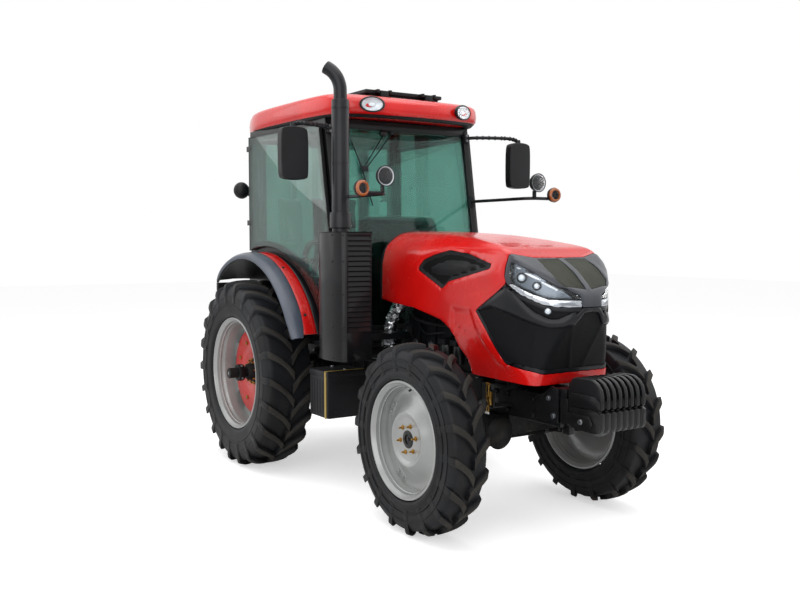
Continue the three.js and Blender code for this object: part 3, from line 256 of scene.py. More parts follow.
@dataclass(frozen=True)
class Finish:
    """One finish: its colours, gloss and small relief."""

    name: str
    slot: str
    colour: str
    second: str = ""
    rough: tuple[float, float] = (0.4, 0.5)
    metal: float = 0.0
    coat: float = 0.0
    relief: Relief = Relief.GRAIN
    scale: float = 700.0
    height: float = 0.3
    bump: float = 0.15
    dust: float = 0.0
    dust_top: float = 0.9
    sheen: float = 0.0
    clear: float = 0.0
    alpha: float = 1.0
    glow: float = 0.0
    ior: float = 1.5
    shine: float = 0.5

    def make(self, effects: Effects) -> bpy.types.Material:
        """Builds the material.

        Args:
            effects: The shared node groups.

        Returns:
            The new material.
        """
        material = bpy.data.materials.new(self.name)
        material.use_nodes = True
        material.node_tree.nodes.clear()
        nodes = Nodes(material.node_tree)
        shader = nodes.add("BsdfPrincipled", {"Metallic": self.metal, "Coat Weight": self.coat, "IOR": self.ior,
                                              "Coat Roughness": 0.04, "Sheen Weight": self.sheen,
                                              "Specular IOR Level": self.shine,
                                              "Transmission Weight": self.clear, "Alpha": self.alpha})
        cloud = nodes.add("Group", {"Scale": 5.0}, node_tree=effects.cloud).outputs[0]
        second = linear(self.second or self.colour)
        tint = nodes.add("Group", {"Scale": 4.0}, node_tree=effects.tint).outputs["Mask"]
        colour = nodes.mix(tint, linear(self.colour), second)
        relief = self._relief(nodes, effects)
        rough = nodes.spread(cloud, 0.0, 1.0, *self.rough)
        # The holes of the wire mesh are painted near-black: painted shade seen through them.
        if relief is not None and relief[1] is not None:
            colour = nodes.mix(relief[1], colour, linear("050506"))
        if self.dust > 0:
            dust = nodes.add("Group", {"Top": self.dust_top, "Amount": self.dust}, node_tree=effects.dust).outputs[0]
            colour = nodes.mix(dust, colour, linear("8f8674"))
            rough = nodes.maths("ADD", rough, nodes.maths("MULTIPLY", dust, 0.35))
        nodes.tree.links.new(colour, shader.inputs["Base Color"])
        nodes.tree.links.new(rough, shader.inputs["Roughness"])
        if relief is not None:
            bump = nodes.add("Bump", {"Height": relief[0], "Strength": self.bump, "Distance": 0.002})
            nodes.tree.links.new(bump.outputs[0], shader.inputs["Normal"])
        if self.glow > 0:
            nodes.tree.links.new(colour, shader.inputs["Emission Color"])
            shader.inputs["Emission Strength"].default_value = self.glow
        nodes.add("OutputMaterial", {"Surface": shader.outputs[0]})
        return material

    def _relief(self, nodes: Nodes, effects: Effects) -> Optional[tuple]:
        """Returns the height and, for the wire mesh, a mask of its holes, which are painted near-black as painted
        shade.
        """
        if self.relief is Relief.NONE:
            return None
        if self.relief is Relief.GRAIN:
            group = nodes.add("Group", {"Scale": self.scale, "Height": self.height}, node_tree=effects.grain)
            return group.outputs[0], None
        if self.relief is Relief.CAST:
            return nodes.add("Group", {"Scale": self.scale}, node_tree=effects.cast).outputs[0], None
        if self.relief is Relief.WEAVE:
            group = nodes.add("Group", {"Threads": self.scale}, node_tree=effects.weave)
            return group.outputs[0], None
        group = nodes.add("Group", {"Pitch": self.scale}, node_tree=effects.mesh)
        return group.outputs[0], group.outputs[1]


RED = Finish("red_gloss_paint", "red_paint", "d21310", "c40f0d", (0.22, 0.3), 0.0, 0.35, relief=Relief.NONE,
             shine=0.4)
WHEEL_RED = Finish("red_wheel_paint", "red_paint", "c8231f", "b91c19", (0.34, 0.42), 0.0, 0.3, dust=0.12)
BLACK = Finish("black_chassis_paint", "black_paint", "0c0d0f", "121316", (0.30, 0.42), 0.1, 0.2, Relief.CAST, 60,
               bump=0.12, dust=0.10, shine=0.22)
PLASTIC = Finish("black_moulded_plastic", "black_plastic", "0f1012", "16171a", (0.4, 0.5), bump=0.12, shine=0.26)
NOSE = Finish("charcoal_nose_plastic", "grey_plastic", "2b2e35", "33373f", (0.36, 0.44), coat=0.15, bump=0.08)
SATIN = Finish("satin_black_trim", "black_plastic", "141519", "1b1c20", (0.28, 0.36), coat=0.1, bump=0.05, shine=0.22)
FLARE = Finish("blue_grey_flare", "blue_grey_plastic", "414855", "4a5260", (0.3, 0.4), coat=0.1, bump=0.08)
# The grille mesh and the air mesh take the wire-mesh relief, whose holes are painted near-black as painted shade.
GRILLE = Finish("grille_mesh", "grille_black", "141518", "191a1d", (0.42, 0.52), relief=Relief.MESH, scale=0.011,
                bump=0.5, shine=0.1)
NET = Finish("olive_air_mesh", "grille_black", "5a5c50", "4c4f46", (0.45, 0.55), relief=Relief.MESH, scale=0.006,
             bump=0.4, shine=0.1)
# Near-black painted shade: the sheets behind the hood panels, the cap and the grille, the floors of the hollows under
# the headlamps, and the inside of the muffler guard.
SHADE_BLACK = Finish("painted_shade_black", "grille_black", "08090a", "0c0d0e", (0.6, 0.7), shine=0.1)
CAST = Finish("painted_casting", "cast_iron", "111215", "191a1d", (0.42, 0.58), 0.2, relief=Relief.CAST, scale=80,
              bump=0.35, dust=0.2, dust_top=1.0, shine=0.12)
RUBBER = Finish("tyre_rubber", "tyre", "0f1013", "15171b", (0.40, 0.54), scale=420, bump=0.18,
                dust=0.05, dust_top=1.2, shine=0.2)
# Lighter rubber for the lug tops: a painted highlight for the light that falls on them.
LUG_HIGHLIGHT = Finish("lug_top_painted_highlight", "tyre", "23211f", "2c2a27", (0.55, 0.7), scale=420,
                   bump=0.18, dust=0.10, dust_top=1.2, shine=0.2)
SILVER = Finish("silver_rim_paint", "silver_rim", "a2a4a3", "949695", (0.28, 0.38), 0.35, 0.25, Relief.CAST, 120,
                bump=0.04, dust=0.12)
STEEL = Finish("bare_steel", "bare_steel", "8d8f92", "787b80", (0.25, 0.38), 0.9, relief=Relief.CAST, scale=200,
               bump=0.05)
GOLD = Finish("gold_plate", "gold_plate", "b08a4a", "9a7636", (0.25, 0.38), 0.9, relief=Relief.CAST, scale=200,
              bump=0.05)
CHROME = Finish("bright_chrome", "chrome", "c3c7cd", "b4b9c0", (0.08, 0.14), 1.0, relief=Relief.NONE)
FOIL = Finish("heat_foil", "chrome", "d5d7da", "b8bbc0", (0.18, 0.3), 1.0, relief=Relief.CAST, scale=45, bump=1.0)
SEAL = Finish("rubber_seal", "black_plastic", "101113", "16171a", (0.5, 0.6), shine=0.22)
CLEAR = Finish("lamp_cover", "lamp_glass", "f4f8fb", "eef3f7", (0.02, 0.05), relief=Relief.NONE, clear=1.0,
               alpha=0.35, ior=1.45)
GLASS = Finish("green_cab_glass", "glass", "4a8d7f", "539788", (0.0, 0.0), relief=Relief.NONE, clear=1.0, alpha=0.82,
               ior=1.45)
SCREEN = Finish("green_windscreen", "glass", "7fb9ab", "88c0b3", (0.0, 0.0), relief=Relief.NONE, clear=1.0, alpha=0.78,
                ior=1.45)
BOWL = Finish("lamp_bowl", "chrome", "dfe2e5", "d4d8dc", (0.2, 0.28), 0.35, relief=Relief.NONE)
LAMP_GREY = Finish("lamp_inner_grey", "chrome", "7d858e", "6b737c", (0.22, 0.3), 0.8, relief=Relief.NONE)
LENS = Finish("projector_lens", "lamp_glass", "dfe8f0", "cfdbe6", (0.03, 0.06), 0.4, 0.5, Relief.NONE)
GLOW = Finish("lamp_white", "lamp_glass", "f2f5f8", "e6ebf0", (0.1, 0.2), relief=Relief.NONE, glow=0.15)
# The amber lens takes the wire-mesh relief too, so the hollows of its pattern are painted near-black as painted shade.
AMBER = Finish("amber_lens", "amber_lens", "e07818", "d76c12", (0.1, 0.18), coat=0.4, relief=Relief.MESH, scale=0.012,
               bump=0.3)
RED_LENS = Finish("red_lens", "red_lens", "a01015", "8f0d12", (0.1, 0.18), coat=0.4, relief=Relief.NONE)
MIRROR = Finish("mirror_face", "mirror", "d9dde0", "d4d8dc", (0.02, 0.04), 1.0, relief=Relief.NONE)
CLOTH = Finish("seat_cloth", "seat_cover", "2b2d31", "232529", (0.8, 0.92), relief=Relief.WEAVE, scale=1700,
               bump=0.35, sheen=0.4)
VINYL = Finish("seat_vinyl", "seat_cover", "1c1d20", "232427", (0.45, 0.55), scale=520, bump=0.3)
YELLOW = Finish("yellow_strap", "gold_plate", "b39a55", "a58b47", (0.5, 0.6))
MAT = Finish("floor_mat", "black_plastic", "202124", "27282b", (0.7, 0.8), relief=Relief.WEAVE, scale=420, bump=0.5,
             shine=0.2)
WHITE_TAG = Finish("white_tag", "lamp_glass", "e8e8e4", "dededa", (0.5, 0.6))


# ---------------------------------------------------------------- mesh building

def smoothed(points: Sequence[Point], per: int = 6, closed: bool = False) -> np.ndarray:
    """Runs a smooth curve through points.

    Args:
        points: The points, in any number of dimensions.
        per: How many steps to take between two points.
        closed: Whether the curve comes back to its start.

    Returns:
        The curve as an array of points.
    """
    p = np.array(points, float)
    count = len(p)
    spans = count if closed else count - 1
    out = []
    for i in range(spans):
        if closed:
            a, b, c, d = (p[(i + k) % count] for k in (-1, 0, 1, 2))
        else:
            a, b, c, d = p[max(i - 1, 0)], p[i], p[i + 1], p[min(i + 2, count - 1)]
        for k in range(per):
            t = k / per
            out.append(0.5 * (2 * b + (c - a) * t + (2 * a - 5 * b + 4 * c - d) * t * t
                              + (3 * b - a - 3 * c + d) * t ** 3))
    if not closed:
        out.append(p[-1])
    return np.array(out)


def moved(to: Point) -> Matrix:
    """Returns the move from the origin to a point."""
    return Matrix.Translation(to)


def facing(way: Point) -> Matrix:
    """Returns the turn that points z along a direction."""
    return Vector(way).normalized().to_track_quat("Z", "Y").to_matrix().to_4x4()


def ring_faces(rows: int, count: int) -> list[tuple[int, ...]]:
    """Returns the faces between rings of corners.

    Args:
        rows: How many rings.
        count: How many corners in a ring.

    Returns:
        The faces, ring by ring.
    """
    return [(i * count + k, i * count + (k + 1) % count, (i + 1) * count + (k + 1) % count, (i + 1) * count + k)
            for i in range(rows - 1) for k in range(count)]


def around(count: int, radius: float, first: float = 0.0) -> list[tuple[float, float]]:
    """Returns places spaced evenly round a circle.

    Args:
        count: How many places.
        radius: The circle's radius.
        first: Where the first one is, as a share of the spacing.

    Returns:
        The places as pairs.
    """
    turns = [2 * math.pi * (i + first) / count for i in range(count)]
    return [(radius * math.cos(turn), radius * math.sin(turn)) for turn in turns]


class Build:
    """Closed shells gathered into one mesh and turned into a piece of the tractor."""

    def __init__(self) -> None:
        """Starts with no shells."""
        self.verts: list[np.ndarray] = []
        self.faces: list[tuple[int, ...]] = []
        self.marks: list[int] = []
        self.count = 0

    def shell(self, verts: Iterable[Point], faces: Iterable[Sequence[int]], mark: int | Sequence[int] = 0,
              place: Optional[Matrix] = None) -> "Build":
        """Adds one shell.

        Args:
            verts: Its corners.
            faces: Its faces as corner numbers.
            mark: Which of the piece's finishes it takes, or one for each face.
            place: Where it goes.

        Returns:
            The build itself.
        """
        co = np.array([tuple(v) for v in verts], float)
        if place is not None:
            m = np.array(place)
            co = co @ m[:3, :3].T + m[:3, 3]
        self.verts.append(co)
        faces = list(faces)
        self.faces += [tuple(int(i) + self.count for i in face) for face in faces]
        self.marks += [mark] * len(faces) if isinstance(mark, int) else list(mark)
        self.count += len(co)
        return self

    def rounded(self, bm: bmesh.types.BMesh, width: float, mark: int, place: Optional[Matrix],
                segments: int = 2) -> "Build":
        """Rounds a solid's sharp edges and adds it."""
        if width > 0:
            sharp = [e for e in bm.edges if len(e.link_faces) == 2 and e.calc_face_angle(0) > 0.5]
            bmesh.ops.bevel(bm, geom=sharp, offset=width, segments=segments, profile=0.6, affect="EDGES",
                            clamp_overlap=True)
        bm.verts.index_update()
        self.shell([v.co for v in bm.verts], [[v.index for v in f.verts] for f in bm.faces], mark, place)
        bm.free()
        return self

    def meshed(self, verts: Iterable[Point], faces: Iterable[Sequence[int]], mark: int, width: float = 0.0,
               place: Optional[Matrix] = None, segments: int = 2, weld: bool = False) -> "Build":
        """Adds faces whose outward side is worked out, with sharp edges rounded.

        Args:
            verts: The corners.
            faces: The faces as corner numbers.
            mark: Which finish they take.
            width: How far sharp edges are rounded.
            place: Where they go.
            segments: Steps in each rounded edge.
            weld: Whether corners at one place become one.

        Returns:
            The build itself.
        """
        bm = bmesh.new()
        made = [bm.verts.new(v) for v in verts]
        for face in faces:
            bm.faces.new([made[i] for i in face])
        if weld:
            bmesh.ops.remove_doubles(bm, verts=bm.verts, dist=1e-6)
        bmesh.ops.recalc_face_normals(bm, faces=bm.faces)
        return self.rounded(bm, width, mark, place, segments)

    def surround(self, outer: Sequence[Point], inner: Sequence[Point], rise: Point, mark: int, width: float = 0.0,
                 place: Optional[Matrix] = None) -> "Build":
        """Adds the band between two outlines with as many corners, given some depth.

        Args:
            outer: The outer outline's corners in space.
            inner: The inner outline's corners.
            rise: The step from the near face to the far face.
            mark: Which finish it takes.
            width: How far its edges are rounded.
            place: Where it goes.

        Returns:
            The build itself.
        """
        count = len(outer)
        verts = [tuple(a + b * level for a, b in zip(point, rise)) for level in (0, 1)
                 for line in (outer, inner) for point in line]
        faces = []
        for i in range(count):
            j = (i + 1) % count
            faces += [(i, j, count + j, count + i), (2 * count + j, 2 * count + i, 3 * count + i, 3 * count + j),
                      (j, i, 2 * count + i, 2 * count + j), (count + i, count + j, 3 * count + j, 3 * count + i)]
        return self.meshed(verts, faces, mark, width, place, 3)

    def box(self, low: Point, high: Point, width: float = 0.004, mark: int = 0,
            place: Optional[Matrix] = None) -> "Build":
        """Adds a box between two corners, with rounded edges."""
        bm = bmesh.new()
        bmesh.ops.create_cube(bm, size=1.0)
        size = [h - l for l, h in zip(low, high)]
        centre = [(h + l) / 2 for l, h in zip(low, high)]
        bmesh.ops.transform(bm, verts=bm.verts, matrix=moved(centre) @ Matrix.Diagonal((*size, 1.0)))
        return self.rounded(bm, min(width, 0.45 * min(size)), mark, place)

    def prism(self, outline: Outline, low: float, high: float, axis: str = "y", width: float = 0.004, mark: int = 0,
              place: Optional[Matrix] = None, segments: int = 2) -> "Build":
        """Adds an outline carried along one axis, with rounded edges.

        Args:
            outline: Its corners in the plane across the axis, in the order x, y, z without the axis.
            low: Where it starts along the axis.
            high: Where it ends.
            axis: The axis.
            width: How far its edges are rounded.
            mark: Which finish it takes.
            place: Where it goes.
            segments: Steps in each rounded edge.

        Returns:
            The build itself.
        """
        at = "xyz".index(axis)
        bm = bmesh.new()
        rings = []
        for level in (low, high):
            rings.append([bm.verts.new([*pair[:at], level, *pair[at:]]) for pair in outline])
        count = len(outline)
        bm.faces.new(rings[0])
        bm.faces.new(rings[1][::-1])
        for i in range(count):
            j = (i + 1) % count
            bm.faces.new((rings[0][j], rings[0][i], rings[1][i], rings[1][j]))
        bmesh.ops.recalc_face_normals(bm, faces=bm.faces)
        return self.rounded(bm, width, mark, place, segments)

    def turned(self, profile: Sequence[tuple[float, float]], sides: int = 48, axis: str = "y", mark: int = 0,
               place: Optional[Matrix] = None, closed: bool = True) -> "Build":
        """Adds a profile turned about an axis.

        Args:
            profile: Pairs of radius and place along the axis.
            sides: Steps round.
            axis: The axis.
            mark: Which finish it takes.
            place: Where it goes.
            closed: Whether the profile comes back to its start; otherwise its ends stand on the axis.

        Returns:
            The build itself.
        """
        count = len(profile)
        verts, faces = [], []
        for i in range(sides):
            turn = 2 * math.pi * i / sides
            for radius, along in profile:
                c, s = radius * math.cos(turn), radius * math.sin(turn)
                verts.append({"x": (along, c, s), "y": (c, along, s), "z": (c, s, along)}[axis])
        spans = count if closed else count - 1
        for i in range(sides):
            j = (i + 1) % sides
            for k in range(spans):
                m = (k + 1) % count
                faces.append((i * count + k, i * count + m, j * count + m, j * count + k))
        return self.meshed(verts, faces, mark, place=place, weld=not closed)

    def solid(self, profile: Sequence[tuple[float, float]], sides: int = 48, axis: str = "y", mark: int = 0,
              place: Optional[Matrix] = None) -> "Build":
        """Adds a profile turned about an axis on which both its ends stand."""
        return self.turned(profile, sides, axis, mark, place, closed=False)

    def rod(self, radius: float, start: float, end: float, sides: int = 48, axis: str = "y", mark: int = 0,
            place: Optional[Matrix] = None) -> "Build":
        """Adds a plain round bar along an axis."""
        return self.solid([(0.0, start), (radius, start), (radius, end), (0.0, end)], sides, axis, mark, place)

    def pipe(self, points: Sequence[Point], radius: float, sides: int = 14, mark: int = 0, per: int = 6,
             place: Optional[Matrix] = None, squash: float = 1.0) -> "Build":
        """Adds a round bar along a smooth curve, closed at its ends.

        Args:
            points: The curve's points.
            radius: The bar's radius.
            sides: Steps round.
            mark: Which finish it takes.
            per: Steps between two points; 1 keeps the corners.
            place: Where it goes.
            squash: The share of its height that it keeps.

        Returns:
            The build itself.
        """
        path = smoothed(points, per) if per > 1 else np.array(points, float)
        steps = len(path)
        lift = Vector((0.0, 0.0, 1.0))
        first = Vector(path[1] - path[0]).normalized()
        normal = lift.cross(first)
        normal = Vector((1.0, 0.0, 0.0)) if normal.length < 1e-3 else normal.normalized()
        verts, faces = [], ring_faces(steps, sides)
        for i in range(steps):
            tangent = Vector(path[min(i + 1, steps - 1)] - path[max(i - 1, 0)]).normalized()
            normal = (normal - tangent * normal.dot(tangent)).normalized()
            other = tangent.cross(normal)
            for k in range(sides):
                turn = 2 * math.pi * k / sides
                verts.append(Vector(path[i]) + (normal * math.cos(turn) + other * math.sin(turn) * squash) * radius)
        faces.append(tuple(range(sides))[::-1])
        faces.append(tuple(range((steps - 1) * sides, steps * sides)))
        return self.shell(verts, faces, mark, place)

    def bolt(self, centre: Point, axis: Point, size: float, mark: int = 0, washer: bool = True) -> "Build":
        """Adds a six-sided bolt head on a washer.

        Args:
            centre: Where its seat is.
            axis: Which way it points.
            size: Its width across corners.
            mark: Which finish it takes.
            washer: Whether it has a washer.

        Returns:
            The build itself.
        """
        place = moved(centre) @ facing(axis)
        head = [(size / 2 * math.cos(math.pi / 3 * i), size / 2 * math.sin(math.pi / 3 * i)) for i in range(6)]
        self.prism(head, 0.0, size * 0.42, "z", size * 0.05, mark, place, 1)
        if washer:
            self.turned([(0.0, -0.001), (size * 0.66, -0.001), (size * 0.66, size * 0.08), (0.0, size * 0.08)],
                        20, "z", mark, place, closed=False)
        return self

    def mirrored(self) -> "Build":
        """Returns a copy reflected across the middle of the tractor."""
        other = Build()
        other.verts = [v * np.array((1.0, -1.0, 1.0)) for v in self.verts]
        other.faces = [face[::-1] for face in self.faces]
        other.marks = list(self.marks)
        other.count = self.count
        return other

    def side(self, sign: float) -> "Build":
        """Returns itself for the left side, drawn at positive y, or its mirrored copy for the right."""
        return self if sign > 0 else self.mirrored()

    def stand(self, shop: "Shop", name: str, body: str, finishes: Sequence[Finish], replaces: Sequence[str] = (),
              offset: Vector = REAR_AXLE, angle: float = 38.0) -> bpy.types.Object:
        """Makes the piece and hangs it on its body.

        Args:
            shop: Gives the materials.
            name: The piece's name.
            body: The body that it rides on.
            finishes: Its finishes, by mark.
            replaces: The frame's nodes that it stands for.
            offset: What is added to every corner.
            angle: Edges sharper than this many degrees stay sharp.

        Returns:
            The new object.
        """
        mesh = bpy.data.meshes.new(name)
        co = np.vstack(self.verts) + np.array(offset)
        mesh.from_pydata(co.tolist(), [], self.faces)
        for finish in finishes:
            mesh.materials.append(shop.material(finish))
        mesh.polygons.foreach_set("material_index", self.marks)
        mesh.validate()
        mesh.shade_smooth()
        mesh.set_sharp_from_angle(angle=math.radians(angle))
        piece = bpy.data.objects.new(name, mesh)
        bpy.context.scene.collection.objects.link(piece)
        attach(piece, body)
        if replaces:
            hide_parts(*replaces)
        shop.made(piece)
        return piece


class Shop:
    """Keeps the effects and the materials."""

    def __init__(self) -> None:
        """Builds the shared effects."""
        self.effects = Effects()
        self.materials: dict[str, bpy.types.Material] = {}

    def material(self, finish: Finish) -> bpy.types.Material:
        """Returns the material of a finish, made once."""
        if finish.name not in self.materials:
            self.materials[finish.name] = finish.make(self.effects)
        return self.materials[finish.name]

    def dress(self, node: str, finish: Finish) -> None:
        """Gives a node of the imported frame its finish."""
        piece = frame["nodes"][node]
        piece.data.materials.clear()
        piece.data.materials.append(self.material(finish))
        piece.data.polygons.foreach_set("material_index", [0] * len(piece.data.polygons))

    def made(self, piece: bpy.types.Object) -> None:
        """Takes one piece and does nothing with it."""
# ---------------------------------------------------------------- wheels

@dataclass
class Tread:
    """The size of one tyre and its lugs, in metres, with `across` measured from the middle outwards."""

    radius: float
    width: float
    rim: float
    rim_half: float
    lug: float
    count: int
    sweep: float
    bar: float

    def section(self) -> list[tuple[float, float]]:
        """Returns the carcass outside as (radius, across) from one bead to the other."""
        half, deep = self.width / 2, self.radius - self.rim
        crown = self.radius - self.lug
        side = [(self.rim + 0.004, self.rim_half + 0.004), (self.rim + 0.1 * deep, self.rim_half + 0.016),
                (self.rim + 0.28 * deep, half * 0.98), (self.rim + 0.45 * deep, half),
                (self.rim + 0.62 * deep, half * 0.985), (crown - 0.016, half * 0.9), (crown - 0.004, half * 0.8),
                (crown, half * 0.6), (crown + 0.004, 0)]
        right = [(r, -a) for r, a in side[:-1]]
        return [(float(r), float(a)) for r, a in smoothed(right + [side[-1]] + side[-2::-1], 4)]

    def surface(self, across: float) -> float:
        """Returns the lug tops' radius at a place across the tread."""
        half = self.width / 2
        share = min(1.0, abs(across) / half)
        return self.radius - 0.02 * share ** 3

    def lugs(self, build: Build) -> None:
        """Adds the slanting bars of the tread, in two rows that meet in a staggered chevron.

        Args:
            build: Where they go.
        """
        crown, half = self.radius - self.lug, self.width / 2
        path = [(-0.04, 0), (0.1, 0.2), (0.26, 0.42), (0.44, 0.6), (0.62, 0.74), (0.78, 0.86), (0.9, 0.94),
                (0.97, 0.98), (1.015, 1.0), (1.03, 1.01)]
        drop = [0, 0, 0, 0, 0, 0.001, 0.003, 0.008, 0.03, 0.075]
        thick = [1.35, 1.22, 1.05, 1.0, 1.0, 1.02, 1.05, 1.05, 1.0, 0.9]
        for row in (1.0, -1.0):
            for i in range(self.count):
                start = 2 * math.pi * (i + (0.25 if row > 0 else 0.75)) / self.count
                sections = []
                for (share, turn), fall, fat in zip(path, drop, thick):
                    across = share * (half * 0.985)
                    angle = start - turn * self.sweep / self.radius
                    top = self.surface(across) - fall
                    base = crown - 0.016 - max(0, share - 0.78) * 0.42
                    wide = self.bar * fat / 2
                    foot = wide * 1.45
                    ring = []
                    level = base + 0.45 * (top - base)
                    for radius, off in ((base, -foot), (level, -wide * 1.12), (top - 0.003, -wide),
                                        (top, -wide + 0.004), (top, wide - 0.004), (top - 0.003, wide),
                                        (level, wide * 1.12), (base, foot)):
                        a = angle + off / self.radius
                        ring.append((radius * math.sin(a), row * across, radius * math.cos(a)))
                    sections.append(ring)
                count = len(sections[0])
                verts = [v for ring in sections for v in ring]
                faces, marks = [], []
                for k in range(len(sections) - 1):
                    for m in range(count):
                        n = (m + 1) % count
                        # the top faces of the lugs take the lighter rubber, a painted highlight
                        marks.append(1 if m in (2, 3, 4) and k < 7 else 0)
                        quad = (k * count + m, k * count + n, (k + 1) * count + n, (k + 1) * count + m)
                        faces.append(quad if row < 0 else quad[::-1])
                ends = (tuple(range(count)), tuple(range((len(sections) - 1) * count, len(sections) * count)))
                faces.append(ends[0][::-1] if row < 0 else ends[0])
                faces.append(ends[1] if row < 0 else ends[1][::-1])
                build.shell(verts, faces, marks + [0, 0])

    def tyre(self) -> Build:
        """Returns the whole tyre: the carcass, its side rings and the lugs."""
        build = Build()
        inside = [(self.rim + 0.002, self.rim_half - 0.014), (self.rim + 0.03, self.rim_half - 0.02),
                  (self.rim + 0.5 * (self.radius - self.rim), self.width * 0.36), (self.radius - self.lug - 0.03, 0)]
        inner = inside + [(r, -a) for r, a in inside[-2::-1]]
        build.turned(self.section() + inner, 96)
        deep = self.radius - self.rim
        for side in (1.0, -1.0):
            for at, out in ((0.16, 0.90), (0.34, 0.99), (0.56, 0.995)):
                ring = self.rim + at * deep
                wide = max(self.rim_half + 0.012, self.width / 2 * out)
                loop = [(ring + 0.004 * math.cos(k * math.pi / 3), side * wide + 0.003 * math.sin(k * math.pi / 3))
                        for k in range(6)]
                build.turned(loop, 96)
        self.lugs(build)
        return build


REAR_TREAD = Tread(0.672, 0.352, 0.405, 0.152, 0.04, 22, 0.165, 0.046)
FRONT_TREAD = Tread(0.533, 0.232, 0.332, 0.106, 0.034, 18, 0.118, 0.042)


@dataclass
class Wheels:
    """The four wheels: tyres, rims, discs, hubs and their bolts."""

    shop: Shop
    rear_axle: Vector = field(default_factory=lambda: Vector((0.0, 0.75, REAR_RISE)))
    front_axle: Vector = field(default_factory=lambda: Vector((WHEELBASE, 0.652, FRONT_RISE)))

    def build(self) -> None:
        """Makes all four wheels."""
        for name, sign in SIDES:
            self._wheel("rear", name, sign, self.rear_axle, REAR_TREAD, self._rear_rim())
            self._wheel("front", name, sign, self.front_axle, FRONT_TREAD, self._front_rim())

    def _wheel(self, end: str, name: str, sign: float, axle: Vector, tread: Tread,
               rim: tuple[Build, list[Finish]]) -> None:
        """Stands one tyre and one rim on their wheel."""
        offset = REAR_AXLE + Vector((axle.x, axle.y * sign, axle.z))
        body = f"{end}_wheel_{name}"
        node = f"{end}_{name}"
        tyre = tread.tyre().side(sign)
        tyre.stand(self.shop, f"{node}_tread_tyre", body, [RUBBER, LUG_HIGHLIGHT], [f"{node}_tyre"], offset, 50)
        build, finishes = rim
        build.side(sign).stand(self.shop, f"{node}_rim", body, finishes, [f"{node}_wheel"], offset)

    def _barrel(self, build: Build, rim: float, half: float, well: float, mark: int) -> None:
        """Adds the rim's barrel: flanges, bead seats, humps and the drop centre."""
        side = [(rim - 0.004, half + 0.004), (rim, half), (rim - 0.002, half - 0.005), (rim - 0.012, half - 0.009),
                (rim - 0.022, half - 0.016), (rim - 0.025, half - 0.034), (rim - 0.029, half - 0.037),
                (rim - 0.029, half - 0.044), (rim - 0.025, half - 0.047), (rim - 0.027, half - 0.06),
                (well + 0.003, half - 0.068), (well, half - 0.08)]
        back = [(r - 0.009, a) for r, a in side]
        back[0] = (rim - 0.012, half + 0.004)
        back[1] = (rim - 0.016, half - 0.002)
        back[2] = (rim - 0.022, half - 0.008)
        back[3] = (rim - 0.03, half - 0.018)
        outer = [(r, -a) for r, a in side[::-1]]
        inner = [(r, -a) for r, a in back]
        build.turned(side + outer + inner + back[::-1], 96, mark=mark)

    def _rear_rim(self) -> tuple[Build, list[Finish]]:
        """Returns the rear rim with its red disc, hub, shaft end and gold bolts."""
        build = Build()
        silver, red, black, gold, steel = range(5)
        self._barrel(build, 0.403, 0.152, 0.369, silver)
        # welded lugs inside the barrel behind the disc, and the disc's two rings of bolts
        for i in range(8):
            turn = Matrix.Rotation(2 * math.pi * (i + 0.5) / 8, 4, "Y")
            build.prism([(-0.045, 0.262), (0.045, 0.262), (0.062, 0.372), (-0.062, 0.372)], -0.014, -0.002, "y",
                        0.003, silver, turn)
            build.bolt(turn @ Vector((0, 0.012, 0.218)), (0, 1, 0), 0.028, gold)
            build.rod(0.021, 0, 0.004, 20, "y", red, turn @ moved((0, 0.011, 0.218)))
        disc = [(0.06, -0.03), (0.105, -0.03), (0.12, -0.024), (0.15, -0.008), (0.165, -0.002), (0.2, 0), (0.25, 0),
                (0.265, -0.002), (0.3, -0.002), (0.306, 0.002), (0.306, 0.01), (0.3, 0.012), (0.268, 0.012),
                (0.252, 0.014), (0.2, 0.014), (0.162, 0.012), (0.146, 0.006), (0.116, -0.01), (0.104, -0.016),
                (0.06, -0.016)]
        build.turned(disc, 96, mark=red)
        hub = [(0, -0.05), (0.096, -0.05), (0.096, -0.004), (0.088, 0.006), (0.064, 0.014), (0.056, 0.05),
               (0.05, 0.06), (0.044, 0.062), (0, 0.062)]
        build.solid(hub, 64, mark=black)
        build.solid([(0, 0.05), (0.037, 0.05), (0.037, 0.192), (0.033, 0.196), (0, 0.196)], 40, mark=black)
        build.solid([(0, 0.19), (0.012, 0.19), (0.012, 0.1965), (0, 0.1975)], 20, mark=steel)
        build.turned([(0.034, 0.086), (0.058, 0.086), (0.06, 0.089), (0.06, 0.125), (0.057, 0.128), (0.034, 0.128)],
                     48, mark=black)
        for i in range(4):
            turn = Matrix.Rotation(math.pi * (i + 0.4) / 2, 4, "Y")
            build.bolt(turn @ Vector((0, 0.107, 0.059)), turn @ Vector((0, 0, 1)), 0.02, steel, False)
        for x, z in around(8, 0.082, 0.3):
            place = (x, 0.006, z)
            build.bolt(place, (0, 1, 0), 0.027, gold)
            build.solid([(0, 0), (0.006, 0), (0.006, 0.03), (0, 0.031)], 12, mark=gold, place=moved(place))
        build.pipe([(0, 0.03, 0.352), (0, 0.06, 0.346), (0, 0.085, 0.335)], 0.007, 12, black)
        build.solid([(0, -0.152), (0.08, -0.152), (0.092, -0.12), (0.092, -0.05), (0, -0.05)], 48, mark=black)
        return build, [SILVER, WHEEL_RED, CAST, GOLD, STEEL]

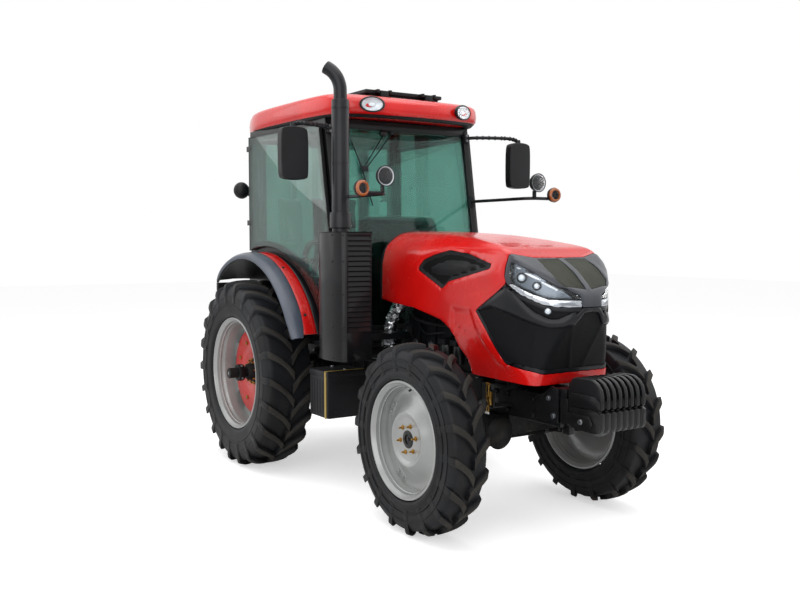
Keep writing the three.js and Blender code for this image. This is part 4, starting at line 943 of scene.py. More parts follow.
    def _front_rim(self) -> tuple[Build, list[Finish]]:
        """Returns the front rim with its dished disc, hub and gold studs."""
        build = Build()
        silver, black, gold = range(3)
        self._barrel(build, 0.33, 0.106, 0.297, silver)
        disc = [(0.05, 0.064), (0.118, 0.064), (0.126, 0.066), (0.137, 0.075), (0.15, 0.076), (0.161, 0.068),
                (0.185, 0.046), (0.21, 0.03), (0.235, 0.018), (0.262, 0.014), (0.27, 0.017), (0.294, 0.017),
                (0.294, 0.006), (0.262, 0.004), (0.235, 0.008), (0.208, 0.018), (0.182, 0.034), (0.158, 0.055),
                (0.148, 0.063), (0.138, 0.062), (0.128, 0.054), (0.118, 0.052), (0.05, 0.052)]
        build.turned(disc, 96, mark=silver)
        for i in range(4):
            turn = Matrix.Rotation(math.pi * (i + 0.35) / 2, 4, "Y")
            build.prism([(-0.05, 0.244), (0.05, 0.244), (0.062, 0.288), (-0.062, 0.288)], 0.004, 0.018, "y", 0.004,
                        silver, turn)
            for off in (-0.026, 0.026):
                build.bolt(turn @ Vector((off, 0.018, 0.264)), (0, 1, 0), 0.022, silver)
        for x, z in around(6, 0.078, 0.2):
            place = (x, 0.064, z)
            build.bolt(place, (0, 1, 0), 0.021, gold)
            build.solid([(0, 0), (0.0052, 0), (0.0052, 0.026), (0, 0.028)], 14, mark=gold, place=moved(place))
        hub = [(0, -0.03), (0.09, -0.03), (0.094, 0.05), (0.052, 0.054), (0.05, 0.066), (0.046, 0.068),
               (0.028, 0.069), (0.026, 0.062), (0, 0.062)]
        build.solid(hub, 48, mark=black)
        build.solid([(0, 0.06), (0.01, 0.06), (0.01, 0.067), (0, 0.068)], 24, mark=black)
        build.pipe([(0, 0.012, 0.283), (0, 0.034, 0.278), (0, 0.058, 0.268)], 0.006, 12, black)
        return build, [SILVER, BLACK, GOLD]
# ---------------------------------------------------------------- hood and nose

SIDE_TOP = [(1.0, 1.694), (1.1, 1.692), (1.4, 1.684), (1.83, 1.658), (2.28, 1.6), (2.4, 1.556), (2.55, 1.47),
            (2.65, 1.385), (2.69, 1.33), (2.7, 1.28), (2.688, 1.222), (2.6, 1.01), (2.575, 0.925), (2.56, 0.858),
            (2.54, 0.7)]
PLAN_HALF = [(1.0, 0.45), (1.9, 0.45), (2.2, 0.375), (2.3, 0.351), (2.38, 0.33), (2.47, 0.301), (2.54, 0.262),
             (2.6, 0.212), (2.64, 0.17), (2.68, 0.115), (2.7, 0.06), (2.702, 0)]
SECT_HALF = [(0, 1.692), (0.1, 1.69), (0.2, 1.668), (0.27, 1.625), (0.315, 1.575), (0.334, 1.51), (0.342, 1.44),
             (0.342, 1.13), (0.32, 0.98), (0.29, 0.858), (0.29, 0.6)]
HOOD_FOOT = [(1.0, 1.262), (1.12, 1.25), (1.284, 1.23), (1.5, 1.216), (1.745, 1.172), (1.8, 1.16), (1.893, 1.11),
             (1.941, 1.017), (2.01, 0.95), (2.035, 0.862), (2.56, 0.858), (2.8, 0.858)]

VENT = [(1.549, 1.451), (1.605, 1.509), (1.7, 1.54), (1.851, 1.571), (2.054, 1.55), (2.267, 1.498), (2.263, 1.474),
        (2.085, 1.434), (1.878, 1.389), (1.812, 1.343)]
VENT_SHELF = [(1.647, 1.455), (1.741, 1.49), (1.885, 1.522), (2.064, 1.503), (2.188, 1.487), (2.069, 1.461),
              (1.895, 1.423), (1.735, 1.423)]
CAP_SIDE = [(2.36, 1.75), (2.36, 1.56), (2.359, 1.478), (2.377, 1.407), (2.4, 1.377), (2.464, 1.339), (2.579, 1.286),
            (2.623, 1.276), (2.8, 1.272), (2.8, 1.75)]
GRILLE_SIDE = [(2.133, 1.236), (2.219, 1.287), (2.3, 1.335), (2.377, 1.392), (2.4, 1.377), (2.464, 1.339),
               (2.579, 1.286), (2.623, 1.276), (2.8, 1.272), (2.8, 0.912), (2.575, 0.912), (2.574, 0.921),
               (2.533, 0.934), (2.365, 0.958), (2.308, 1.025), (2.223, 1.136)]
BAND_SIDE = [(2.133, 1.236), (2.219, 1.287), (2.3, 1.335), (2.377, 1.375), (2.43, 1.345), (2.5, 1.285),
             (2.545, 1.246), (2.599, 1.215), (2.635, 1.214), (2.683, 1.252), (2.75, 1.262), (2.75, 1.19),
             (2.648, 1.171), (2.599, 1.169), (2.516, 1.192), (2.417, 1.227), (2.279, 1.262)]
LAMP_SIDE = [(2.409, 1.498), (2.434, 1.504), (2.544, 1.446), (2.627, 1.383), (2.651, 1.374), (2.69, 1.318),
             (2.598, 1.321), (2.515, 1.35), (2.426, 1.391), (2.405, 1.443)]
CHROME_SIDE = [(2.406, 1.385), (2.412, 1.399), (2.515, 1.349), (2.598, 1.316), (2.7, 1.312), (2.715, 1.276),
               (2.623, 1.278), (2.572, 1.291), (2.464, 1.343)]


class Contour:
    """A closed outline in a plane, with its signed distance: below zero inside."""

    def __init__(self, points: Outline) -> None:
        """Takes the outline's corners."""
        self.a = np.array(points, float)
        self.b = np.roll(self.a, -1, axis=0)

    def at(self, u: np.ndarray, v: np.ndarray) -> np.ndarray:
        """Returns the signed distance at many places.

        Args:
            u: First coordinates.
            v: Second coordinates.

        Returns:
            The distances, below zero inside.
        """
        u, v = np.asarray(u, float), np.asarray(v, float)
        best = np.full(u.shape, 1e9)
        inside = np.zeros(u.shape, bool)
        for (ax, ay), (bx, by) in zip(self.a, self.b):
            dx, dy = bx - ax, by - ay
            size = dx * dx + dy * dy
            if size < 1e-14:
                continue
            share = np.clip(((u - ax) * dx + (v - ay) * dy) / size, 0, 1.0)
            best = np.minimum(best, np.hypot(u - ax - share * dx, v - ay - share * dy))
            if ay != by:
                crosses = (ay > v) != (by > v)
                inside ^= crosses & (u < (bx - ax) * (v - ay) / (by - ay) + ax)
        return np.where(inside, -best, best)


class HoodForm:
    """The hood's outer surface, as a rounded meeting of its side, plan and section outlines."""

    ROUND = 0.02

    def __init__(self) -> None:
        """Draws the three outlines."""
        top = [tuple(p) for p in smoothed(SIDE_TOP, 4)]
        self.side = Contour([*top, (0.9, 0.6), (0.9, 1.694)])
        plan = [tuple(p) for p in smoothed(PLAN_HALF, 4)]
        self.plan = Contour([*plan, *[(x, -y) for x, y in plan[-2::-1]]])
        sect = [tuple(p) for p in smoothed(SECT_HALF, 4)]
        self.sect = Contour([*sect, *[(-y, z) for y, z in sect[:0:-1]]])

    def at(self, p: np.ndarray) -> np.ndarray:
        """Returns about how far places are outside the surface."""
        x, y, z = p[:, 0], p[:, 1], p[:, 2]
        parts = np.stack([self.side.at(x, z), self.plan.at(x, y), self.sect.at(y, z)]) + self.ROUND
        out = np.sqrt((np.maximum(parts, 0) ** 2).sum(0))
        return np.where(parts.max(0) > 0, out, parts.max(0)) - self.ROUND

    def march(self, start: np.ndarray, way: np.ndarray, far: float = 1.0) -> np.ndarray:
        """Returns where rays from inside meet the surface.

        Args:
            start: Where the rays start.
            way: Their directions.
            far: A reach that is surely outside.

        Returns:
            The meeting points.
        """
        low, high = np.zeros(len(start)), np.full(len(start), far)
        for _ in range(19):
            middle = (low + high) / 2
            out = self.at(start + way * middle[:, None]) > 0
            high = np.where(out, middle, high)
            low = np.where(out, low, middle)
        return start + way * low[:, None]

    def normals(self, p: np.ndarray) -> np.ndarray:
        """Returns the outward directions at places on the surface."""
        step, here = 0.003, self.at(p)
        grad = np.stack([self.at(p + np.eye(3)[k] * step) - here for k in range(3)], 1)
        return grad / np.maximum(np.linalg.norm(grad, axis=1, keepdims=True), 1e-9)

    def grid(self) -> tuple[np.ndarray, list[tuple[int, int, int, int]]]:
        """Returns the surface as rings of points and their faces."""
        steps = 152
        angles = np.linspace(-math.pi, math.pi, steps, endpoint=False)
        rings = [(x, 0) for x in np.linspace(1.12, 2.2, 90)]
        rings += [(2.2, lean) for lean in np.linspace(0, math.pi / 2, 62)[1:]]
        start = np.vstack([np.tile([x, 0, 1.26], (steps, 1)) for x, _ in rings])
        way = np.vstack([np.stack([np.full(steps, math.sin(lean)), math.cos(lean) * np.sin(angles),
                                   math.cos(lean) * np.cos(angles)], 1) for _, lean in rings])
        return self.march(start, way), ring_faces(len(rings), steps)


Region = Callable[[np.ndarray], np.ndarray]


class Panels:
    """Cuts panels out of the hood's surface and gives them thickness and rolled edges."""

    def __init__(self) -> None:
        """Makes the full surface once."""
        self.form = HoodForm()
        verts, faces = self.form.grid()
        self.bm = bmesh.new()
        made = [self.bm.verts.new(v) for v in verts]
        for face in faces:
            if len({tuple(verts[i]) for i in face}) == 4:
                self.bm.faces.new([made[i] for i in face])
        bmesh.ops.remove_doubles(self.bm, verts=self.bm.verts, dist=1e-5)

    def cut(self, region: Region) -> bmesh.types.BMesh:
        """Returns the part of the surface where the region's function is below zero."""
        bm = self.bm.copy()
        co = np.array([v.co[:] for v in bm.verts])
        value = region(co)
        value[np.abs(value) < 2e-5] = 2e-5
        bm.verts.index_update()
        crossing = [(e, value[e.verts[0].index], value[e.verts[1].index]) for e in bm.edges]
        edges = [e for e, a, b in crossing if a * b < 0]
        new = set()
        lookup = {e: (a, b) for e, a, b in crossing}
        for edge in edges:
            a, b = lookup[edge]
            first = edge.verts[0]
            _, vert = bmesh.utils.edge_split(edge, first, a / (a - b))
            new.add(vert)
        gone = {v for i, v in enumerate(bm.verts) if i < len(co) and value[i] > 0}
        for face in list(bm.faces):
            marks = [v for v in face.verts if v in new]
            if len(marks) == 2:
                try:
                    bmesh.utils.face_split(face, marks[0], marks[1])
                except ValueError:
                    pass
            elif len(marks) == 4:
                ring = list(face.verts)
                first = ring.index(marks[0])
                ordered = [v for v in ring[first:] + ring[:first] if v in new]
                inside = next(v for v in ring[first + 1:] + ring[:first] if v not in new)
                pairs = ((ordered[0], ordered[1]), (ordered[2], ordered[3]))
                if inside not in gone:
                    pairs = ((ordered[3], ordered[0]), (ordered[1], ordered[2]))
                for one, two in pairs:
                    for part in set(one.link_faces) & set(two.link_faces):
                        try:
                            bmesh.utils.face_split(part, one, two)
                            break
                        except ValueError:
                            continue
        out = [f for f in bm.faces if any(v in gone for v in f.verts)]
        bmesh.ops.delete(bm, geom=out, context="FACES")
        loose = [v for v in bm.verts if not v.link_faces]
        bmesh.ops.delete(bm, geom=loose, context="VERTS")
        bmesh.ops.dissolve_degenerate(bm, edges=bm.edges, dist=2e-4)
        return bm

    def panel(self, build: Build, region: Region, mark: int = 0, thick: float = 0.006, lift: float = 0.0,
              roll: float = 0.003, shape: Optional[Callable[[np.ndarray], np.ndarray]] = None) -> None:
        """Adds one panel.

        Args:
            build: Where it goes.
            region: Below zero where the panel is.
            mark: Its finish.
            thick: Its thickness, inwards.
            lift: How far its face stands off the form.
            roll: How far its edges are rolled in.
            shape: Gives a further lift at each place.
        """
        bm = self.cut(region)
        co = np.array([v.co[:] for v in bm.verts])
        if not len(co):
            return
        normals = self.form.normals(co)
        inset = np.clip(-region(co) / max(roll, 1e-06), 0, 1.0)
        drop = roll * (1 - np.sqrt(np.maximum(0, 1 - (1 - inset) ** 2)))
        rise = lift - drop
        if shape is not None:
            rise = rise + shape(co)
        top = co + normals * rise[:, None]
        sunk = np.full(len(co), lift - thick) if shape is None else lift - thick + np.minimum(0, shape(co))
        base = co + normals * sunk[:, None]
        bm.verts.index_update()
        faces = [[v.index for v in f.verts] for f in bm.faces]
        rim = [(l.vert.index, l.link_loop_next.vert.index) for e in bm.edges if e.is_boundary for l in e.link_loops]
        count = len(co)
        walls = [(b, a, a + count, b + count) for a, b in rim]
        under = [[i + count for i in face[::-1]] for face in faces]
        bm.free()
        build.shell(np.vstack([top, base]), [*faces, *under, *walls], mark)
@dataclass
class Hood:
    """The hood: red panels, vents, the dark cap with its lamps, the chrome strips and the mesh grille."""

    shop: Shop
    panels: Panels = field(default_factory=Panels)
    gap: float = 0.0018

    def __post_init__(self) -> None:
        """Prepares the outlines in the side view."""
        self.foot = Contour([*HOOD_FOOT, (2.8, 2.0), (1.0, 2.0)])
        self.vent = Contour(VENT)
        self.seam = Contour([(1.88, 1.15), (2.067, 1.095), (2.167, 0.982), (2.235, 0.9), (2.26, 0.82), (2.262, 0.82),
                             (2.237, 0.901), (2.169, 0.984), (2.069, 1.097), (1.881, 1.152)])
        self.shelf = Contour(VENT_SHELF)
        self.cap = Contour(CAP_SIDE)
        self.grille = Contour(GRILLE_SIDE)
        self.band = Contour(BAND_SIDE)
        self.pocket = Contour([(2.43, 1.352), (2.464, 1.339), (2.579, 1.286), (2.632, 1.272), (2.65, 1.246),
                               (2.635, 1.214), (2.599, 1.215), (2.545, 1.246), (2.5, 1.285)])
        self.lamp = Contour([tuple(p) for p in smoothed(LAMP_SIDE, 3, True)])
        self.chrome = Contour(CHROME_SIDE)
        self.crease = Contour([(1.9, 1.238), (2.087, 1.238), (2.133, 1.148), (2.21, 1.043), (2.294, 0.959),
                               (2.5, 0.914), (2.7, 0.88), (2.7, 0.7), (1.9, 0.7)])

    def _body(self, p: np.ndarray) -> np.ndarray:
        """Returns the distance outside the hood's own side outline."""
        return np.maximum(self.foot.at(p[:, 0], p[:, 2]), 1.138 - p[:, 0])

    def _cap(self, p: np.ndarray) -> np.ndarray:
        """Returns the distance outside the dark cap."""
        x, y, z = p.T
        seam = np.interp(np.abs(y), [0, 0.18, 0.323, 0.335, 0.5], [2.445, 2.44, 2.389, 2.362, 2.36])
        top = np.where(z > 1.44, seam - x, -1.0)
        return np.maximum(self.cap.at(x, z), top)

    def _grille(self, p: np.ndarray) -> np.ndarray:
        """Returns the distance outside the mesh grille's opening."""
        return self.grille.at(p[:, 0], p[:, 2])

    def _band(self, p: np.ndarray) -> np.ndarray:
        """Returns the distance outside the dark band across the grille."""
        x, y, z = p.T
        keystone = Contour([(-0.048, 1.3), (0.048, 1.3), (0.066, 1.268), (0.11, 1.222), (0.12, 1.176), (0.1, 1.178),
                            (0.05, 1.246), (0, 1.25), (-0.05, 1.246), (-0.1, 1.178), (-0.12, 1.176), (-0.11, 1.222),
                            (-0.066, 1.268)])
        front = np.maximum(keystone.at(y, z), 2.5 - x)
        return np.minimum(np.maximum(self.band.at(x, z), 0.1 - np.abs(y)), front)

    def _lamp(self, p: np.ndarray) -> np.ndarray:
        """Returns the distance outside a headlamp."""
        return np.maximum(self.lamp.at(p[:, 0], p[:, 2]), 0.075 - np.abs(p[:, 1]))

    def _chrome(self, p: np.ndarray) -> np.ndarray:
        """Returns the distance outside a chrome strip."""
        return np.maximum(self.chrome.at(p[:, 0], p[:, 2]), 0.07 - np.abs(p[:, 1]))

    def _window(self, p: np.ndarray) -> np.ndarray:
        """Returns the distance outside the two mesh windows on the cap."""
        plan = Contour([(2.457, 0.018), (2.457, 0.175), (2.54, 0.186), (2.621, 0.176), (2.65, 0.145), (2.667, 0.018)])
        return np.maximum(plan.at(p[:, 0], np.abs(p[:, 1])), 1.33 - p[:, 2])

    def build(self) -> None:
        """Makes every piece of the hood."""
        self._red()
        self._cap_piece()
        self._lamps()
        self._grille_piece()

    def _dent(self, p: np.ndarray) -> np.ndarray:
        """Returns the lift of the red surface: a raised brow over the grille and a soft line along the side."""
        x, y, z = p.T
        side = np.clip((np.abs(y) - 0.28) / 0.05, 0, 1)
        line = np.interp(x, [1.14, 1.745, 1.988, 2.211, 2.357], [1.625, 1.595, 1.558, 1.524, 1.469])
        crease = -0.0035 * np.exp(-((z - line) / 0.0035) ** 2) * (x < 2.36) * (np.abs(y) > 0.2)
        inner = np.clip(-self.crease.at(x, z) / 0.014, 0, 1)
        inner = inner * inner * (3 - 2 * inner)
        near = np.clip((0.09 - np.abs(self.vent.at(x, z))) / 0.06, 0, 1) * 0.0025
        groove = -0.0035 * np.exp(-(self.seam.at(x, z) / 0.0055) ** 2) * (np.abs(y) > 0.15)
        return crease - 0.01 * inner * side + near * side + groove

    def _red(self) -> None:
        """Makes the red panels with the vents, the near-black sheet behind them that paints the shade seen through
        their gaps, and the rear seal.
        """
        build = Build()
        gap = self.gap

        def red(p: np.ndarray) -> np.ndarray:
            """Cuts the red panels."""
            vent = np.where(np.abs(p[:, 1]) > 0.2, self.vent.at(p[:, 0], p[:, 2]), 1.0)
            parts = (self._body(p), gap - self._cap(p), gap - self._grille(p), 0.001 - vent)
            return np.maximum.reduce(parts)

        self.panels.panel(build, red, 0, 0.006, 0, 0.003, self._dent)

        def shade_sheet(p: np.ndarray) -> np.ndarray:
            """Cuts the near-black sheet behind the panels: painted shade seen through the gaps between them."""
            return np.maximum.reduce((self._body(p) + 0.012, 0.004 - self._cap(p), -0.022 - self._grille(p)))

        self.panels.panel(build, shade_sheet, 1, 0.003, -0.013, 0.001)

        def vent(p: np.ndarray) -> np.ndarray:
            """Cuts the floor of the side vents."""
            return np.where(np.abs(p[:, 1]) > 0.2, self.vent.at(p[:, 0], p[:, 2]) + 0.0012, 1.0)

        def floor(p: np.ndarray) -> np.ndarray:
            """Sinks the vent and raises the shelf in it."""
            deep = np.clip(-self.vent.at(p[:, 0], p[:, 2]) / 0.024, 0, 1)
            shelf = np.clip(-self.shelf.at(p[:, 0], p[:, 2]) / 0.012, 0, 1)
            return -0.014 * deep + 0.011 * shelf

        self.panels.panel(build, vent, 2, 0.004, -0.002, 0.002, floor)

        def seal(p: np.ndarray) -> np.ndarray:
            """Cuts the strip at the rear edge."""
            return np.maximum(self.foot.at(p[:, 0], p[:, 2]) + 0.002, p[:, 0] - 1.1365)

        self.panels.panel(build, seal, 3, 0.012, -0.001, 0.005)
        build.stand(self.shop, "hood_panels", "hood", [RED, SHADE_BLACK, PLASTIC, SEAL], ["hood"])

    def _cap_piece(self) -> None:
        """Makes the cap with its two mesh windows and the rib between them."""
        build = Build()
        gap = self.gap

        def cap(p: np.ndarray) -> np.ndarray:
            """Cuts the cap."""
            return np.maximum.reduce((self._cap(p) + gap, 0.0012 - self._lamp(p), 0.001 - self._chrome(p),
                                      0.0005 - self._window(p), self._body(p)))

        def swell(p: np.ndarray) -> np.ndarray:
            """Raises the rib round the windows."""
            x, y = p.T[:2]
            return 0.004 * np.clip((x - 2.46) / 0.05, 0, 1) * np.clip((0.21 - np.abs(y)) / 0.02, 0, 1)

        self.panels.panel(build, cap, 0, 0.006, 0, 0.003, swell)
        self.panels.panel(build, lambda p: self._window(p) + 0.0005, 1, 0.004, -0.0025, 0.001)
        # a near-black sheet behind the cap: painted shade seen through the mesh windows
        self.panels.panel(build, lambda p: self._cap(p) + 0.01, 2, 0.003, -0.03, 0.001)
        build.stand(self.shop, "nose_cap_shell", "hood", [NOSE, NET, SHADE_BLACK], ["nose_cap"])

    def _lamps(self) -> None:
        """Makes the headlamps and the bright strips under them."""
        build = Build()
        cover, chrome, dark, lens, glow, grey = range(6)
        self.panels.panel(build, lambda p: self._lamp(p) + 0.0005, cover, 0.002, 0.0005, 0.002)
        self.panels.panel(build, lambda p: self._lamp(p) + 0.003, grey, 0.003, -0.024, 0.001)
        self.panels.panel(build, lambda p: np.maximum(self._lamp(p) + 0.0015, -0.008 - self._lamp(p)), dark, 0.018,
                          -0.003, 0.002)
        bars = Contour([(2.425, 1.484), (2.455, 1.482), (2.545, 1.434), (2.63, 1.369), (2.632, 1.356), (2.545, 1.419),
                        (2.455, 1.468), (2.425, 1.47)])
        self.panels.panel(build, lambda p: np.where(np.abs(p[:, 1]) > 0.08, bars.at(p[:, 0], p[:, 2]), 1.0), glow,
                          0.005, -0.012, 0.0015)
        self.panels.panel(build, self._chrome, chrome, 0.005, 0.0015, 0.0035)
        form = self.panels.form
        for sign in (1.0, -1.0):
            for x, z, size in ((2.468, 1.428, 0.026), (2.545, 1.386, 0.022)):
                start = np.array([[2.2, 0, z]])
                plan = np.interp(x, [p[0] for p in PLAN_HALF], [p[1] for p in PLAN_HALF])
                way = np.array([[x - 2.2, sign * plan, 0]])
                way /= np.linalg.norm(way)
                at = form.march(start, way)[0]
                out = Vector(form.normals(at[None])[0])
                centre = Vector(at) - out * 0.016
                turn = facing(out + Vector((0.35, 0, 0)))
                place = moved(centre) @ turn
                bowl = [(0, -0.006), (size, -0.006), (size + 0.002, 0.003), (size - 0.002, 0.004),
                        (size - 0.003, -0.001), (0, -0.001)]
                build.solid(bowl, 32, "z", dark, place)
                ball = [(0.0, -0.002)] + [(size * 0.72 * math.cos(a), size * 0.34 * math.sin(a))
                                          for a in np.linspace(0, math.pi / 2, 8)[:-1]] + [(0.0, size * 0.34)]
                build.solid(ball, 32, "z", lens, place)
            start, way = (np.array([[2.2, 0, 1.256]]), np.array([[0.394, sign * 0.218, 0]]))
            at = Vector(form.march(start, way / np.linalg.norm(way))[0])
            out = Vector(form.normals(np.array([at[:]]))[0])
            place = moved(at - out * 0.004) @ facing(out)
            build.solid([(0, -0.012), (0.021, -0.012), (0.0235, 0.004), (0.02, 0.006), (0.018, 0), (0, 0)], 32, "z",
                        dark, place)
            build.solid([(0, 0), (0.017, 0), (0.012, 0.0045), (0, 0.006)], 28, "z", lens, place)
        build.stand(self.shop, "headlamps", "hood", [CLEAR, CHROME, SATIN, LENS, GLOW, LAMP_GREY])

    def _grille_piece(self) -> None:
        """Makes the mesh, its frame and the band across it."""
        build = Build()
        mesh, satin, dark = range(3)
        gap = self.gap

        def folds(p: np.ndarray) -> np.ndarray:
            """Folds the mesh along its four upright ridges."""
            y, z = p.T[1:]
            low = np.clip((1.19 - z) / 0.26, 0, 1)
            a = np.abs(np.abs(y) - np.interp(z, [0.912, 1.196], [0.037, 0.112]))
            b = np.abs(np.abs(y) - np.interp(z, [0.934, 1.167], [0.269, 0.258]))
            ridge = 0.007 * np.exp(-(a / 0.012) ** 2) + 0.006 * np.exp(-(b / 0.012) ** 2)
            return -0.006 + ridge * (0.3 + 0.7 * low)

        def frame(p: np.ndarray) -> np.ndarray:
            """Cuts the frame round the mesh."""
            return np.maximum.reduce((self._grille(p) + gap * 0.5, -0.02 - self._grille(p), 0.001 - self._band(p)))

        def pocket(p: np.ndarray) -> np.ndarray:
            """Cuts the hollows under the headlamps."""
            return np.maximum(self.pocket.at(p[:, 0], p[:, 2]), 0.1 - np.abs(p[:, 1]))

        def band(p: np.ndarray) -> np.ndarray:
            """Cuts the band with its hollows left out."""
            return np.maximum.reduce((self._band(p), self._grille(p) + gap, 0.001 - pocket(p)))

        self.panels.panel(build, lambda p: np.maximum(self._grille(p) + 0.0185, 0.001 - self._band(p)), mesh, 0.004,
                          0, 0.001, folds)
        self.panels.panel(build, frame, satin, 0.01, -0.002, 0.001)
        self.panels.panel(build, band, satin, 0.008, 0.001, 0.003,
                          lambda p: 0.007 * np.clip(-self._band(p) / 0.018, 0, 1))
        # near-black floors sunk in the hollows under the headlamps: painted shade in the hollows
        self.panels.panel(build, lambda p: pocket(p) + 0.0005, dark, 0.004, -0.014, 0.001)
        # a near-black sheet behind the mesh: painted shade seen through the grille
        self.panels.panel(build, lambda p: self._grille(p) + 0.006, dark, 0.003, -0.034, 0.001)
        build.stand(self.shop, "grille_mesh_panel", "hood", [GRILLE, SATIN, SHADE_BLACK], ["front_grille"])
# ---------------------------------------------------------------- cab

PILLAR_KNEE, PILLAR_TOP = (0.985, 1.5), (0.815, 2.44)
HINGE_X, HINGE_Y, FRONT_HALF = -0.255, 0.64, 0.575
HINGE = Vector((HINGE_X, HINGE_Y, 0))
SLANT = math.atan2(HINGE_Y - FRONT_HALF, PILLAR_KNEE[0] - HINGE_X)


def pillar_x(z: float) -> float:
    """Returns the front edge of the cab's side at a height."""
    share = max(0, (z - PILLAR_KNEE[1]) / (PILLAR_TOP[1] - PILLAR_KNEE[1]))
    return PILLAR_KNEE[0] + share * (PILLAR_TOP[0] - PILLAR_KNEE[0])


def slanted() -> Matrix:
    """Returns the turn from the side's own plane to where it stands, about the door's rear post."""
    return moved(HINGE) @ Matrix.Rotation(-SLANT, 4, "Z") @ moved(-HINGE)


def arc_points(centre: tuple[float, float], radius: float, start: float, end: float, steps: int) -> list:
    """Returns points on an arc, with its angles in degrees."""
    return [(centre[0] + radius * math.cos(math.radians(a)), centre[1] + radius * math.sin(math.radians(a)))
            for a in np.linspace(start, end, steps + 1)]


@dataclass
class Fenders:
    """The rear fenders: a red shell, the dark flare round it, and the dark shelf, lip, underside and wall beside them.
    """

    shop: Shop

    def build(self) -> None:
        """Makes both fenders."""
        for name, sign in SIDES:
            self._fender().side(sign).stand(self.shop, f"fender_shell_{name}", "root", [RED, FLARE, PLASTIC, BLACK],
                                            [f"fender_{name}"])

    def _sweep(self, build: Build, section: Outline, start: float, end: float, mark: int, steps: int = 40,
               taper: float = 0.0) -> None:
        """Carries a closed section of (radius, y) pairs round the rear axle.

        Args:
            build: Where it goes.
            section: The section's corners.
            start: First angle in degrees.
            end: Last angle in degrees.
            mark: Its finish.
            steps: How many steps.
            taper: How much of its width is lost at both ends.
        """
        count = len(section)
        middle = sum(y for _, y in section) / count
        verts, faces = [], [(a, d, c, b) for a, b, c, d in ring_faces(steps + 1, count)]
        for i, degrees in enumerate(np.linspace(start, end, steps + 1)):
            a = math.radians(degrees)
            ease = 1.0 - taper * max(0, 1 - min(i, steps - i) / (0.12 * steps)) ** 2
            for radius, y in section:
                verts.append((radius * math.cos(a), middle + (y - middle) * ease, REAR_RISE + radius * math.sin(a)))
        faces.append(tuple(range(count)))
        faces.append(tuple(range(steps * count, (steps + 1) * count))[::-1])
        build.meshed(verts, faces, mark)

    def _fender(self) -> Build:
        """Returns the left fender."""
        build = Build()
        red, flare, dark, black = range(4)
        top = [(0.866, 0.64), (0.872, 0.646), (0.874, 0.66), (0.872, 0.7), (0.868, 0.735), (0.856, 0.752),
               (0.848, 0.745), (0.856, 0.73), (0.861, 0.7), (0.862, 0.66), (0.86, 0.646), (0.856, 0.64)]
        self._sweep(build, top, 23.0, 129.0, red)
        shelf = [(0.862, 0.53), (0.869, 0.54), (0.869, 0.634), (0.866, 0.6385), (0.852, 0.6385), (0.852, 0.53)]
        self._sweep(build, shelf, 23.0, 129.0, black)
        wide = [(0.868, 0.722), (0.874, 0.735), (0.875, 0.752), (0.871, 0.785), (0.864, 0.812), (0.852, 0.83),
                (0.836, 0.833), (0.826, 0.828), (0.828, 0.822), (0.842, 0.818), (0.852, 0.803), (0.858, 0.778),
                (0.86, 0.748), (0.858, 0.722)]
        self._sweep(build, wide, 21.5, 130.0, flare, 48, 0.35)
        lip = [(0.829, 0.8), (0.838, 0.812), (0.836, 0.82), (0.824, 0.822), (0.818, 0.812)]
        self._sweep(build, lip, 22.0, 129.5, dark, 48)
        under = [(0.846, 0.532), (0.85, 0.6), (0.851, 0.7), (0.846, 0.74), (0.838, 0.8), (0.832, 0.8), (0.838, 0.73),
                 (0.843, 0.69), (0.843, 0.6), (0.839, 0.532)]
        self._sweep(build, under, 23.5, 128.5, dark)
        # the wall between the fender and the cab
        arc = arc_points((0, REAR_RISE), 0.864, 23.0, 129.0, 36)
        build.prism([*arc, (arc[-1][0], 0.955), (arc[0][0], 0.955)], 0.529, 0.541, "y", 0.002, black)
        for degrees in (32.0, 62.0, 92.0, 120.0):
            a = math.radians(degrees)
            normal = (math.cos(a), 0, math.sin(a))
            for y in (0.565, 0.70):
                at = (0.872 * math.cos(a), y, REAR_RISE + 0.872 * math.sin(a))
                build.solid([(0, -0.003), (0.011, -0.003), (0.011, 0.002), (0.008, 0.005), (0, 0.005)], 14, "z", dark,
                            moved(at) @ facing(normal))
        return build


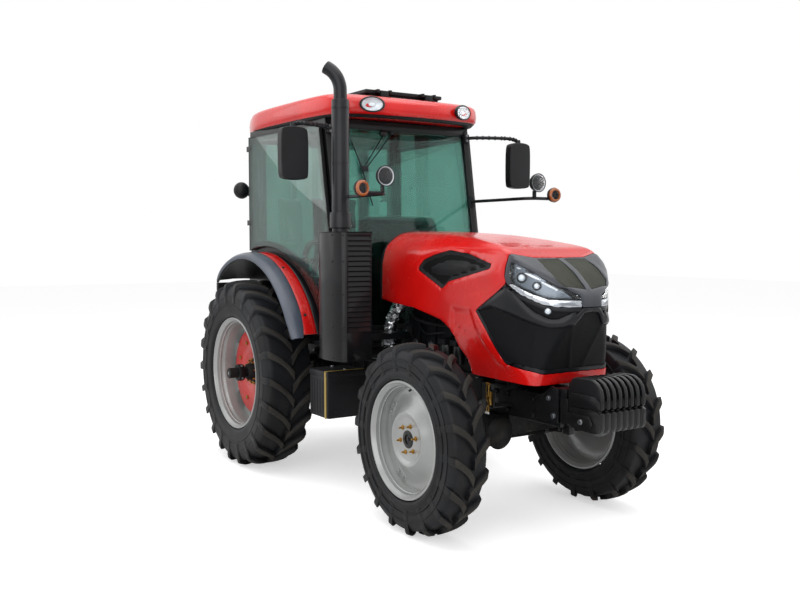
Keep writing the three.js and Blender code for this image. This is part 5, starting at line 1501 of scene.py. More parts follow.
@dataclass
class Cab:
    """The cab: its frame and seals, the roof, the doors, the glass and what hangs on the outside."""

    shop: Shop

    def build(self) -> None:
        """Makes every piece of the cab."""
        self._frame()
        self._roof()
        self._hatch()
        for name, sign in SIDES:
            self._door().side(sign).stand(self.shop, f"door_{name}_frame", f"door_{name}",
                                          [BLACK, SEAL, SATIN, STEEL], [f"door_frame_{name}"])
            pane = Build().prism(self._opening(0.0165), 0.665, 0.6735, "y", 0.0015, 0, slanted(), 1)
            pane.side(sign).stand(self.shop, f"door_{name}_pane", f"door_{name}", [GLASS], [f"door_glass_{name}"])
            self._handles().side(sign).stand(self.shop, f"cab_handles_{name}", "root",
                                             [SATIN, PLASTIC, RED_LENS, AMBER, GLOW])
            self._mirror().side(sign).stand(self.shop, f"wing_mirror_{name}", "root", [PLASTIC, MIRROR, SATIN, STEEL],
                                            [f"mirror_{name}"])
            self._lamps().side(sign).stand(self.shop, f"work_lamp_{name}", "root",
                                           [SATIN, BOWL, CLEAR, AMBER, PLASTIC, GLOW], [f"lamp_arm_{name}"])
        self._wipers()

    def _frame(self) -> None:
        """Makes the posts, rails, rear wall and corner panels."""
        build = Build()
        black, seal, plastic = range(3)
        place = slanted()

        arch = [(x, z) for x, z in arc_points((0, REAR_RISE), 0.862, 108.6, 18.3, 14)]
        outer = [(-0.275, 2.44), *arch, (PILLAR_KNEE[0], 0.94), PILLAR_KNEE, PILLAR_TOP]
        wide = [(x, z) for x, z in arc_points((0, REAR_RISE), 0.932, 103.3, 21.0, 14)]
        inner = [(-0.219, 2.375), *wide, (0.93, 1.005), (0.93, 1.497), (0.772, 2.375)]
        for sign in (1.0, -1.0):
            turn = place if sign > 0 else Matrix.Diagonal((1.0, -1.0, 1.0, 1.0)) @ place
            self._ring(build, outer, inner, 0.597, 0.64, 0.006, black, turn)
            lip = [(0.35 + (x - 0.35) * 0.985, 1.7 + (z - 1.7) * 0.99) for x, z in inner]
            self._ring(build, inner, lip, 0.628, 0.646, 0.006, seal, turn)
        # rear corners and wall
        for sign in (1.0, -1.0):
            turn = moved((-0.505, 0.48, 0)) @ Matrix.Rotation(math.atan2(0.16, 0.25), 4, "Z")
            turn = turn if sign > 0 else Matrix.Diagonal((1.0, -1.0, 1.0, 1.0)) @ turn
            w = math.hypot(0.25, 0.16)
            self._ring(build, [(0, 1.376), (w, 1.493), (w, 2.44), (0, 2.44)],
                       [(0.06, 1.458), (w - 0.06, 1.556), (w - 0.06, 2.377), (0.06, 2.377)], -0.044, 0, 0.006, black,
                       turn)
        rear = [(-0.48, 1.11), (0.48, 1.11), (0.48, 2.44), (-0.48, 2.44)]
        hole = [(-0.42, 1.33), (0.42, 1.33), (0.42, 2.375), (-0.42, 2.375)]
        turn = moved((-0.505, 0, 0)) @ Matrix.Rotation(math.pi / 2, 4, "Z")
        self._ring(build, rear, hole, 0, 0.044, 0.006, black, turn @ moved((0, -0.044, 0)))
        build.box((0.76, -0.572, 2.372), (0.816, 0.572, 2.44), 0.008, black)
        build.box((0.93, -0.553, 0.945), (0.986, 0.553, 1.02), 0.008, black)
        # dark surround at the foot of the windscreen
        build.box((0.958, -0.53, 1.02), (0.972, 0.53, 1.06), 0.003, plastic)
        build.stand(self.shop, "cab_shell", "root", [BLACK, SEAL, PLASTIC], ["cab_frame"])

    def _ring(self, build: Build, outer: Outline, inner: Outline, low: float, high: float, width: float, mark: int,
              place: Matrix) -> None:
        """Adds the band between two outlines in the side view.

        Args:
            build: Where it goes.
            outer: The outer outline, as (x, z) pairs.
            inner: The inner outline, with as many corners.
            low: Where it starts along y.
            high: Where it ends.
            width: How far its edges are rounded.
            mark: Its finish.
            place: Where it goes.
        """
        lines = [[(x, low, z) for x, z in line] for line in (outer, inner)]
        build.surround(lines[0], lines[1], (0, high - low, 0), mark, width, place)

    def _roof(self) -> None:
        """Makes the roof: a crowned red shell with a dark underside, front and rear lamps and the raised rim round the
        hatch.
        """
        build = Build()
        red, dark, chrome, glow, clear, satin = range(6)
        half = [(-0.62, 0), (-0.618, 0.24), (-0.6, 0.4), (-0.545, 0.51), (-0.4, 0.585), (-0.2, 0.64), (0, 0.654),
                (0.28, 0.65), (0.56, 0.64), (0.8, 0.615), (0.92, 0.575), (0.995, 0.505), (1.035, 0.4), (1.06, 0.22),
                (1.07, 0)]
        plan = [(float(x), float(y)) for x, y in smoothed(half, 4)]
        ring = plan + [(x, -y) for x, y in plan[-2:0:-1]]
        centre = np.array((0.3, 0))
        levels = [(2.4415, 0.955), (2.447, 0.985), (2.462, 1.0), (2.505, 1.004), (2.548, 0.998), (2.568, 0.985),
                  (2.58, 0.958), (2.588, 0.92), (2.592, 0.86), (2.598, 0.74), (2.603, 0.6)]
        verts = []
        for z, scale in levels:
            for x, y in ring:
                p = centre + (np.array((x, y)) - centre) * scale
                front = max(0, (p[0] - 0.75) / 0.32)
                rear = max(0, (-0.25 - p[0]) / 0.37)
                drop = (0.03 * front ** 2 + 0.05 * rear ** 1.6) * max(0, min(1.0, (z - 2.46) / 0.11))
                verts.append((p[0], p[1], z - drop))
        count = len(ring)
        faces = ring_faces(len(levels), count)
        loop = []
        for point in ring:
            d = np.array(point) - np.array((0.605, 0))
            t = min(0.241 / max(abs(d[0]), 1e-9), 0.276 / max(abs(d[1]), 1e-9))
            loop.append((0.605 + d[0] * t, d[1] * t))
        base = len(verts)
        for z in (2.605, 2.4415):
            verts.extend((x, y, z) for x, y in loop)
        top = (len(levels) - 1) * count
        for k in range(count):
            m = (k + 1) % count
            faces.append((top + k, top + m, base + m, base + k))
            faces.append((base + k, base + m, base + count + m, base + count + k))
            faces.append((base + count + k, base + count + m, m, k))
        build.shell(verts, faces, red)
        # dark valance under the eaves
        skirt, quads = [], []
        for z, scale in ((2.452, 0.99), (2.432, 0.965), (2.4325, 0.90), (2.443, 0.90)):
            skirt.extend((*(centre + (np.array(p) - centre) * scale), z) for p in ring)
        for i in range(4):
            for k in range(count):
                m = (k + 1) % count
                j = (i + 1) % 4
                quads.append((i * count + k, j * count + k, j * count + m, i * count + m))
        build.shell(skirt, quads, dark)
        for sign in (1.0, -1.0):
            self._roof_lamp(build, Vector((1.056, sign * 0.365, 2.506)), Vector((0.95, sign * 0.3, -0.05)), 0.078,
                            0.047, (satin, chrome, glow, clear))
            self._roof_lamp(build, Vector((-0.612, sign * 0.396, 2.494)), Vector((-0.9, sign * 0.42, -0.05)), 0.06,
                            0.036, (satin, chrome, glow, clear))
            build.box((0.874, sign * 0.18 - 0.03, 2.58), (0.914, sign * 0.18 + 0.03, 2.6255), 0.004, dark)
            build.rod(0.006, -0.06, 0.06, 14, "y", satin, moved((0.904, sign * 0.18, 2.624)))
        # raised rim round the hatch
        for low_x, high_x, low_y, high_y in ((0.350, 0.364, -0.29, 0.29), (0.846, 0.860, -0.29, 0.29),
                                             (0.350, 0.86, -0.29, -0.276), (0.350, 0.86, 0.276, 0.29)):
            build.box((low_x, low_y, 2.59), (high_x, high_y, 2.6095), 0.002, dark)
        build.stand(self.shop, "roof_shell", "root", [RED, PLASTIC, BOWL, GLOW, CLEAR, SATIN], ["roof"])

    def _roof_lamp(self, build: Build, at: Vector, way: Vector, wide: float, high: float,
                   marks: Sequence[int]) -> None:
        """Adds an oval lamp with its bezel, bowl, bulb and cover."""
        satin, chrome, glow, clear = marks
        out = way.normalized()
        turn = out.to_track_quat("Z", "Y").to_matrix().to_4x4()
        place = moved(at) @ turn @ Matrix.Diagonal((wide / 0.05, high / 0.05, 1.0, 1.0))
        build.turned([(0.044, -0.012), (0.053, -0.012), (0.055, 0.004), (0.05, 0.01), (0.045, 0.006)], 40, "z", satin,
                     place)
        build.turned([(0, -0.012), (0.02, -0.01), (0.038, -0.002), (0.046, 0.006), (0.044, 0.006), (0.036, -0.006),
                      (0, -0.016)], 40, "z", chrome, place)
        build.solid([(0, -0.008), (0.014, -0.008), (0.012, 0), (0, 0.003)], 20, "z", glow, place)
        build.turned([(0, 0.01), (0.03, 0.009), (0.046, 0.005), (0.046, 0.003), (0, 0.0075)], 40, "z", clear, place)

    def _hatch(self) -> None:
        """Makes the roof hatch with its lip and latch."""
        build = Build()
        low = 2.4403 + 0.135 + 0.028 + 0.006
        build.box((0.33, -0.31, low), (0.88, 0.31, low + 0.026), 0.008)
        build.box((0.365, -0.275, low + 0.024), (0.845, 0.275, low + 0.0285), 0.003)
        for y in (-0.18, 0.18):
            for eye in (y - 0.048, y + 0.048):
                build.box((0.872, eye - 0.01, low + 0.002), (0.914, eye + 0.01, low + 0.026), 0.003)
        build.stand(self.shop, "roof_hatch_lid", "roof_hatch", [PLASTIC], ["roof_hatch"])

    def _opening(self, grow: float) -> list:
        """Returns the door opening's outline in the side view.

        Args:
            grow: How far the outline is moved outwards.

        Returns:
            The outline as (x, z) pairs.
        """
        radius = 0.932 - grow
        rear = -0.219 - grow
        start = math.degrees(math.acos(rear / radius))
        foot = math.degrees(math.asin((1.005 - grow - REAR_RISE) / radius))
        front = 0.055 - grow
        points = [(rear, 2.375 + grow), *arc_points((0, REAR_RISE), radius, start, foot, 16)]
        for z, drop in ((1.005, grow), (1.5, 0.0), (1.9, 0.0), (2.375, -grow)):
            points.append((pillar_x(z) - front, z - drop))
        return points

    def _door(self) -> Build:
        """Returns the left door's frame with its seals, latch and hinges."""
        build = Build()
        black, seal, satin, steel = range(4)
        place = slanted()
        y0, y1 = 0.646, 0.674
        self._ring(build, self._opening(0.016), self._opening(-0.0255), y0, y1 - 0.01, 0.004, black, place)
        self._ring(build, self._opening(0.019), self._opening(0.01), y0 + 0.004, y1 - 0.002, 0.002, seal, place)
        for z in (1.760, 2.310):
            x, y = -0.263, 0.660
            build.turned([(0.0103, z - 0.019), (0.0138, z - 0.019), (0.0138, z + 0.019), (0.0103, z + 0.019)], 28,
                         "z", black, place @ moved((x, y, 0)))
            build.box((x + 0.01, y0 + 0.001, z - 0.019), (x + 0.06, y1, z + 0.019), 0.003, black, place)
        front = pillar_x(1.46)
        build.box((front - 0.15, y1 - 0.004, 1.395), (front - 0.055, y1 + 0.01, 1.445), 0.006, satin, place)
        build.pipe([(front - 0.145, y1 + 0.008, 1.435), (front - 0.135, y1 + 0.032, 1.437),
                    (front - 0.075, y1 + 0.032, 1.437), (front - 0.065, y1 + 0.008, 1.435)], 0.007, 12, satin, 4,
                   place)
        build.solid([(0, 0), (0.011, 0), (0.011, 0.012), (0, 0.013)], 20, "y", steel, place @
                    moved((front - 0.105, y1 + 0.008, 1.41)))
        return build

    def _handles(self) -> Build:
        """Returns the left rear lamp on its stalk and the tail lamp at the fender's rear edge, which stand clear of
        the door.
        """
        build = Build()
        satin, plastic, red, amber, glow = range(5)
        # rear lamp on its stalk
        build.pipe([(-0.34, 0.555, 1.95), (-0.37, 0.6, 1.97), (-0.385, 0.64, 2.0)], 0.01, 12, satin)
        for profile, mark in (([(0, -0.05), (0.03, -0.046), (0.055, -0.025), (0.064, 0), (0.062, 0.01), (0, 0.01)],
                               plastic), ([(0, 0.008), (0.056, 0.008), (0.05, 0.014), (0, 0.016)], glow)):
            build.solid(profile, 32, "x", mark, moved((-0.4, 0.66, 2.01)) @ Matrix.Rotation(math.pi, 4, "Z"))
        # tail lamp at the rear edge of the fender
        build.box((-0.59, 0.62, 1.235), (-0.555, 0.8, 1.3), 0.006, plastic)
        build.box((-0.596, 0.63, 1.243), (-0.586, 0.72, 1.292), 0.003, red)
        build.box((-0.596, 0.722, 1.243), (-0.586, 0.792, 1.292), 0.003, amber)
        return build

    def _mirror(self) -> Build:
        """Returns the left mirror: head, glass, ribbed arm and foot."""
        build = Build()
        plastic, glass, satin, steel = range(4)
        outline = [(0.815, 2.035), (0.835, 2.01), (0.9, 2.003), (0.97, 2.01), (0.994, 2.035), (0.999, 2.15),
                   (0.996, 2.29), (0.976, 2.325), (0.905, 2.334), (0.838, 2.325), (0.815, 2.29), (0.811, 2.15)]
        shape = [(float(a), float(b)) for a, b in smoothed(outline, 3, True)]
        build.prism(shape, 0.968, 1.03, "x", 0.02, plastic, segments=5)
        small = [(0.905 + (y - 0.905) * 0.9, 2.168 + (z - 2.168) * 0.93) for y, z in shape]
        build.prism(small, 0.963, 0.97, "x", 0.0015, glass)
        way = [(0.835, 0.565, 2.362), (0.875, 0.605, 2.365), (0.93, 0.72, 2.366), (0.985, 0.84, 2.362),
               (0.998, 0.898, 2.345), (1.0, 0.905, 2.31)]
        build.pipe(way, 0.012, 14, satin)
        for share in np.linspace(0.25, 0.75, 9):
            path = smoothed(way, 6)
            i = int(share * (len(path) - 1))
            step = facing(path[i + 1] - path[i])
            build.turned([(0.01, -0.004), (0.0155, -0.004), (0.0155, 0.004), (0.01, 0.004)], 18, "z", plastic,
                         moved(path[i]) @ step)
        build.solid([(0, -0.03), (0.016, -0.03), (0.02, 0), (0.016, 0.03), (0, 0.03)], 20, "z", satin,
                    moved((1.0, 0.905, 2.325)))
        self._foot(build, 2.362, 0.03, satin, steel)
        return build

    def _foot(self, build: Build, z: float, half: float, mark: int, bolts: int) -> None:
        """Adds the plate that holds an arm to the front of a door post."""
        low, high = z - half, z + half
        outline = [(pillar_x(low) + 0.0005, low), (pillar_x(low) + 0.018, low), (pillar_x(high) + 0.018, high),
                   (pillar_x(high) + 0.0005, high)]
        build.prism(outline, 0.597, 0.636, "y", 0.003, mark, slanted())
        for off in (-0.6, 0.6):
            at = slanted() @ Vector((pillar_x(z + off * half) + 0.018, 0.616, z + off * half))
            build.bolt(at, (1.0, 0, 0.18), 0.014, bolts)

    def _lamps(self) -> Build:
        """Returns the left work lamp, indicator and their arm."""
        build = Build()
        satin, chrome, clear, amber, plastic, glow = range(6)
        x = pillar_x(1.905)
        y = 0.551
        way = [(x + 0.01, y, 1.905), (x + 0.2, y, 1.905), (1.45, y, 1.905), (1.505, y + 0.006, 1.905),
               (1.54, y + 0.035, 1.905), (1.55, y + 0.08, 1.905), (1.55, 0.72, 1.905)]
        build.pipe(way, 0.011, 14, satin)
        self._foot(build, 1.905, 0.04, satin, satin)
        place = moved((1.585, 0.59, 2.005))
        build.solid([(0, -0.055), (0.022, -0.053), (0.045, -0.04), (0.058, -0.018), (0.0615, 0), (0.062, 0.006),
                     (0.0575, 0.008), (0.056, 0), (0, 0)], 40, "x", plastic, place)
        build.turned([(0, -0.026), (0.02, -0.024), (0.04, -0.012), (0.056, 0.004), (0.053, 0.004), (0.038, -0.016),
                      (0, -0.03)], 40, "x", chrome, place)
        build.solid([(0, -0.022), (0.017, -0.022), (0.014, -0.006), (0, -0.003)], 24, "x", glow, place)
        build.turned([(0, 0.0105), (0.03, 0.009), (0.057, 0.004), (0.057, 0.002), (0, 0.008)], 40, "x", clear, place)
        build.box((1.535, 0.582, 1.905), (1.56, 0.598, 1.955), 0.003, satin)
        build.pipe([(1.55, 0.59, 1.945), (1.556, 0.59, 1.97), (1.575, 0.59, 1.995)], 0.008, 12, satin)
        box = moved((1.565, 0.745, 1.93)) @ Matrix.Rotation(-0.1, 4, "Z")
        build.solid([(0, -0.032), (0.03, -0.03), (0.046, -0.014), (0.05, 0.004), (0.047, 0.01), (0, 0.01)], 36, "x",
                    plastic, box)
        build.turned([(0.03, 0.008), (0.047, 0.008), (0.046, 0.018), (0.038, 0.024), (0.03, 0.022)], 36, "x", amber,
                     box)
        build.solid([(0, 0.006), (0.031, 0.006), (0.031, 0.02), (0.015, 0.026), (0, 0.027)], 36, "x", clear, box)
        return build

    def _wipers(self) -> None:
        """Makes the windscreen's wiper with its two parallel arms."""
        build = Build()
        satin = 0

        def on_glass(y: float, z: float, off: float) -> tuple[float, float, float]:
            """Returns a place a little off the windscreen."""
            return pillar_x(z) - 0.0275 + 0.008 + off, y, z

        build.solid([(0, -0.01), (0.024, -0.01), (0.024, 0.016), (0.016, 0.022), (0, 0.022)], 24, "x", satin,
                    moved(on_glass(-0.14, 2.355, 0.012)))
        build.solid([(0, -0.01), (0.014, -0.01), (0.014, 0.016), (0, 0.018)], 24, "x", satin,
                    moved(on_glass(-0.075, 2.362, 0.012)))
        for a, b in (((-0.14, 2.355), (-0.335, 2.10)), ((-0.075, 2.362), (-0.300, 2.115))):
            build.pipe([on_glass(*a, 0.026), on_glass((a[0] + b[0]) / 2, (a[1] + b[1]) / 2, 0.03),
                        on_glass(*b, 0.024)], 0.006, 8, satin, 3, squash=0.5)
        build.box(on_glass(-0.345, 2.09, 0.018), on_glass(-0.29, 2.125, 0.03), 0.003, satin)
        blade = [on_glass(-0.4, 2.3, 0.012), on_glass(-0.335, 2.11, 0.014), on_glass(-0.275, 1.86, 0.012)]
        build.pipe(blade, 0.008, 8, satin, 4, squash=0.6)
        build.stand(self.shop, "windscreen_wiper", "root", [SATIN])
# ---------------------------------------------------------------- chassis and what hangs on it

@dataclass
class Chassis:
    """Everything under the hood and the cab: engine, frame, axles, tanks, exhaust, weights and hitch."""

    shop: Shop

    def build(self) -> None:
        """Makes every piece of the chassis."""
        self._weights()
        self._front_frame()
        self._engine()
        self._exhaust()
        self._battery()
        self._tank()
        self._front_axle()
        self._housing()
        self._hitch()

    def _weights(self) -> None:
        """Makes the suitcase weights, each with a notch in its front and its wide foot, and their carrier bolt with
        its side plates.
        """
        build = Build()
        black, steel = range(2)
        outline = [(2.69, 0.69), (2.712, 0.662), (2.76, 0.654), (2.89, 0.65), (2.918, 0.656), (2.93, 0.68),
                   (2.93, 0.757), (2.914, 0.767), (2.93, 0.778), (2.93, 0.842), (2.92, 0.876), (2.895, 0.905),
                   (2.862, 0.922), (2.84, 0.925), (2.75, 0.923), (2.72, 0.914), (2.692, 0.88)]
        for i in range(8):
            y = -0.168 + 0.042 * i
            build.prism(outline, y + 0.01, y + 0.032, "y", 0.005, black, segments=3)
            # the wide foot of each slab, in two steps
            build.prism([(2.712, 0.664), (2.76, 0.655), (2.888, 0.651), (2.916, 0.657), (2.927, 0.68), (2.927, 0.755),
                         (2.9, 0.768), (2.712, 0.768)], y + 0.0008, y + 0.0412, "y", 0.002, black)
            build.prism([(2.712, 0.772), (2.905, 0.772), (2.924, 0.782), (2.924, 0.815), (2.89, 0.838),
                         (2.712, 0.838)], y + 0.003, y + 0.039, "y", 0.003, black)
        build.rod(0.011, -0.186, 0.186, 20, "y", steel, moved((2.8, 0, 0.7)))
        for sign in (1.0, -1.0):
            build.bolt((2.8, sign * 0.168, 0.7), (0, sign, 0), 0.032, steel)
            build.prism([(2.672, 0.672), (2.86, 0.672), (2.885, 0.7), (2.86, 0.735), (2.7, 0.735), (2.672, 0.71)],
                        sign * 0.1735, sign * 0.1685, "y", 0.002, black)
        build.stand(self.shop, "suitcase_weights", "root", [BLACK, STEEL], ["front_weights"])

    def _front_frame(self) -> None:
        """Makes the front frame with the box behind the weights, hooks and bolts."""
        build = Build()
        black, steel, gold, cast = range(4)
        for sign in (1.0, -1.0):
            build.prism([(1.9605, 0.64), (2.64, 0.64), (2.64, 0.8), (2.3, 0.8), (1.9605, 0.8)], sign * 0.16,
                        sign * 0.128, "y", 0.006, black, segments=3)
            for x in (2.02, 2.10, 2.20, 2.42, 2.52):
                build.bolt((x, sign * 0.16, 0.765), (0, sign, 0), 0.03, black)
                build.bolt((x, sign * 0.16, 0.675), (0, sign, 0), 0.03, black)
            build.prism([(2.46, 0.665), (2.63, 0.665), (2.63, 0.845), (2.58, 0.855), (2.5, 0.8), (2.46, 0.76)],
                        sign * 0.176, sign * 0.162, "y", 0.003, black)
            build.bolt((2.56, sign * 0.176, 0.79), (0, sign, 0), 0.026, steel)
            build.bolt((2.6, sign * 0.176, 0.7), (0, sign, 0), 0.026, steel)
            # towing eye plate
            build.box((2.61, sign * 0.1 - 0.02, 0.6), (2.66, sign * 0.1 + 0.02, 0.655), 0.006, black)
        build.box((1.9605, -0.13, 0.64), (2.02, 0.13, 0.8), 0.006, cast)
        build.box((2.02, -0.13, 0.64), (2.6, 0.13, 0.665), 0.004, black)
        build.box((2.6, -0.16, 0.66), (2.6895, 0.16, 0.8), 0.006, black)
        build.box((2.585, -0.155, 0.795), (2.675, 0.155, 0.848), 0.006, black)
        # hood latch on each side: a bracket from the frame, a clasp and its ring
        x = 2.232
        for sign in (1.0, -1.0):
            build.box((x - 0.025, min(sign * 0.158, sign * 0.3), 0.7), (x + 0.025, max(sign * 0.158, sign * 0.3),
                                                                        0.712), 0.003, black)
            build.box((x - 0.025, sign * 0.302 - 0.005, 0.7), (x + 0.025, sign * 0.302 + 0.005, 0.8), 0.003, black)
            build.box((x - 0.012, sign * 0.313 - 0.008, 0.715), (x + 0.012, sign * 0.313 + 0.008, 0.792), 0.004, gold)
            for off in (-0.012, 0.012):
                build.pipe([(x + off, sign * 0.322, 0.735), (x + off * 0.9, sign * 0.33, 0.79),
                            (x + off * 0.6, sign * 0.326, 0.835)], 0.0035, 8, gold, 5)
            build.rod(0.0055, -0.016, 0.016, 12, "x", gold, moved((x, sign * 0.326, 0.836)))
            build.rod(0.007, -0.018, 0.018, 12, "x", gold, moved((x, sign * 0.324, 0.762)))
            build.pipe([(x - 0.006, sign * 0.325, 0.715), (x - 0.009, sign * 0.329, 0.69), (x, sign * 0.331, 0.676),
                        (x + 0.009, sign * 0.329, 0.69), (x + 0.006, sign * 0.325, 0.715)], 0.003, 8, gold, 5)
            build.box((x - 0.016, sign * 0.333 - 0.002, 0.668), (x + 0.018, sign * 0.333 + 0.002, 0.68), 0.001, 4)
        build.stand(self.shop, "front_chassis", "root", [BLACK, STEEL, GOLD, CAST, WHITE_TAG], ["front_frame"])

    def _engine(self) -> None:
        """Makes the engine: block, head, sump, manifolds, filters, pulleys, hoses and harness."""
        build = Build()
        cast, black, steel, foil, rubber, tag, gold = range(7)
        build.box((1.152, -0.15, 0.83), (1.958, 0.15, 1.17), 0.012, cast)
        build.box((1.18, -0.13, 1.17), (1.93, 0.13, 1.27), 0.01, cast)
        build.box((1.2, -0.105, 1.27), (1.91, 0.105, 1.4), 0.03, black)
        build.prism([(1.152, 0.7), (1.25, 0.642), (1.85, 0.642), (1.958, 0.7), (1.958, 0.83), (1.152, 0.83)], -0.155,
                    0.155, "y", 0.014, cast, segments=3)
        build.box((1.152, -0.172, 0.822), (1.958, 0.172, 0.838), 0.003, cast)
        for x in np.linspace(1.19, 1.92, 10):
            for sign in (1.0, -1.0):
                build.bolt((float(x), sign * 0.163, 0.822), (0, 0, -1), 0.016, steel)
        # bell housing
        build.solid([(0, 0), (0.222, 0), (0.224, 0.012), (0.222, 0.03), (0.2, 0.05), (0.185, 0.1), (0, 0.1)], 48, "x",
                    cast, moved((1.152, 0, 0.93)))
        for y, up in around(12, 0.208):
            build.bolt((1.182, y, 0.93 + up), (1, 0, 0), 0.02, steel)
        for sign in (1.0, -1.0):
            for i in range(4):
                x = 1.27 + 0.175 * i
                build.prism([(x - 0.035, 0.9), (x + 0.035, 0.9), (x + 0.05, 1.13), (x - 0.05, 1.13)], sign * 0.168,
                            sign * 0.148, "y", 0.006, cast)
                build.solid([(0, 0), (0.024, 0), (0.022, 0.006), (0, 0.007)], 20, "y", steel,
                            moved((x, sign * 0.168, 0.97)) @ Matrix.Rotation(0 if sign > 0 else math.pi, 4, "X"))
        # right side: exhaust manifold, turbocharger and wrapped pipe
        for i in range(4):
            x = 1.27 + 0.175 * i
            build.pipe([(x, -0.125, 1.215), (x, -0.165, 1.22), (x - 0.02, -0.19, 1.235)], 0.026, 12, cast)
        build.pipe([(1.22, -0.192, 1.235), (1.45, -0.195, 1.238), (1.82, -0.192, 1.235)], 0.034, 16, cast)
        place = moved((1.55, -0.215, 1.325))
        build.solid([(0, -0.09), (0.03, -0.09), (0.034, -0.05), (0.06, -0.045), (0.068, -0.02), (0.06, 0.005),
                     (0.032, 0.012), (0.032, 0.03), (0.058, 0.036), (0.064, 0.058), (0.056, 0.08), (0.03, 0.085),
                     (0.028, 0.1), (0, 0.1)], 36, "x", cast, place)
        build.pipe([(1.45, -0.215, 1.325), (1.38, -0.225, 1.32), (1.29, -0.252, 1.27), (1.22, -0.275, 1.19)], 0.034,
                   20, cast, 7)
        self._crumpled(build, [(1.26, -0.262, 1.24), (1.205, -0.282, 1.165), (1.172, -0.296, 1.08),
                               (1.158, -0.304, 0.99), (1.158, -0.312, 0.935)], 0.041, foil)
        build.pipe([(1.16, -0.308, 0.96), (1.162, -0.33, 0.915), (1.175, -0.4, 0.905), (1.19, -0.52, 0.915)], 0.034,
                   20, cast, 7)
        # right side: oil filter, starter, hoses
        for x, z, r, h in ((1.70, 0.90, 0.042, 0.13), (1.82, 0.90, 0.036, 0.11)):
            build.solid([(0, -h), (r * 0.9, -h), (r, -h + 0.008), (r, -0.01), (r * 0.92, 0), (0, 0)], 32, "z", black,
                        moved((x, -0.225, z + 0.1)))
            build.box((x - 0.035, -0.27, z + 0.1), (x + 0.035, -0.15, z + 0.135), 0.006, cast)
        build.solid([(0, -0.1), (0.042, -0.1), (0.045, -0.09), (0.045, 0.07), (0.03, 0.08), (0.03, 0.12), (0, 0.12)],
                    28, "x", black, moved((1.33, -0.215, 0.88)))
        build.rod(0.026, -0.06, 0.06, 22, "x", steel, moved((1.32, -0.215, 0.945)))
        # left side: intake, injection pump, fuel filters, alternator
        build.box((1.24, 0.13, 1.19), (1.86, 0.205, 1.27), 0.02, cast)
        build.pipe([(1.55, 0.17, 1.27), (1.57, 0.19, 1.34), (1.66, 0.16, 1.4), (1.8, 0.1, 1.43)], 0.032, 18, rubber)
        build.box((1.46, 0.15, 0.93), (1.72, 0.235, 1.06), 0.02, cast)
        for i in range(4):
            x = 1.49 + 0.06 * i
            build.solid([(0, 0), (0.014, 0), (0.012, 0.03), (0, 0.032)], 14, "z", steel, moved((x, 0.19, 1.06)))
            build.pipe([(x, 0.19, 1.09), (x + 0.01, 0.185, 1.14), (1.27 + 0.175 * i, 0.15, 1.2),
                        (1.27 + 0.175 * i, 0.11, 1.3)], 0.0045, 8, steel)
        for x in (1.25, 1.34):
            build.solid([(0, -0.14), (0.036, -0.14), (0.04, -0.13), (0.04, -0.01), (0.034, 0), (0, 0)], 28, "z", tag,
                        moved((x, 0.215, 1.09)))
        build.box((1.2, 0.15, 1.09), (1.39, 0.26, 1.12), 0.006, cast)
        build.solid([(0, -0.07), (0.05, -0.07), (0.06, -0.055), (0.062, 0.05), (0.05, 0.065), (0, 0.065)], 36, "x",
                    steel, moved((1.85, 0.205, 1.12)))
        # front: pulleys, belt and fan
        for y, z, r in ((0.0, 0.88, 0.085), (0.0, 1.14, 0.06), (0.195, 1.12, 0.036)):
            build.solid([(0, 0), (r, 0), (r + 0.004, 0.004), (r - 0.004, 0.01), (r - 0.004, 0.016),
                         (r + 0.004, 0.022), (r, 0.026), (0, 0.026)], 40, "x", black, moved((1.962, y, z)))
        belt = [(0, 0.795), (-0.082, 0.88), (-0.056, 1.15), (0, 1.2), (0.19, 1.157), (0.232, 1.12), (0.075, 0.84)]
        build.pipe([(1.975, y, z) for y, z in [*belt, belt[0]]], 0.006, 8, rubber, 5)
        for i in range(7):
            turn = moved((2.05, 0, 1.12)) @ Matrix.Rotation(2 * math.pi * i / 7, 4, "X")
            turn = turn @ Matrix.Rotation(0.5, 4, "Z")
            build.box((-0.003, 0.045, -0.032), (0.003, 0.215, 0.032), 0.002, black, turn)
        build.solid([(0, -0.06), (0.05, -0.06), (0.055, -0.02), (0.05, 0.02), (0, 0.03)], 28, "x", black,
                    moved((2.05, 0, 1.12)))
        # harness and hoses along both sides
        build.pipe([(1.2, -0.16, 1.16), (1.36, -0.2, 1.12), (1.55, -0.17, 1.1), (1.74, -0.2, 1.12),
                    (1.92, -0.15, 1.17)], 0.011, 10, rubber)
        build.pipe([(1.3, -0.15, 1.08), (1.44, -0.195, 1.04), (1.62, -0.16, 1.06), (1.78, -0.185, 1.03),
                    (1.93, -0.16, 1.0)], 0.008, 10, rubber)
        build.pipe([(1.9, -0.1, 1.36), (2.0, -0.13, 1.38), (2.1, -0.15, 1.37), (2.19, -0.15, 1.34)], 0.026, 16,
                   rubber)
        build.pipe([(1.93, 0.1, 0.92), (2.02, 0.15, 0.9), (2.12, 0.16, 0.88), (2.19, 0.16, 0.87)], 0.026, 16, rubber)
        build.box((1.6, -0.17, 1.278), (1.66, -0.14, 1.4), 0.004, gold)
        build.stand(self.shop, "engine_dressed", "root", [CAST, BLACK, STEEL, FOIL, SEAL, WHITE_TAG, GOLD],
                    ["engine_block"])

        core = Build()
        core.box((2.172, -0.233, 0.803), (2.288, 0.233, 0.84), 0.006, 0)
        core.box((2.172, -0.233, 1.362), (2.288, 0.233, 1.399), 0.01, 0)
        core.box((2.18, -0.205, 0.84), (2.28, 0.205, 1.362), 0.002, 1)
        for sign in (1.0, -1.0):
            core.box((2.172, sign * 0.219 - 0.014, 0.82), (2.288, sign * 0.219 + 0.014, 1.38), 0.006, 0)
        core.stand(self.shop, "radiator_core", "root", [BLACK, GRILLE], ["radiator"])

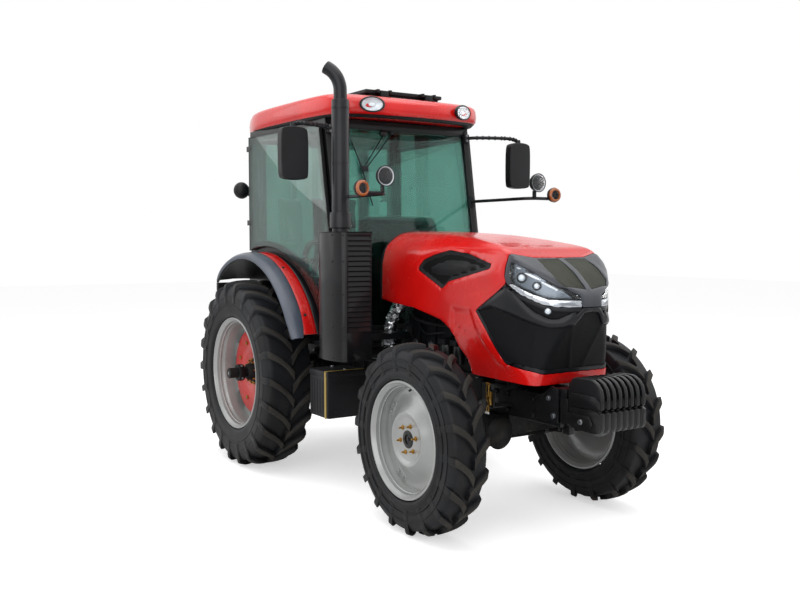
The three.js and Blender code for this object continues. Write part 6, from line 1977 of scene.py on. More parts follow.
    def _crumpled(self, build: Build, points: Sequence[Point], radius: float, mark: int) -> None:
        """Adds a pipe wrapped in crumpled foil.

        Args:
            build: Where it goes.
            points: The pipe's run.
            radius: Its mean radius.
            mark: Its finish.
        """
        path = smoothed(points, 10)
        dice = np.random.default_rng(7)
        sides, steps = 28, len(path)
        folds = 1.0 + 0.085 * dice.standard_normal((steps, sides))
        verts, faces = [], ring_faces(steps, sides)
        for i, p in enumerate(path):
            tangent = Vector(path[min(i + 1, steps - 1)] - path[max(i - 1, 0)]).normalized()
            side = Vector((0, 1.0, 0))
            side = (side - tangent * side.dot(tangent)).normalized()
            other = tangent.cross(side)
            for k in range(sides):
                a = 2 * math.pi * k / sides
                verts.append(Vector(p) + (side * math.cos(a) + other * math.sin(a)) * radius * float(folds[i, k]))
        faces += [tuple(range(sides))[::-1], tuple(range((steps - 1) * sides, steps * sides))]
        build.shell(verts, faces, mark)

    def _guard_outline(self, inset: float) -> list:
        """Returns the muffler guard's plan outline, with a flat front and a softly rounded outer face."""
        corners = [(1.35, -0.546), (1.35, -0.64), (1.35, -0.722), (1.341, -0.744), (1.318, -0.76), (1.26, -0.774),
                   (1.191, -0.781), (1.12, -0.776), (1.066, -0.763), (1.041, -0.746), (1.032, -0.722), (1.032, -0.64),
                   (1.032, -0.546)]
        centre = Vector((1.191, -0.66))
        out = []
        for x, y in corners:
            way = Vector((x, y)) - centre
            out.append((x - math.copysign(min(inset, abs(way.x)), way.x),
                        y - math.copysign(min(inset, abs(way.y)), way.y)))
        return out

    def _exhaust(self) -> None:
        """Makes the muffler guard with its punched slats and the stack with its bent tip."""
        build = Build()
        black, dark, steel = range(3)
        outer, inner = self._guard_outline(0.0), self._guard_outline(0.005)
        count = len(outer)

        def wall(low: float, high: float, picks: Sequence[int]) -> None:
            """Adds the guard's wall through the corners picked."""
            verts, faces = [], []
            for i in picks:
                for x, y in (outer[i % count], inner[i % count]):
                    verts += [(x, y, low), (x, y, high)]
            for k in range(len(picks) - 1):
                a, b = 4 * k, 4 * (k + 1)
                faces += [(a, b, b + 1, a + 1), (a + 3, b + 3, b + 2, a + 2), (a + 1, b + 1, b + 3, a + 3),
                          (a + 2, b + 2, b, a)]
            end = 4 * (len(picks) - 1)
            faces += [(0, 1, 3, 2), (end, end + 2, end + 3, end + 1)]
            build.meshed(verts, faces, black)

        wall(0.885, 1.68, list(range(2, count + 1)))
        for low, high in ((0.885, 1.065), (1.655, 1.680)):
            build.box((1.345, -0.7225, low), (1.35, -0.546, high), 0.001, black)
        for y in (-0.7225, -0.556):
            build.box((1.345, y, 1.06), (1.35, y + 0.01, 1.66), 0.001, black)
        pitch = (1.655 - 1.065) / 19
        for i in range(19):
            low = 1.065 + pitch * i
            slat = [(1.3505, low + 0.001), (1.3525, low + 0.004), (1.343, low + pitch * 0.98),
                    (1.339, low + pitch * 0.96)]
            build.prism(slat, -0.716, -0.552, "y", 0, black)
        # a near-black sheet behind the slats: painted shade inside the guard
        build.box((1.3, -0.716, 0.9), (1.303, -0.552, 1.67), 0, dark)
        turns = [math.atan2(y + 0.68, x - 1.2) for x, y in outer]
        hole = [(1.2 + 0.0545 * math.cos(a), -0.68 + 0.0545 * math.sin(a), 1.674) for a in turns]
        build.surround([(x, y, 1.674) for x, y in outer], hole, (0, 0, 0.006), black)
        for z in (0.905, 1.10, 1.30, 1.50, 1.660):
            for k in (3, 5, 9):
                x, y = outer[k]
                out = Vector((x - 1.191, (y + 0.66) * 1.4, 0)).normalized()
                build.solid([(0, -0.002), (0.007, -0.002), (0.007, 0.002), (0.004, 0.004), (0, 0.004)], 12, "z",
                            steel, moved((x, y, z)) @ facing(out))
        build.box((1.092, -0.548, 1.0), (1.29, -0.2255, 1.04), 0.004, black)
        # the muffler inside, in the same near-black finish that paints the shade inside the guard
        build.solid([(0, 0.93), (0.075, 0.93), (0.088, 0.95), (0.088, 1.58), (0.07, 1.61), (0, 1.61)], 36, "z", dark,
                    moved((1.19, -0.665, 0)))
        build.stand(self.shop, "muffler_cover", "root", [BLACK, SHADE_BLACK, BLACK], ["muffler_guard"])

        stack = Build()
        upright = moved((1.2, -0.68, 0))
        stack.rod(0.052, 0.93, 1.66, 32, "z", 0, upright)
        stack.solid([(0, 1.66), (0.0538, 1.66), (0.0538, 1.7), (0.068, 1.705), (0.068, 1.79), (0.064, 1.8),
                     (0.0545, 1.802), (0.0545, 2.485), (0.052, 2.49), (0, 2.49)], 48, "z", 0, upright)
        for z in (1.83, 2.10, 2.44):
            stack.turned([(0.053, z - 0.006), (0.0565, z - 0.006), (0.0565, z + 0.006), (0.053, z + 0.006)], 48, "z",
                         0, upright)
        way = smoothed([(1.2, -0.68, 2.47), (1.2, -0.68, 2.53), (1.198, -0.682, 2.575), (1.186, -0.695, 2.625),
                        (1.163, -0.717, 2.665), (1.136, -0.744, 2.692)], 6)
        verts, faces = [], []
        sides = 32
        for i, p in enumerate(way):
            tangent = Vector(way[min(i + 1, len(way) - 1)] - way[max(i - 1, 0)]).normalized()
            side = Vector((1.0, -1.0, 0)).normalized()
            side = (side - tangent * side.dot(tangent)).normalized()
            other = tangent.cross(side)
            for radius in (0.0415, 0.0385):
                for k in range(sides):
                    a = 2 * math.pi * k / sides
                    verts.append(Vector(p) + (side * math.cos(a) + other * math.sin(a)) * radius)
        steps = len(way)
        for i in range(steps - 1):
            for k in range(sides):
                m = (k + 1) % sides
                a, b = 2 * sides * i, 2 * sides * (i + 1)
                faces.append((a + k, a + m, b + m, b + k))
                faces.append((a + sides + m, a + sides + k, b + sides + k, b + sides + m))
        for base, flip in ((0, False), (2 * sides * (steps - 1), True)):
            for k in range(sides):
                m = (k + 1) % sides
                quad = (base + m, base + k, base + sides + k, base + sides + m)
                faces.append(quad[::-1] if flip else quad)
        stack.shell(verts, faces, 0)
        stack.stand(self.shop, "exhaust_pipe", "root", [SATIN], ["exhaust_stack"])

    def _battery(self) -> None:
        """Makes the battery box with its lid, strap and step."""
        build = Build()
        plastic, strap, black, steel = range(4)
        build.box((0.89, -0.746, 0.498), (1.142, -0.46, 0.765), 0.014, plastic)
        build.box((0.886, -0.75, 0.76), (1.146, -0.455, 0.8), 0.012, plastic)
        for x in np.linspace(0.92, 1.11, 6):
            build.box((float(x) - 0.006, -0.7485, 0.52), (float(x) + 0.006, -0.742, 0.74), 0.002, plastic)
        build.box((1.139, -0.72, 0.54), (1.1455, -0.49, 0.72), 0.003, plastic)
        build.box((1.108, -0.7525, 0.5), (1.124, -0.746, 0.795), 0.001, strap)
        build.box((1.108, -0.752, 0.797), (1.124, -0.47, 0.8025), 0.001, strap)
        build.box((0.916, -0.456, 0.515), (1.116, -0.1905, 0.555), 0.005, black)
        for x in (0.93, 1.10):
            build.bolt((x, -0.6, 0.8), (0, 0, 1), 0.02, steel)
        build.stand(self.shop, "battery_case", "root", [PLASTIC, YELLOW, BLACK, STEEL], ["battery_box"])

    def _tank(self) -> None:
        """Makes the fuel tank with its cap and the boarding steps."""
        build = Build()
        plastic, black = range(2)
        outline = [(0.745, 0.51), (0.785, 0.47), (1.105, 0.47), (1.145, 0.51), (1.145, 0.79), (1.115, 0.82),
                   (0.775, 0.82), (0.745, 0.79)]
        build.prism(outline, 0.33, 0.59, "y", 0.022, plastic, segments=4)
        for x in (0.84, 1.05):
            build.box((x - 0.014, 0.326, 0.466), (x + 0.014, 0.5935, 0.472), 0.001, black)
            build.box((x - 0.014, 0.588, 0.468), (x + 0.014, 0.5935, 0.822), 0.001, black)
        build.box((0.805, 0.1905, 0.51), (1.085, 0.331, 0.56), 0.005, black)
        build.solid([(0, -0.01), (0.036, -0.01), (0.036, 0.014), (0.042, 0.016), (0.042, 0.034), (0.036, 0.04),
                     (0, 0.04)], 36, "z", plastic, moved((1.08, 0.5, 0.818)))
        for z in (0.400, 0.690):
            build.box((0.76, 0.6, z), (1.06, 0.8, z + 0.005), 0.001, black)
            for x in (0.762, 1.052):
                build.box((x - 0.002, 0.588, z), (x + 0.008, 0.8, z + 0.022), 0.001, black)
            for y in (0.600, 0.790):
                build.box((0.76, y, z), (1.06, y + 0.008, z + 0.022), 0.001, black)
            for i in range(9):
                x = 0.785 + 0.031 * i
                build.box((x, 0.608, z + 0.004), (x + 0.004, 0.792, z + 0.0215), 0.001, black)
        for x in (0.760, 1.038):
            build.box((x, 0.586, 0.4), (x + 0.022, 0.596, 0.712), 0.003, black)
            build.box((x, 0.596, 0.4), (x + 0.006, 0.74, 0.712), 0.002, black)
        build.stand(self.shop, "fuel_tank_steps", "root", [PLASTIC, BLACK], ["fuel_tank"])

    def _front_axle(self) -> None:
        """Makes the front axle, the knuckles and the tie rod."""
        z = FRONT_RISE
        beam = Build()
        cast, steel, black = range(3)
        half = [(0, -0.52), (0.04, -0.52), (0.052, -0.5), (0.052, -0.3), (0.062, -0.28), (0.075, -0.262),
                (0.104, -0.25), (0.105, -0.235), (0.105, -0.07), (0.096, -0.055), (0.06, -0.045), (0.054, -0.03),
                (0.052, 0), (0.052, 0.5), (0.04, 0.52), (0, 0.52)]
        beam.solid(half, 48, "y", cast, moved((WHEELBASE, 0, z)))
        beam.solid([(0, -0.006), (0.085, -0.004), (0.093, 0.02), (0.06, 0.05), (0, 0.055)], 40, "x", cast,
                   moved((2.105, -0.155, z - 0.012)))
        beam.box((1.932, -0.073, z - 0.04), (2.108, 0.073, 0.6395), 0.01, cast)
        beam.pipe([(1.62, -0.155, z), (1.8, -0.155, z), (1.94, -0.155, z)], 0.036, 20, cast, 1)
        for x, up in around(8, 0.088):
            beam.bolt((WHEELBASE + x, -0.25, z - 0.012 + up), (0, -1, 0), 0.018, steel)
        for sign in (1.0, -1.0):
            beam.turned([(0.0206, -0.055), (0.056, -0.055), (0.062, -0.049), (0.062, 0.049), (0.056, 0.055),
                         (0.0206, 0.055)], 36, "z", cast, moved((WHEELBASE, sign * 0.552, z)))
            if sign < 0:
                beam.rod(0.022, 0, 0.19, 20, "y", black, moved((1.905, sign * 0.34 - 0.095, z + 0.055)))
        beam.solid([(0, -0.21), (0.028, -0.21), (0.03, -0.2), (0.03, 0.2), (0.028, 0.21), (0, 0.21)], 28, "y", black,
                   moved((1.895, 0, z + 0.04)))
        beam.box((1.885, -0.03, z), (1.96, 0.03, z + 0.075), 0.005, cast)
        beam.stand(self.shop, "axle_front", "root", [CAST, STEEL, BLACK], ["front_axle_beam"])
        for name, sign in SIDES:
            self._knuckle().side(sign).stand(self.shop, f"steering_knuckle_{name}", f"knuckle_{name}",
                                             [CAST, STEEL], [f"knuckle_{name}"])
        rod = Build()
        rod_z = z - 0.055 - 0.006 - 0.026 - 0.006 - 0.018
        arm_low = z - 0.055 - 0.006 - 0.026
        rod.solid([(0, -0.54), (0.014, -0.54), (0.014, -0.4), (0.0135, -0.395), (0.0135, 0.395), (0.014, 0.4),
                   (0.014, 0.54), (0, 0.54)], 24, "y", 0, moved((1.85, 0, rod_z)))
        for sign in (1.0, -1.0):
            rod.solid([(0, -0.016), (0.02, -0.018), (0.024, -0.012), (0.024, 0.01), (0.018, 0.018), (0.011, 0.024),
                       (0.011, arm_low + 0.016 - rod_z), (0, arm_low + 0.016 - rod_z)], 28, "z", 0,
                      moved((1.85, sign * 0.552, rod_z)))
            nut = [(0.018 * math.cos(math.pi / 3 * k), 0.018 * math.sin(math.pi / 3 * k)) for k in range(6)]
            rod.prism(nut, sign * 0.44 - 0.014, sign * 0.44 + 0.014, "y", 0.001, 1, moved((1.85, 0, rod_z)))
        rod.stand(self.shop, "steering_tie_rod", "tie_rod", [BLACK, STEEL], ["tie_rod"])

    def _knuckle(self) -> Build:
        """Returns the left steering knuckle."""
        z = FRONT_RISE
        build = Build()
        cast, steel = 0, 1
        low, high, jaw = z - 0.061, z + 0.061, 0.026
        for a, b in ((low - jaw, low), (high, high + jaw)):
            shape = [(1.958, 0.64), (1.962, 0.56), (1.985, 0.515), (WHEELBASE, 0.504), (2.055, 0.515), (2.078, 0.56),
                     (2.082, 0.64)]
            build.prism([(float(x), float(y)) for x, y in smoothed(shape, 3)], a, b, "z", 0.005, cast)
        build.box((1.958, 0.62, low - jaw), (2.082, 0.644, high + jaw), 0.01, cast)
        build.rod(0.02, low - 0.001, high + 0.001, 24, "z", steel, moved((WHEELBASE, 0.552, 0)))
        build.solid([(0, 0.635), (0.066, 0.635), (0.066, 0.65), (0.046, 0.664), (0.038, 0.668), (0.038, 0.685),
                     (0, 0.685)], 36, "y", cast, moved((WHEELBASE, 0, z)))
        for x, y in around(4, 0.024, 0.5):
            build.bolt((WHEELBASE + x, 0.552 + y, high + jaw), (0, 0, 1), 0.014, steel, False)
        ring, outer = [[(1.85 + x, 0.552 + y) for x, y in around(20, radius)] for radius in (0.0116, 0.03)]
        verts, faces = [], []
        a, b = low - jaw, low - 0.006
        for line in (ring, outer):
            for level in (a, b):
                verts += [(x, y, level) for x, y in line]
        for k in range(20):
            m = (k + 1) % 20
            faces += [(k, m, 20 + m, 20 + k)[::-1], (40 + k, 40 + m, 60 + m, 60 + k),
                      (20 + k, 20 + m, 60 + m, 60 + k), (k, m, 40 + m, 40 + k)[::-1]]
        build.shell(verts, faces, cast)
        build.prism([(WHEELBASE, 0.59), (1.9, 0.586), (1.872, 0.578), (1.872, 0.526), (1.9, 0.518),
                     (WHEELBASE, 0.514)], a, b, "z", 0.003, cast)
        return build

    def _housing(self) -> None:
        """Makes the gearbox and rear axle housing with its covers, ribs and bolts."""
        build = Build()
        cast, steel, black = range(3)
        z = REAR_RISE
        build.prism([(0.42, 0.445), (1.1495, 0.445), (1.1495, 0.858), (1.03, 0.798), (0.42, 0.798)], -0.178, 0.178,
                    "y", 0.02, cast, segments=3)
        build.prism([(-0.498, 0.49), (-0.44, 0.432), (0.33, 0.432), (0.43, 0.445), (0.43, 0.798), (0.34, 0.8),
                     (0.27, 1.048), (-0.498, 1.048)], -0.188, 0.188, "y", 0.02, cast, segments=3)
        for x in (0.42, 1.135):
            build.box((x - 0.012, -0.19, 0.436), (x + 0.012, 0.19, 0.8), 0.004, cast)
        for x in np.linspace(0.50, 1.06, 5):
            for sign in (1.0, -1.0):
                build.box((float(x) - 0.007, sign * 0.182 - 0.008, 0.47),
                          (float(x) + 0.007, sign * 0.182 + 0.008, 0.78), 0.003, cast)
        for sign in (1.0, -1.0):
            for x, up in around(9, 0.131):
                build.bolt((x, sign * 0.262, z + up), (0, sign, 0), 0.022, steel)
            profile = [(0, 0.186), (0.15, 0.186), (0.15, 0.252), (0.142, 0.262), (0.11, 0.27), (0.096, 0.3),
                       (0.086, 0.4), (0.084, 0.5), (0.09, 0.528), (0.128, 0.534), (0.128, 0.56), (0.04, 0.56),
                       (0.04, 0.5), (0, 0.5)]
            build.solid([(r, a * sign) for r, a in profile], 48, "y", cast, moved((0, 0, z)))
            for x, up in around(10, 0.112, 0.5):
                build.bolt((x, sign * 0.533, z + up), (0, -sign, 0), 0.018, steel)
            build.box((-0.195, sign * 0.198 - 0.012, 0.395), (-0.105, sign * 0.198, 0.495), 0.006, cast)
            build.rod(0.012, 0.188 * sign, 0.262 * sign, 20, "y", steel, moved((-0.15, 0, 0.445)))
        build.solid([(0, -0.514), (0.058, -0.514), (0.062, -0.51), (0.062, -0.495), (0, -0.495)], 36, "x", cast,
                    moved((0, 0, 0.64)))
        spline = []
        for k in range(24):
            a = 2 * math.pi * k / 24
            r = 0.0174 if k % 2 else 0.015
            spline.append((r * math.cos(a), 0.64 + r * math.sin(a)))
        build.prism(spline, -0.594, -0.5, "x", 0, steel)
        guard = [(-0.6, 0.715), (-0.49, 0.735), (-0.49, 0.727), (-0.594, 0.708)]
        build.prism(guard, -0.11, 0.11, "y", 0.002, black)
        for sign in (1.0, -1.0):
            build.prism([(-0.6, 0.7), (-0.6, 0.714), (-0.49, 0.735), (-0.49, 0.62)], sign * 0.11, sign * 0.104, "y",
                        0.001, black)
        for a, b in ((-0.060, 0.040), (-0.440, -0.360)):
            for sign in (1.0, -1.0):
                build.box((a, sign * 0.0515 - 0.0085, 0.312), (b, sign * 0.0515 + 0.0085, 0.44), 0.003, cast)
            build.box((a, -0.06, 0.31), (b, 0.06, 0.3296), 0.003, cast)
            build.box((a, -0.06, 0.3605), (b, 0.06, 0.44), 0.003, cast)
        build.box((-0.498, -0.12, 0.78), (-0.502, 0.12, 1.03), 0.002, cast)
        for y in (-0.10, 0.0, 0.10):
            build.bolt((-0.5, y, 1.015), (-1, 0, 0), 0.02, steel)
        for y in (-0.150, -0.115, 0.115, 0.150):
            build.solid([(0, 0), (0.016, 0), (0.016, 0.03), (0.012, 0.036), (0, 0.036)], 20, "x", black,
                        moved((-0.5, y, 0.9)) @ Matrix.Rotation(math.pi, 4, "Z"))
        build.pipe([(0.6, -0.17, 0.82), (0.8, -0.185, 0.815), (1.0, -0.18, 0.83), (1.14, -0.165, 0.86)], 0.009, 10,
                   steel)
        build.pipe([(0.6, 0.17, 0.82), (0.8, 0.185, 0.815), (1.0, 0.18, 0.83), (1.14, 0.165, 0.86)], 0.009, 10, steel)
        build.stand(self.shop, "gearbox_axle_housing", "root", [CAST, STEEL, BLACK], ["transmission_housing"])

    def _hitch(self) -> None:
        """Makes the three-point hitch: lift arms, lift rods, lower links and top link."""
        arms = Build()
        drop = math.radians(15.0)
        end = (-0.42 - 0.3 * math.cos(drop), 0.95 - 0.3 * math.sin(drop))
        arms.solid([(0, -0.315), (0.028, -0.315), (0.03, -0.312), (0.03, 0.312), (0.028, 0.315), (0, 0.315)], 32, "y",
                   1, moved((-0.42, 0, 0.95)))
        outline = [(-0.368, 0.96), (-0.385, 0.992), (-0.42, 1.004), (-0.455, 0.994), (end[0], end[1] + 0.03),
                   (end[0] - 0.021, end[1] + 0.021), (end[0] - 0.03, end[1]), (end[0] - 0.021, end[1] - 0.021),
                   (end[0], end[1] - 0.03), (-0.44, 0.9), (-0.4, 0.904), (-0.38, 0.916)]
        for sign in (1.0, -1.0):
            low, high = sorted((sign * 0.285, sign * 0.315))
            arms.prism(outline, low, high, "y", 0.006, 0, segments=3)
            arms.rod(0.012, 0.3 * sign, 0.364 * sign, 20, "y", 1, moved((end[0], 0, end[1])))
        arms.stand(self.shop, "hitch_lift_arms", "lift_arms", [BLACK, STEEL], ["lift_arms"])

        foot = (-0.6, 0.445)
        length = math.hypot(end[0] - foot[0], end[1] - foot[1])
        lean = math.atan2(end[0] - foot[0], end[1] - foot[1])
        for name, sign in SIDES:
            rod = Build()
            turn = moved((foot[0], 0.35, foot[1])) @ Matrix.Rotation(lean, 4, "Y")
            rod.solid([(0, 0.022), (0.015, 0.022), (0.015, 0.17), (0.021, 0.175), (0.021, 0.3), (0.015, 0.305),
                       (0.015, length - 0.022), (0, length - 0.022)], 28, "z", 0, turn)
            for z in (0.0, length):
                at = turn @ moved((0, 0, z))
                rod.turned([(0.0128, -0.012), (0.028, -0.012), (0.03, -0.01), (0.03, 0.01), (0.028, 0.012),
                            (0.0128, 0.012)], 32, "y", 0, at)
            rod.side(sign).stand(self.shop, f"hitch_lift_rod_{name}", "lift_rods", [STEEL], [f"lift_rod_{name}"])
            link = Build()
            run, out = 0.860, 0.160
            splay = math.atan2(out, run)
            place = moved((-0.15, 0.222, 0.445)) @ Matrix.Rotation(-splay, 4, "Z")
            bar = [(-0.02, -0.022), (-0.02, 0.022), (-0.3, 0.028), (-0.62, 0.028),
                   (-run / math.cos(splay) + 0.02, 0.02), (-run / math.cos(splay) + 0.02, -0.02), (-0.62, -0.028),
                   (-0.3, -0.028)]
            link.prism(bar, -0.013, 0.013, "y", 0.004, 0, place)
            link.turned([(0.0128, -0.015), (0.036, -0.015), (0.038, -0.012), (0.038, 0.012), (0.036, 0.015),
                         (0.0128, 0.015)], 32, "y", 0, moved((-0.15, 0.222, 0.445)))
            link.turned([(0.0141, -0.022), (0.026, -0.022), (0.03, -0.016), (0.03, 0.016), (0.026, 0.022),
                         (0.0141, 0.022)], 32, "y", 1, moved((-1.01, 0.382, 0.445)))
            link.side(sign).stand(self.shop, f"hitch_lower_link_{name}", "lower_links", [BLACK, STEEL],
                                  [f"lower_link_{name}"])
        top = Build()
        at = -0.544
        top.solid([(0, 0.79), (0.018, 0.79), (0.018, 0.9), (0.026, 0.905), (0.026, 1.12), (0.018, 1.125),
                   (0.018, 1.24), (0, 1.24)], 28, "z", 0, moved((at, 0, 0)))
        for z, half in ((0.80, 0.019), (1.25, 0.024)):
            top.solid([(0, -half), (0.026, -half), (0.028, -half + 0.003), (0.028, half - 0.003), (0.026, half),
                       (0, half)], 28, "y", 0, moved((at, 0, z)))
        for sign in (1.0, -1.0):
            low, high = sorted((sign * 0.02, sign * 0.045))
            top.prism([(-0.5003, 0.75), (-0.5003, 0.85), (-0.555, 0.85), (-0.568, 0.82), (-0.568, 0.78),
                       (-0.555, 0.75)], low, high, "y", 0.004, 0)
        top.box((-0.512, -0.045, 0.75), (-0.5003, 0.045, 0.85), 0.003, 0)
        top.rod(0.01, -0.052, 0.052, 16, "y", 1, moved((at, 0, 0.8)))
        top.stand(self.shop, "hitch_top_link", "root", [BLACK, STEEL], ["top_link"])
# ---------------------------------------------------------------- inside the cab

@dataclass
class Interior:
    """The operator's place: floor, seat, console, dash, levers and steering wheel."""

    shop: Shop

    def build(self) -> None:
        """Makes every piece inside the cab."""
        self._floor()
        self._seat()
        self._dash()
        self._steering_wheel()
        self._controls()

    def _floor(self) -> None:
        """Makes the floor with its mat, riser and feet."""
        build = Build()
        mat, plastic = 0, 1
        half = 0.5275
        build.box((-0.4595, -half, 1.112), (0.388, half, 1.15), 0.006, mat)
        for high in ((0.39, half, 1.148), (0.9295, half, 0.938)):
            build.box((0.352, -half, 0.902), high, 0.006, mat)
        for i in range(11):
            x = 0.43 + 0.045 * i
            build.box((x, -0.45, 0.937), (x + 0.014, 0.45, 0.942), 0.002, mat)
        for sign in (1.0, -1.0):
            build.box((-0.4595, sign * 0.42 - 0.1, 1.149), (0.3, sign * 0.42 + 0.1, 1.33), 0.03, plastic)
            for x, z in ((0.78, 0.80), (-0.20, 1.05)):
                top = 0.905 if x > 0 else 1.115
                build.solid([(0, z), (0.04, z), (0.034, z + 0.02), (0.034, top), (0, top)], 24, "z", plastic,
                            moved((x, sign * 0.13, 0)))
        build.stand(self.shop, "floor_mat", "root", [MAT, PLASTIC], ["cab_floor"])

    def _pad(self, name: str, low: Point, high: Point, lean: float, pivot: Point, node: str, finish: Finish) -> None:
        """Makes one crowned cushion, swollen by a cloth simulation.

        Args:
            name: The piece's name.
            low: The lowest corner of its starting block.
            high: The highest corner.
            lean: How far it leans back, in degrees.
            pivot: The point that it leans about.
            node: The frame's node that it stands for.
            finish: Its finish.
        """
        bm = bmesh.new()
        bmesh.ops.create_cube(bm, size=1.0)
        size = [h - l for l, h in zip(low, high)]
        centre = [(h + l) / 2 for l, h in zip(low, high)]
        bmesh.ops.transform(bm, verts=bm.verts, matrix=moved(centre) @ Matrix.Diagonal((*size, 1.0)))
        bmesh.ops.bevel(bm, geom=bm.edges[:], offset=0.03, segments=4, profile=0.6, affect="EDGES",
                        clamp_overlap=True)
        turn = moved(pivot) @ Matrix.Rotation(math.radians(-lean), 4, "Y") @ moved(-Vector(pivot))
        bmesh.ops.transform(bm, verts=bm.verts, matrix=moved(REAR_AXLE) @ turn)
        mesh = bpy.data.meshes.new(name)
        bm.to_mesh(mesh)
        bm.free()
        pad = bpy.data.objects.new(name, mesh)
        bpy.context.scene.collection.objects.link(pad)
        self._apply(pad, "REMESH", mode="VOXEL", voxel_size=0.006)
        self._swell(pad)
        self._apply(pad, "SUBSURF", levels=1)
        pad.data.materials.clear()
        pad.data.materials.append(self.shop.material(finish))
        pad.data.polygons.foreach_set("material_index", [0] * len(pad.data.polygons))
        pad.data.shade_smooth()
        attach(pad, "root")
        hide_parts(node)
        self.shop.made(pad)

    def _apply(self, piece: bpy.types.Object, kind: str, **settings: object) -> None:
        """Adds a modifier to a piece and applies it."""
        modifier = piece.modifiers.new(kind.lower(), kind)
        for key, value in settings.items():
            setattr(modifier, key, value)
        graph = bpy.context.evaluated_depsgraph_get()
        made = bpy.data.meshes.new_from_object(piece.evaluated_get(graph))
        piece.modifiers.clear()
        piece.data = made

    def _swell(self, pad: bpy.types.Object) -> None:
        """Swells the pad with air pressure, holding each point near where it began."""
        start = np.array([v.co[:] for v in pad.data.vertices])
        cloth = pad.modifiers.new("cloth", "CLOTH")
        cloth.settings.use_pressure = True
        cloth.settings.uniform_pressure_force = 4.0
        cloth.settings.effector_weights.gravity = 0.0
        cloth.settings.quality = 5
        scene = bpy.context.scene
        cloth.point_cache.frame_start, cloth.point_cache.frame_end = 1, 20
        for step in range(1, 21):
            scene.frame_set(step)
        graph = bpy.context.evaluated_depsgraph_get()
        swollen = bpy.data.meshes.new_from_object(pad.evaluated_get(graph))
        end = np.array([v.co[:] for v in swollen.vertices])
        move = end - start
        reach = np.linalg.norm(move, axis=1, keepdims=True)
        cap = 0.024
        end = start + move * np.minimum(1.0, cap / np.maximum(reach, 1e-9))
        swollen.vertices.foreach_set("co", end.ravel())
        pad.modifiers.clear()
        pad.data = swollen
        scene.frame_set(1)

    def _seat(self) -> None:
        """Makes the seat: suspension, pan, shell, armrests with their brackets and the two cushions."""
        build = Build()
        plastic, vinyl, black = range(3)
        build.box((-0.04, -0.155, 1.1503), (0.28, 0.155, 1.18), 0.008, black)
        for i in range(6):
            z = 1.185 + 0.023 * i
            grow = 0.004 if i % 2 else 0.014
            build.box((-0.045 - grow, -0.15 - grow, z), (0.27 + grow, 0.15 + grow, z + 0.021), 0.009, plastic)
        build.box((-0.08, -0.158, 1.322), (0.318, 0.158, 1.358), 0.012, black)
        for sign in (1.0, -1.0):
            build.pipe([(-0.13, sign * 0.255, 1.52), (-0.02, sign * 0.275, 1.6), (0.1, sign * 0.275, 1.615),
                        (0.21, sign * 0.268, 1.6)], 0.024, 16, vinyl, squash=0.8)
            build.pipe([(-0.115, sign * 0.235, 1.42), (-0.13, sign * 0.25, 1.48), (-0.13, sign * 0.255, 1.53)], 0.014,
                       12, black)
            build.box((-0.02, sign * 0.236 - 0.008, 1.36), (0.02, sign * 0.236 + 0.008, 1.43), 0.003, black)
        build.stand(self.shop, "seat_suspension", "root", [PLASTIC, VINYL, BLACK], ["seat_base"])
        self._pad("seat_squab", (-0.022, -0.213, 1.382), (0.345, 0.213, 1.448), 0, (0.1, 0, 1.4), "seat_cushion",
                  CLOTH)
        self._pad("seat_backrest", (-0.128, -0.203, 1.4), (-0.068, 0.203, 1.965), 4.5, (-0.07, 0, 1.38), "seat_back",
                  CLOTH)

    def _dash(self) -> None:
        """Makes the console behind the hood, the instrument binnacle and the column."""
        build = Build()
        plastic, satin, glow, steel = range(4)
        outline = [(0.692, 0.942), (0.902, 0.942), (0.902, 1.6), (0.884, 1.715), (0.845, 1.765), (0.8, 1.778),
                   (0.752, 1.768), (0.722, 1.738), (0.7, 1.66), (0.692, 1.56), (0.702, 1.3)]
        build.prism(outline, -0.205, 0.205, "y", 0.03, plastic, segments=4)
        hood = [(0.905, 1.64), (0.885, 1.735), (0.83, 1.785), (0.76, 1.792), (0.705, 1.765), (0.7, 1.745),
                (0.76, 1.76), (0.825, 1.752), (0.872, 1.71), (0.89, 1.64)]
        build.prism(hood, -0.262, 0.262, "y", 0.006, satin, segments=3)
        lean = math.radians(37.0)
        base = moved((0.545, 0, 1.64)) @ Matrix.Rotation(-lean, 4, "Y")
        build.solid([(0, -0.33), (0.04, -0.33), (0.036, -0.2), (0.033, -0.06), (0.024, -0.032), (0, -0.032)], 28, "z",
                    plastic, base)
        build.rod(0.016, -0.05, 0.0135, 20, "z", steel, base)
        for sign in (1.0, -1.0):
            build.pipe([base @ Vector((0, 0.02 * sign, -0.085)), base @ Vector((0.01, 0.11 * sign, -0.07)), base @
                        Vector((0.015, 0.165 * sign, -0.055))], 0.007, 10, plastic, 4)
        panel = moved((0.7, 0, 1.655)) @ Matrix.Rotation(math.radians(-28.0), 4, "Y")
        for y, r in ((-0.085, 0.048), (0.085, 0.048), (0.0, 0.034)):
            at = panel @ moved((-0.012, y, 0)) @ Matrix.Rotation(math.radians(-90.0), 4, "Y")
            build.turned([(r - 0.004, -0.01), (r + 0.004, -0.01), (r + 0.004, 0.006), (r, 0.008), (r - 0.004, 0.004)],
                         36, "z", satin, at)
            build.rod(r - 0.003, -0.004, 0, 36, "z", glow, at)
        for i in range(6):
            at = panel @ Vector((-0.006, -0.16 + 0.064 * i, -0.085))
            build.box(at - Vector((0.008, 0.012, 0.012)), at + Vector((0.004, 0.012, 0.012)), 0.003, satin)
        for y in (-0.17, -0.10, 0.14):
            build.pipe([(0.7, y, 1.14), (0.62, y, 1.06), (0.575, y, 1.035)], 0.01, 10, steel, 3)
            build.box((0.535, y - 0.035, 1.015), (0.59, y + 0.035, 1.04), 0.008, plastic, moved((0.56, y, 1.03)) @
                      Matrix.Rotation(0.6, 4, "Y") @ moved((-0.56, -y, -1.03)))
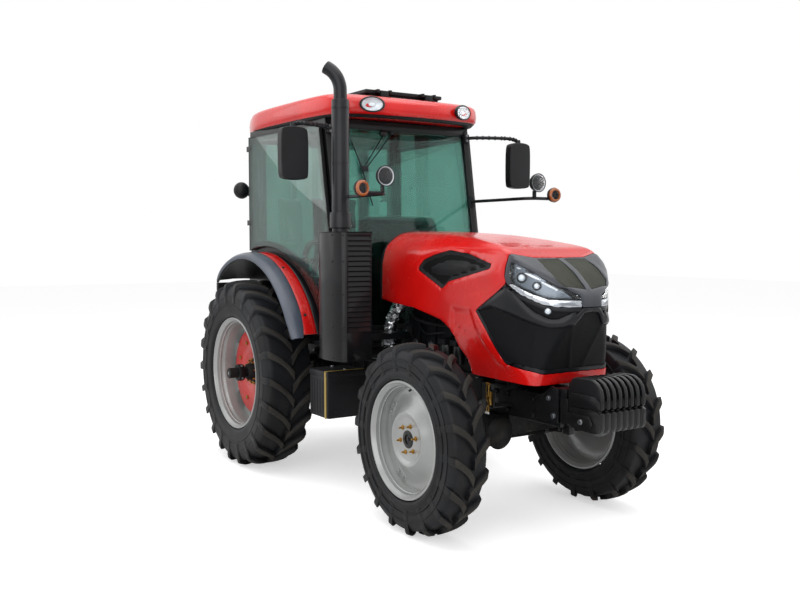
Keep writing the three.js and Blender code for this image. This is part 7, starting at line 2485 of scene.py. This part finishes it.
        build.stand(self.shop, "dash_console", "root", [PLASTIC, SATIN, WHITE_TAG, STEEL], ["dashboard"])

    def _steering_wheel(self) -> None:
        """Makes the steering wheel: padded rim, three spokes and the boss."""
        build = Build()
        plastic, satin = range(2)
        place = moved((0.545, 0, 1.64)) @ Matrix.Rotation(-math.radians(37.0), 4, "Y")
        loop = [(0.195 + 0.0145 * math.cos(2 * math.pi * k / 16), 0.0145 * math.sin(2 * math.pi * k / 16))
                for k in range(16)]
        build.turned(loop, 72, "z", plastic, place)
        build.solid([(0.0168, -0.019), (0.034, -0.019), (0.042, -0.01), (0.042, 0.012), (0.036, 0.022),
                     (0.02, 0.0255), (0, 0.026), (0, 0.0175), (0.0168, 0.0175)], 40, "z", satin, place)
        for i in range(3):
            turn = place @ Matrix.Rotation(math.radians(90 + 120 * i), 4, "Z")
            build.pipe([(0.034, 0, 0.004), (0.09, 0, -0.002), (0.15, 0, -0.001), (0.19, 0, 0)], 0.013, 14, satin, 4,
                       turn, squash=0.5)
        build.stand(self.shop, "steering_wheel_rim", "steering_wheel", [PLASTIC, SATIN], ["steering_wheel"])

    def _controls(self) -> None:
        """Makes the side console's levers and knobs."""
        build = Build()
        plastic, red, yellow, steel = range(4)
        for x, finish in ((0.02, red), (0.10, plastic), (0.18, yellow), (0.26, plastic)):
            build.pipe([(x, -0.4, 1.325), (x + 0.01, -0.4, 1.4), (x - 0.005, -0.39, 1.46)], 0.006, 10, steel, 4)
            build.solid([(0, -0.02), (0.014, -0.016), (0.018, 0), (0.014, 0.02), (0, 0.024)], 20, "z", finish,
                        moved((x - 0.006, -0.39, 1.475)))
        build.box((-0.05, -0.46, 1.325), (0.29, -0.35, 1.345), 0.01, plastic)
        build.pipe([(0.45, 0.2, 0.94), (0.44, 0.22, 1.15), (0.4, 0.24, 1.32)], 0.008, 10, steel, 4)
        build.solid([(0, -0.02), (0.016, -0.018), (0.02, 0), (0.016, 0.02), (0, 0.024)], 20, "z", plastic,
                    moved((0.4, 0.24, 1.335)))
        build.stand(self.shop, "control_levers", "root", [PLASTIC, WHEEL_RED, YELLOW, STEEL])
# ---------------------------------------------------------------- studio and start

@dataclass
class Studio:
    """The floor, the soft light, the white surround and the camera."""

    shop: Shop

    def build(self) -> None:
        """Sets up everything round the tractor."""
        scene = bpy.context.scene
        scene.view_settings.view_transform = "Standard"
        self._floor()
        self._lights()
        self._world(scene)
        self._camera(scene)

    def _floor(self) -> None:
        """Makes the pale floor under the wheels."""
        mesh = bpy.data.meshes.new("pale_floor")
        size = 30.0
        mesh.from_pydata([(-size, -size, 0), (size, -size, 0), (size, size, 0), (-size, size, 0)], [], [(0, 1, 2, 3)])
        material = bpy.data.materials.new("pale_floor")
        material.use_nodes = True
        material.node_tree.nodes.clear()
        nodes = Nodes(material.node_tree)
        shade = nodes.add("BsdfDiffuse", {"Color": (0.9, 0.9, 0.9, 1.0)})
        path = nodes.add("LightPath").outputs
        seen = nodes.maths("MAXIMUM", path["Is Camera Ray"], path["Is Transmission Ray"])
        bright = nodes.add("Emission", {"Color": (1.0, 1.0, 1.0, 1.0), "Strength": nodes.maths("MULTIPLY", seen,
                                                                                               0.52)})
        both = nodes.add("AddShader", {0: shade.outputs[0], 1: bright.outputs[0]})
        nodes.add("OutputMaterial", {"Surface": both.outputs[0]})
        mesh.materials.append(material)
        floor = bpy.data.objects.new("pale_floor", mesh)
        bpy.context.scene.collection.objects.link(floor)

    def _lights(self) -> None:
        """Hangs four large soft lights."""
        panels = (("overhead", (0.5, -0.5, 6.5), (0, 0, 0.8), 8.0, 280.0),
                  ("front_side", (6.0, -6.0, 4.0), (0.6, 0, 0.9), 8.0, 250.0),
                  ("rear_side", (-5.0, -6.0, 4.5), (-0.8, 0, 1.0), 7.0, 110.0),
                  ("far_side", (2.0, 7.0, 4.5), (0, 0, 1.0), 8.0, 130.0))
        for name, place, aim, size, watts in panels:
            light = bpy.data.lights.new(name, "AREA")
            light.shape, light.size, light.energy = "DISK", size, watts
            lamp = bpy.data.objects.new(name, light)
            lamp.location = place
            lamp.rotation_euler = (Vector(aim) - Vector(place)).to_track_quat("-Z", "Y").to_euler()
            bpy.context.scene.collection.objects.link(lamp)

    def _world(self, scene: bpy.types.Scene) -> None:
        """Makes the surround white where it is seen and softer where it only gives light."""
        world = bpy.data.worlds.new("white_surround")
        world.use_nodes = True
        world.node_tree.nodes.clear()
        nodes = Nodes(world.node_tree)
        path = nodes.add("LightPath").outputs
        seen = nodes.maths("MAXIMUM", path["Is Camera Ray"], path["Is Transmission Ray"])
        seen = nodes.maths("MAXIMUM", seen, path["Is Glossy Ray"])
        level = nodes.spread(seen, 0, 1.0, 0.5, 1.0)
        back = nodes.add("Background", {"Color": (1.0, 1.0, 1.0, 1.0), "Strength": level})
        nodes.add("OutputWorld", {"Surface": back.outputs[0]})
        scene.world = world

    def _camera(self, scene: bpy.types.Scene) -> None:
        """Places the camera at standing height off the front right corner."""
        data = bpy.data.cameras.new("camera")
        data.lens, data.sensor_width, data.clip_end = 41.2, 36.0, 200.0
        camera = bpy.data.objects.new("camera", data)
        camera.location = (5.253, -3.444, 1.621)
        yaw, pitch = 2.572, -0.064
        way = Vector((math.cos(pitch) * math.cos(yaw), math.cos(pitch) * math.sin(yaw), math.sin(pitch)))
        camera.rotation_euler = way.to_track_quat("-Z", "Y").to_euler()
        scene.collection.objects.link(camera)
        scene.camera = camera


@dataclass
class Plain:
    """The frame's own nodes that stay in sight, and their finishes."""

    shop: Shop

    def build(self) -> None:
        """Dresses every node of the frame."""
        finishes = {
            "fender": RED, "door_frame": BLACK, "door_glass": GLASS, "quarter_window": GLASS, "windscreen": SCREEN,
            "rear_window": GLASS, "cab_frame": BLACK, "cab_floor": MAT, "roof_hatch": PLASTIC, "roof": RED,
            "transmission": CAST, "front_axle": CAST, "knuckle": CAST, "engine": CAST, "tie_rod": BLACK,
            "seat_base": PLASTIC, "seat": CLOTH, "dashboard": PLASTIC, "steering": PLASTIC, "mirror": PLASTIC,
            "lamp_arm": PLASTIC, "battery": PLASTIC, "fuel": PLASTIC, "lift_rod": STEEL, "hood": RED, "nose": NOSE,
            "front_grille": GRILLE, "rear_left_tyre": RUBBER, "rear_right_tyre": RUBBER, "front_left_tyre": RUBBER,
            "front_right_tyre": RUBBER, "rear_left_wheel": SILVER, "rear_right_wheel": SILVER,
            "front_left_wheel": SILVER, "front_right_wheel": SILVER,
        }
        for node in frame["nodes"]:
            keys = [key for key in finishes if node.startswith(key)]
            self.shop.dress(node, finishes[max(keys, key=len)] if keys else BLACK)


def main() -> None:
    """Builds the whole scene."""
    logging.basicConfig(level=logging.INFO, format="%(name)s: %(message)s")
    shop = Shop()
    for part in (Plain, Hood, Wheels, Fenders, Cab, Chassis, Interior, Studio):
        part(shop).build()


if __name__ == "__main__":
    main()
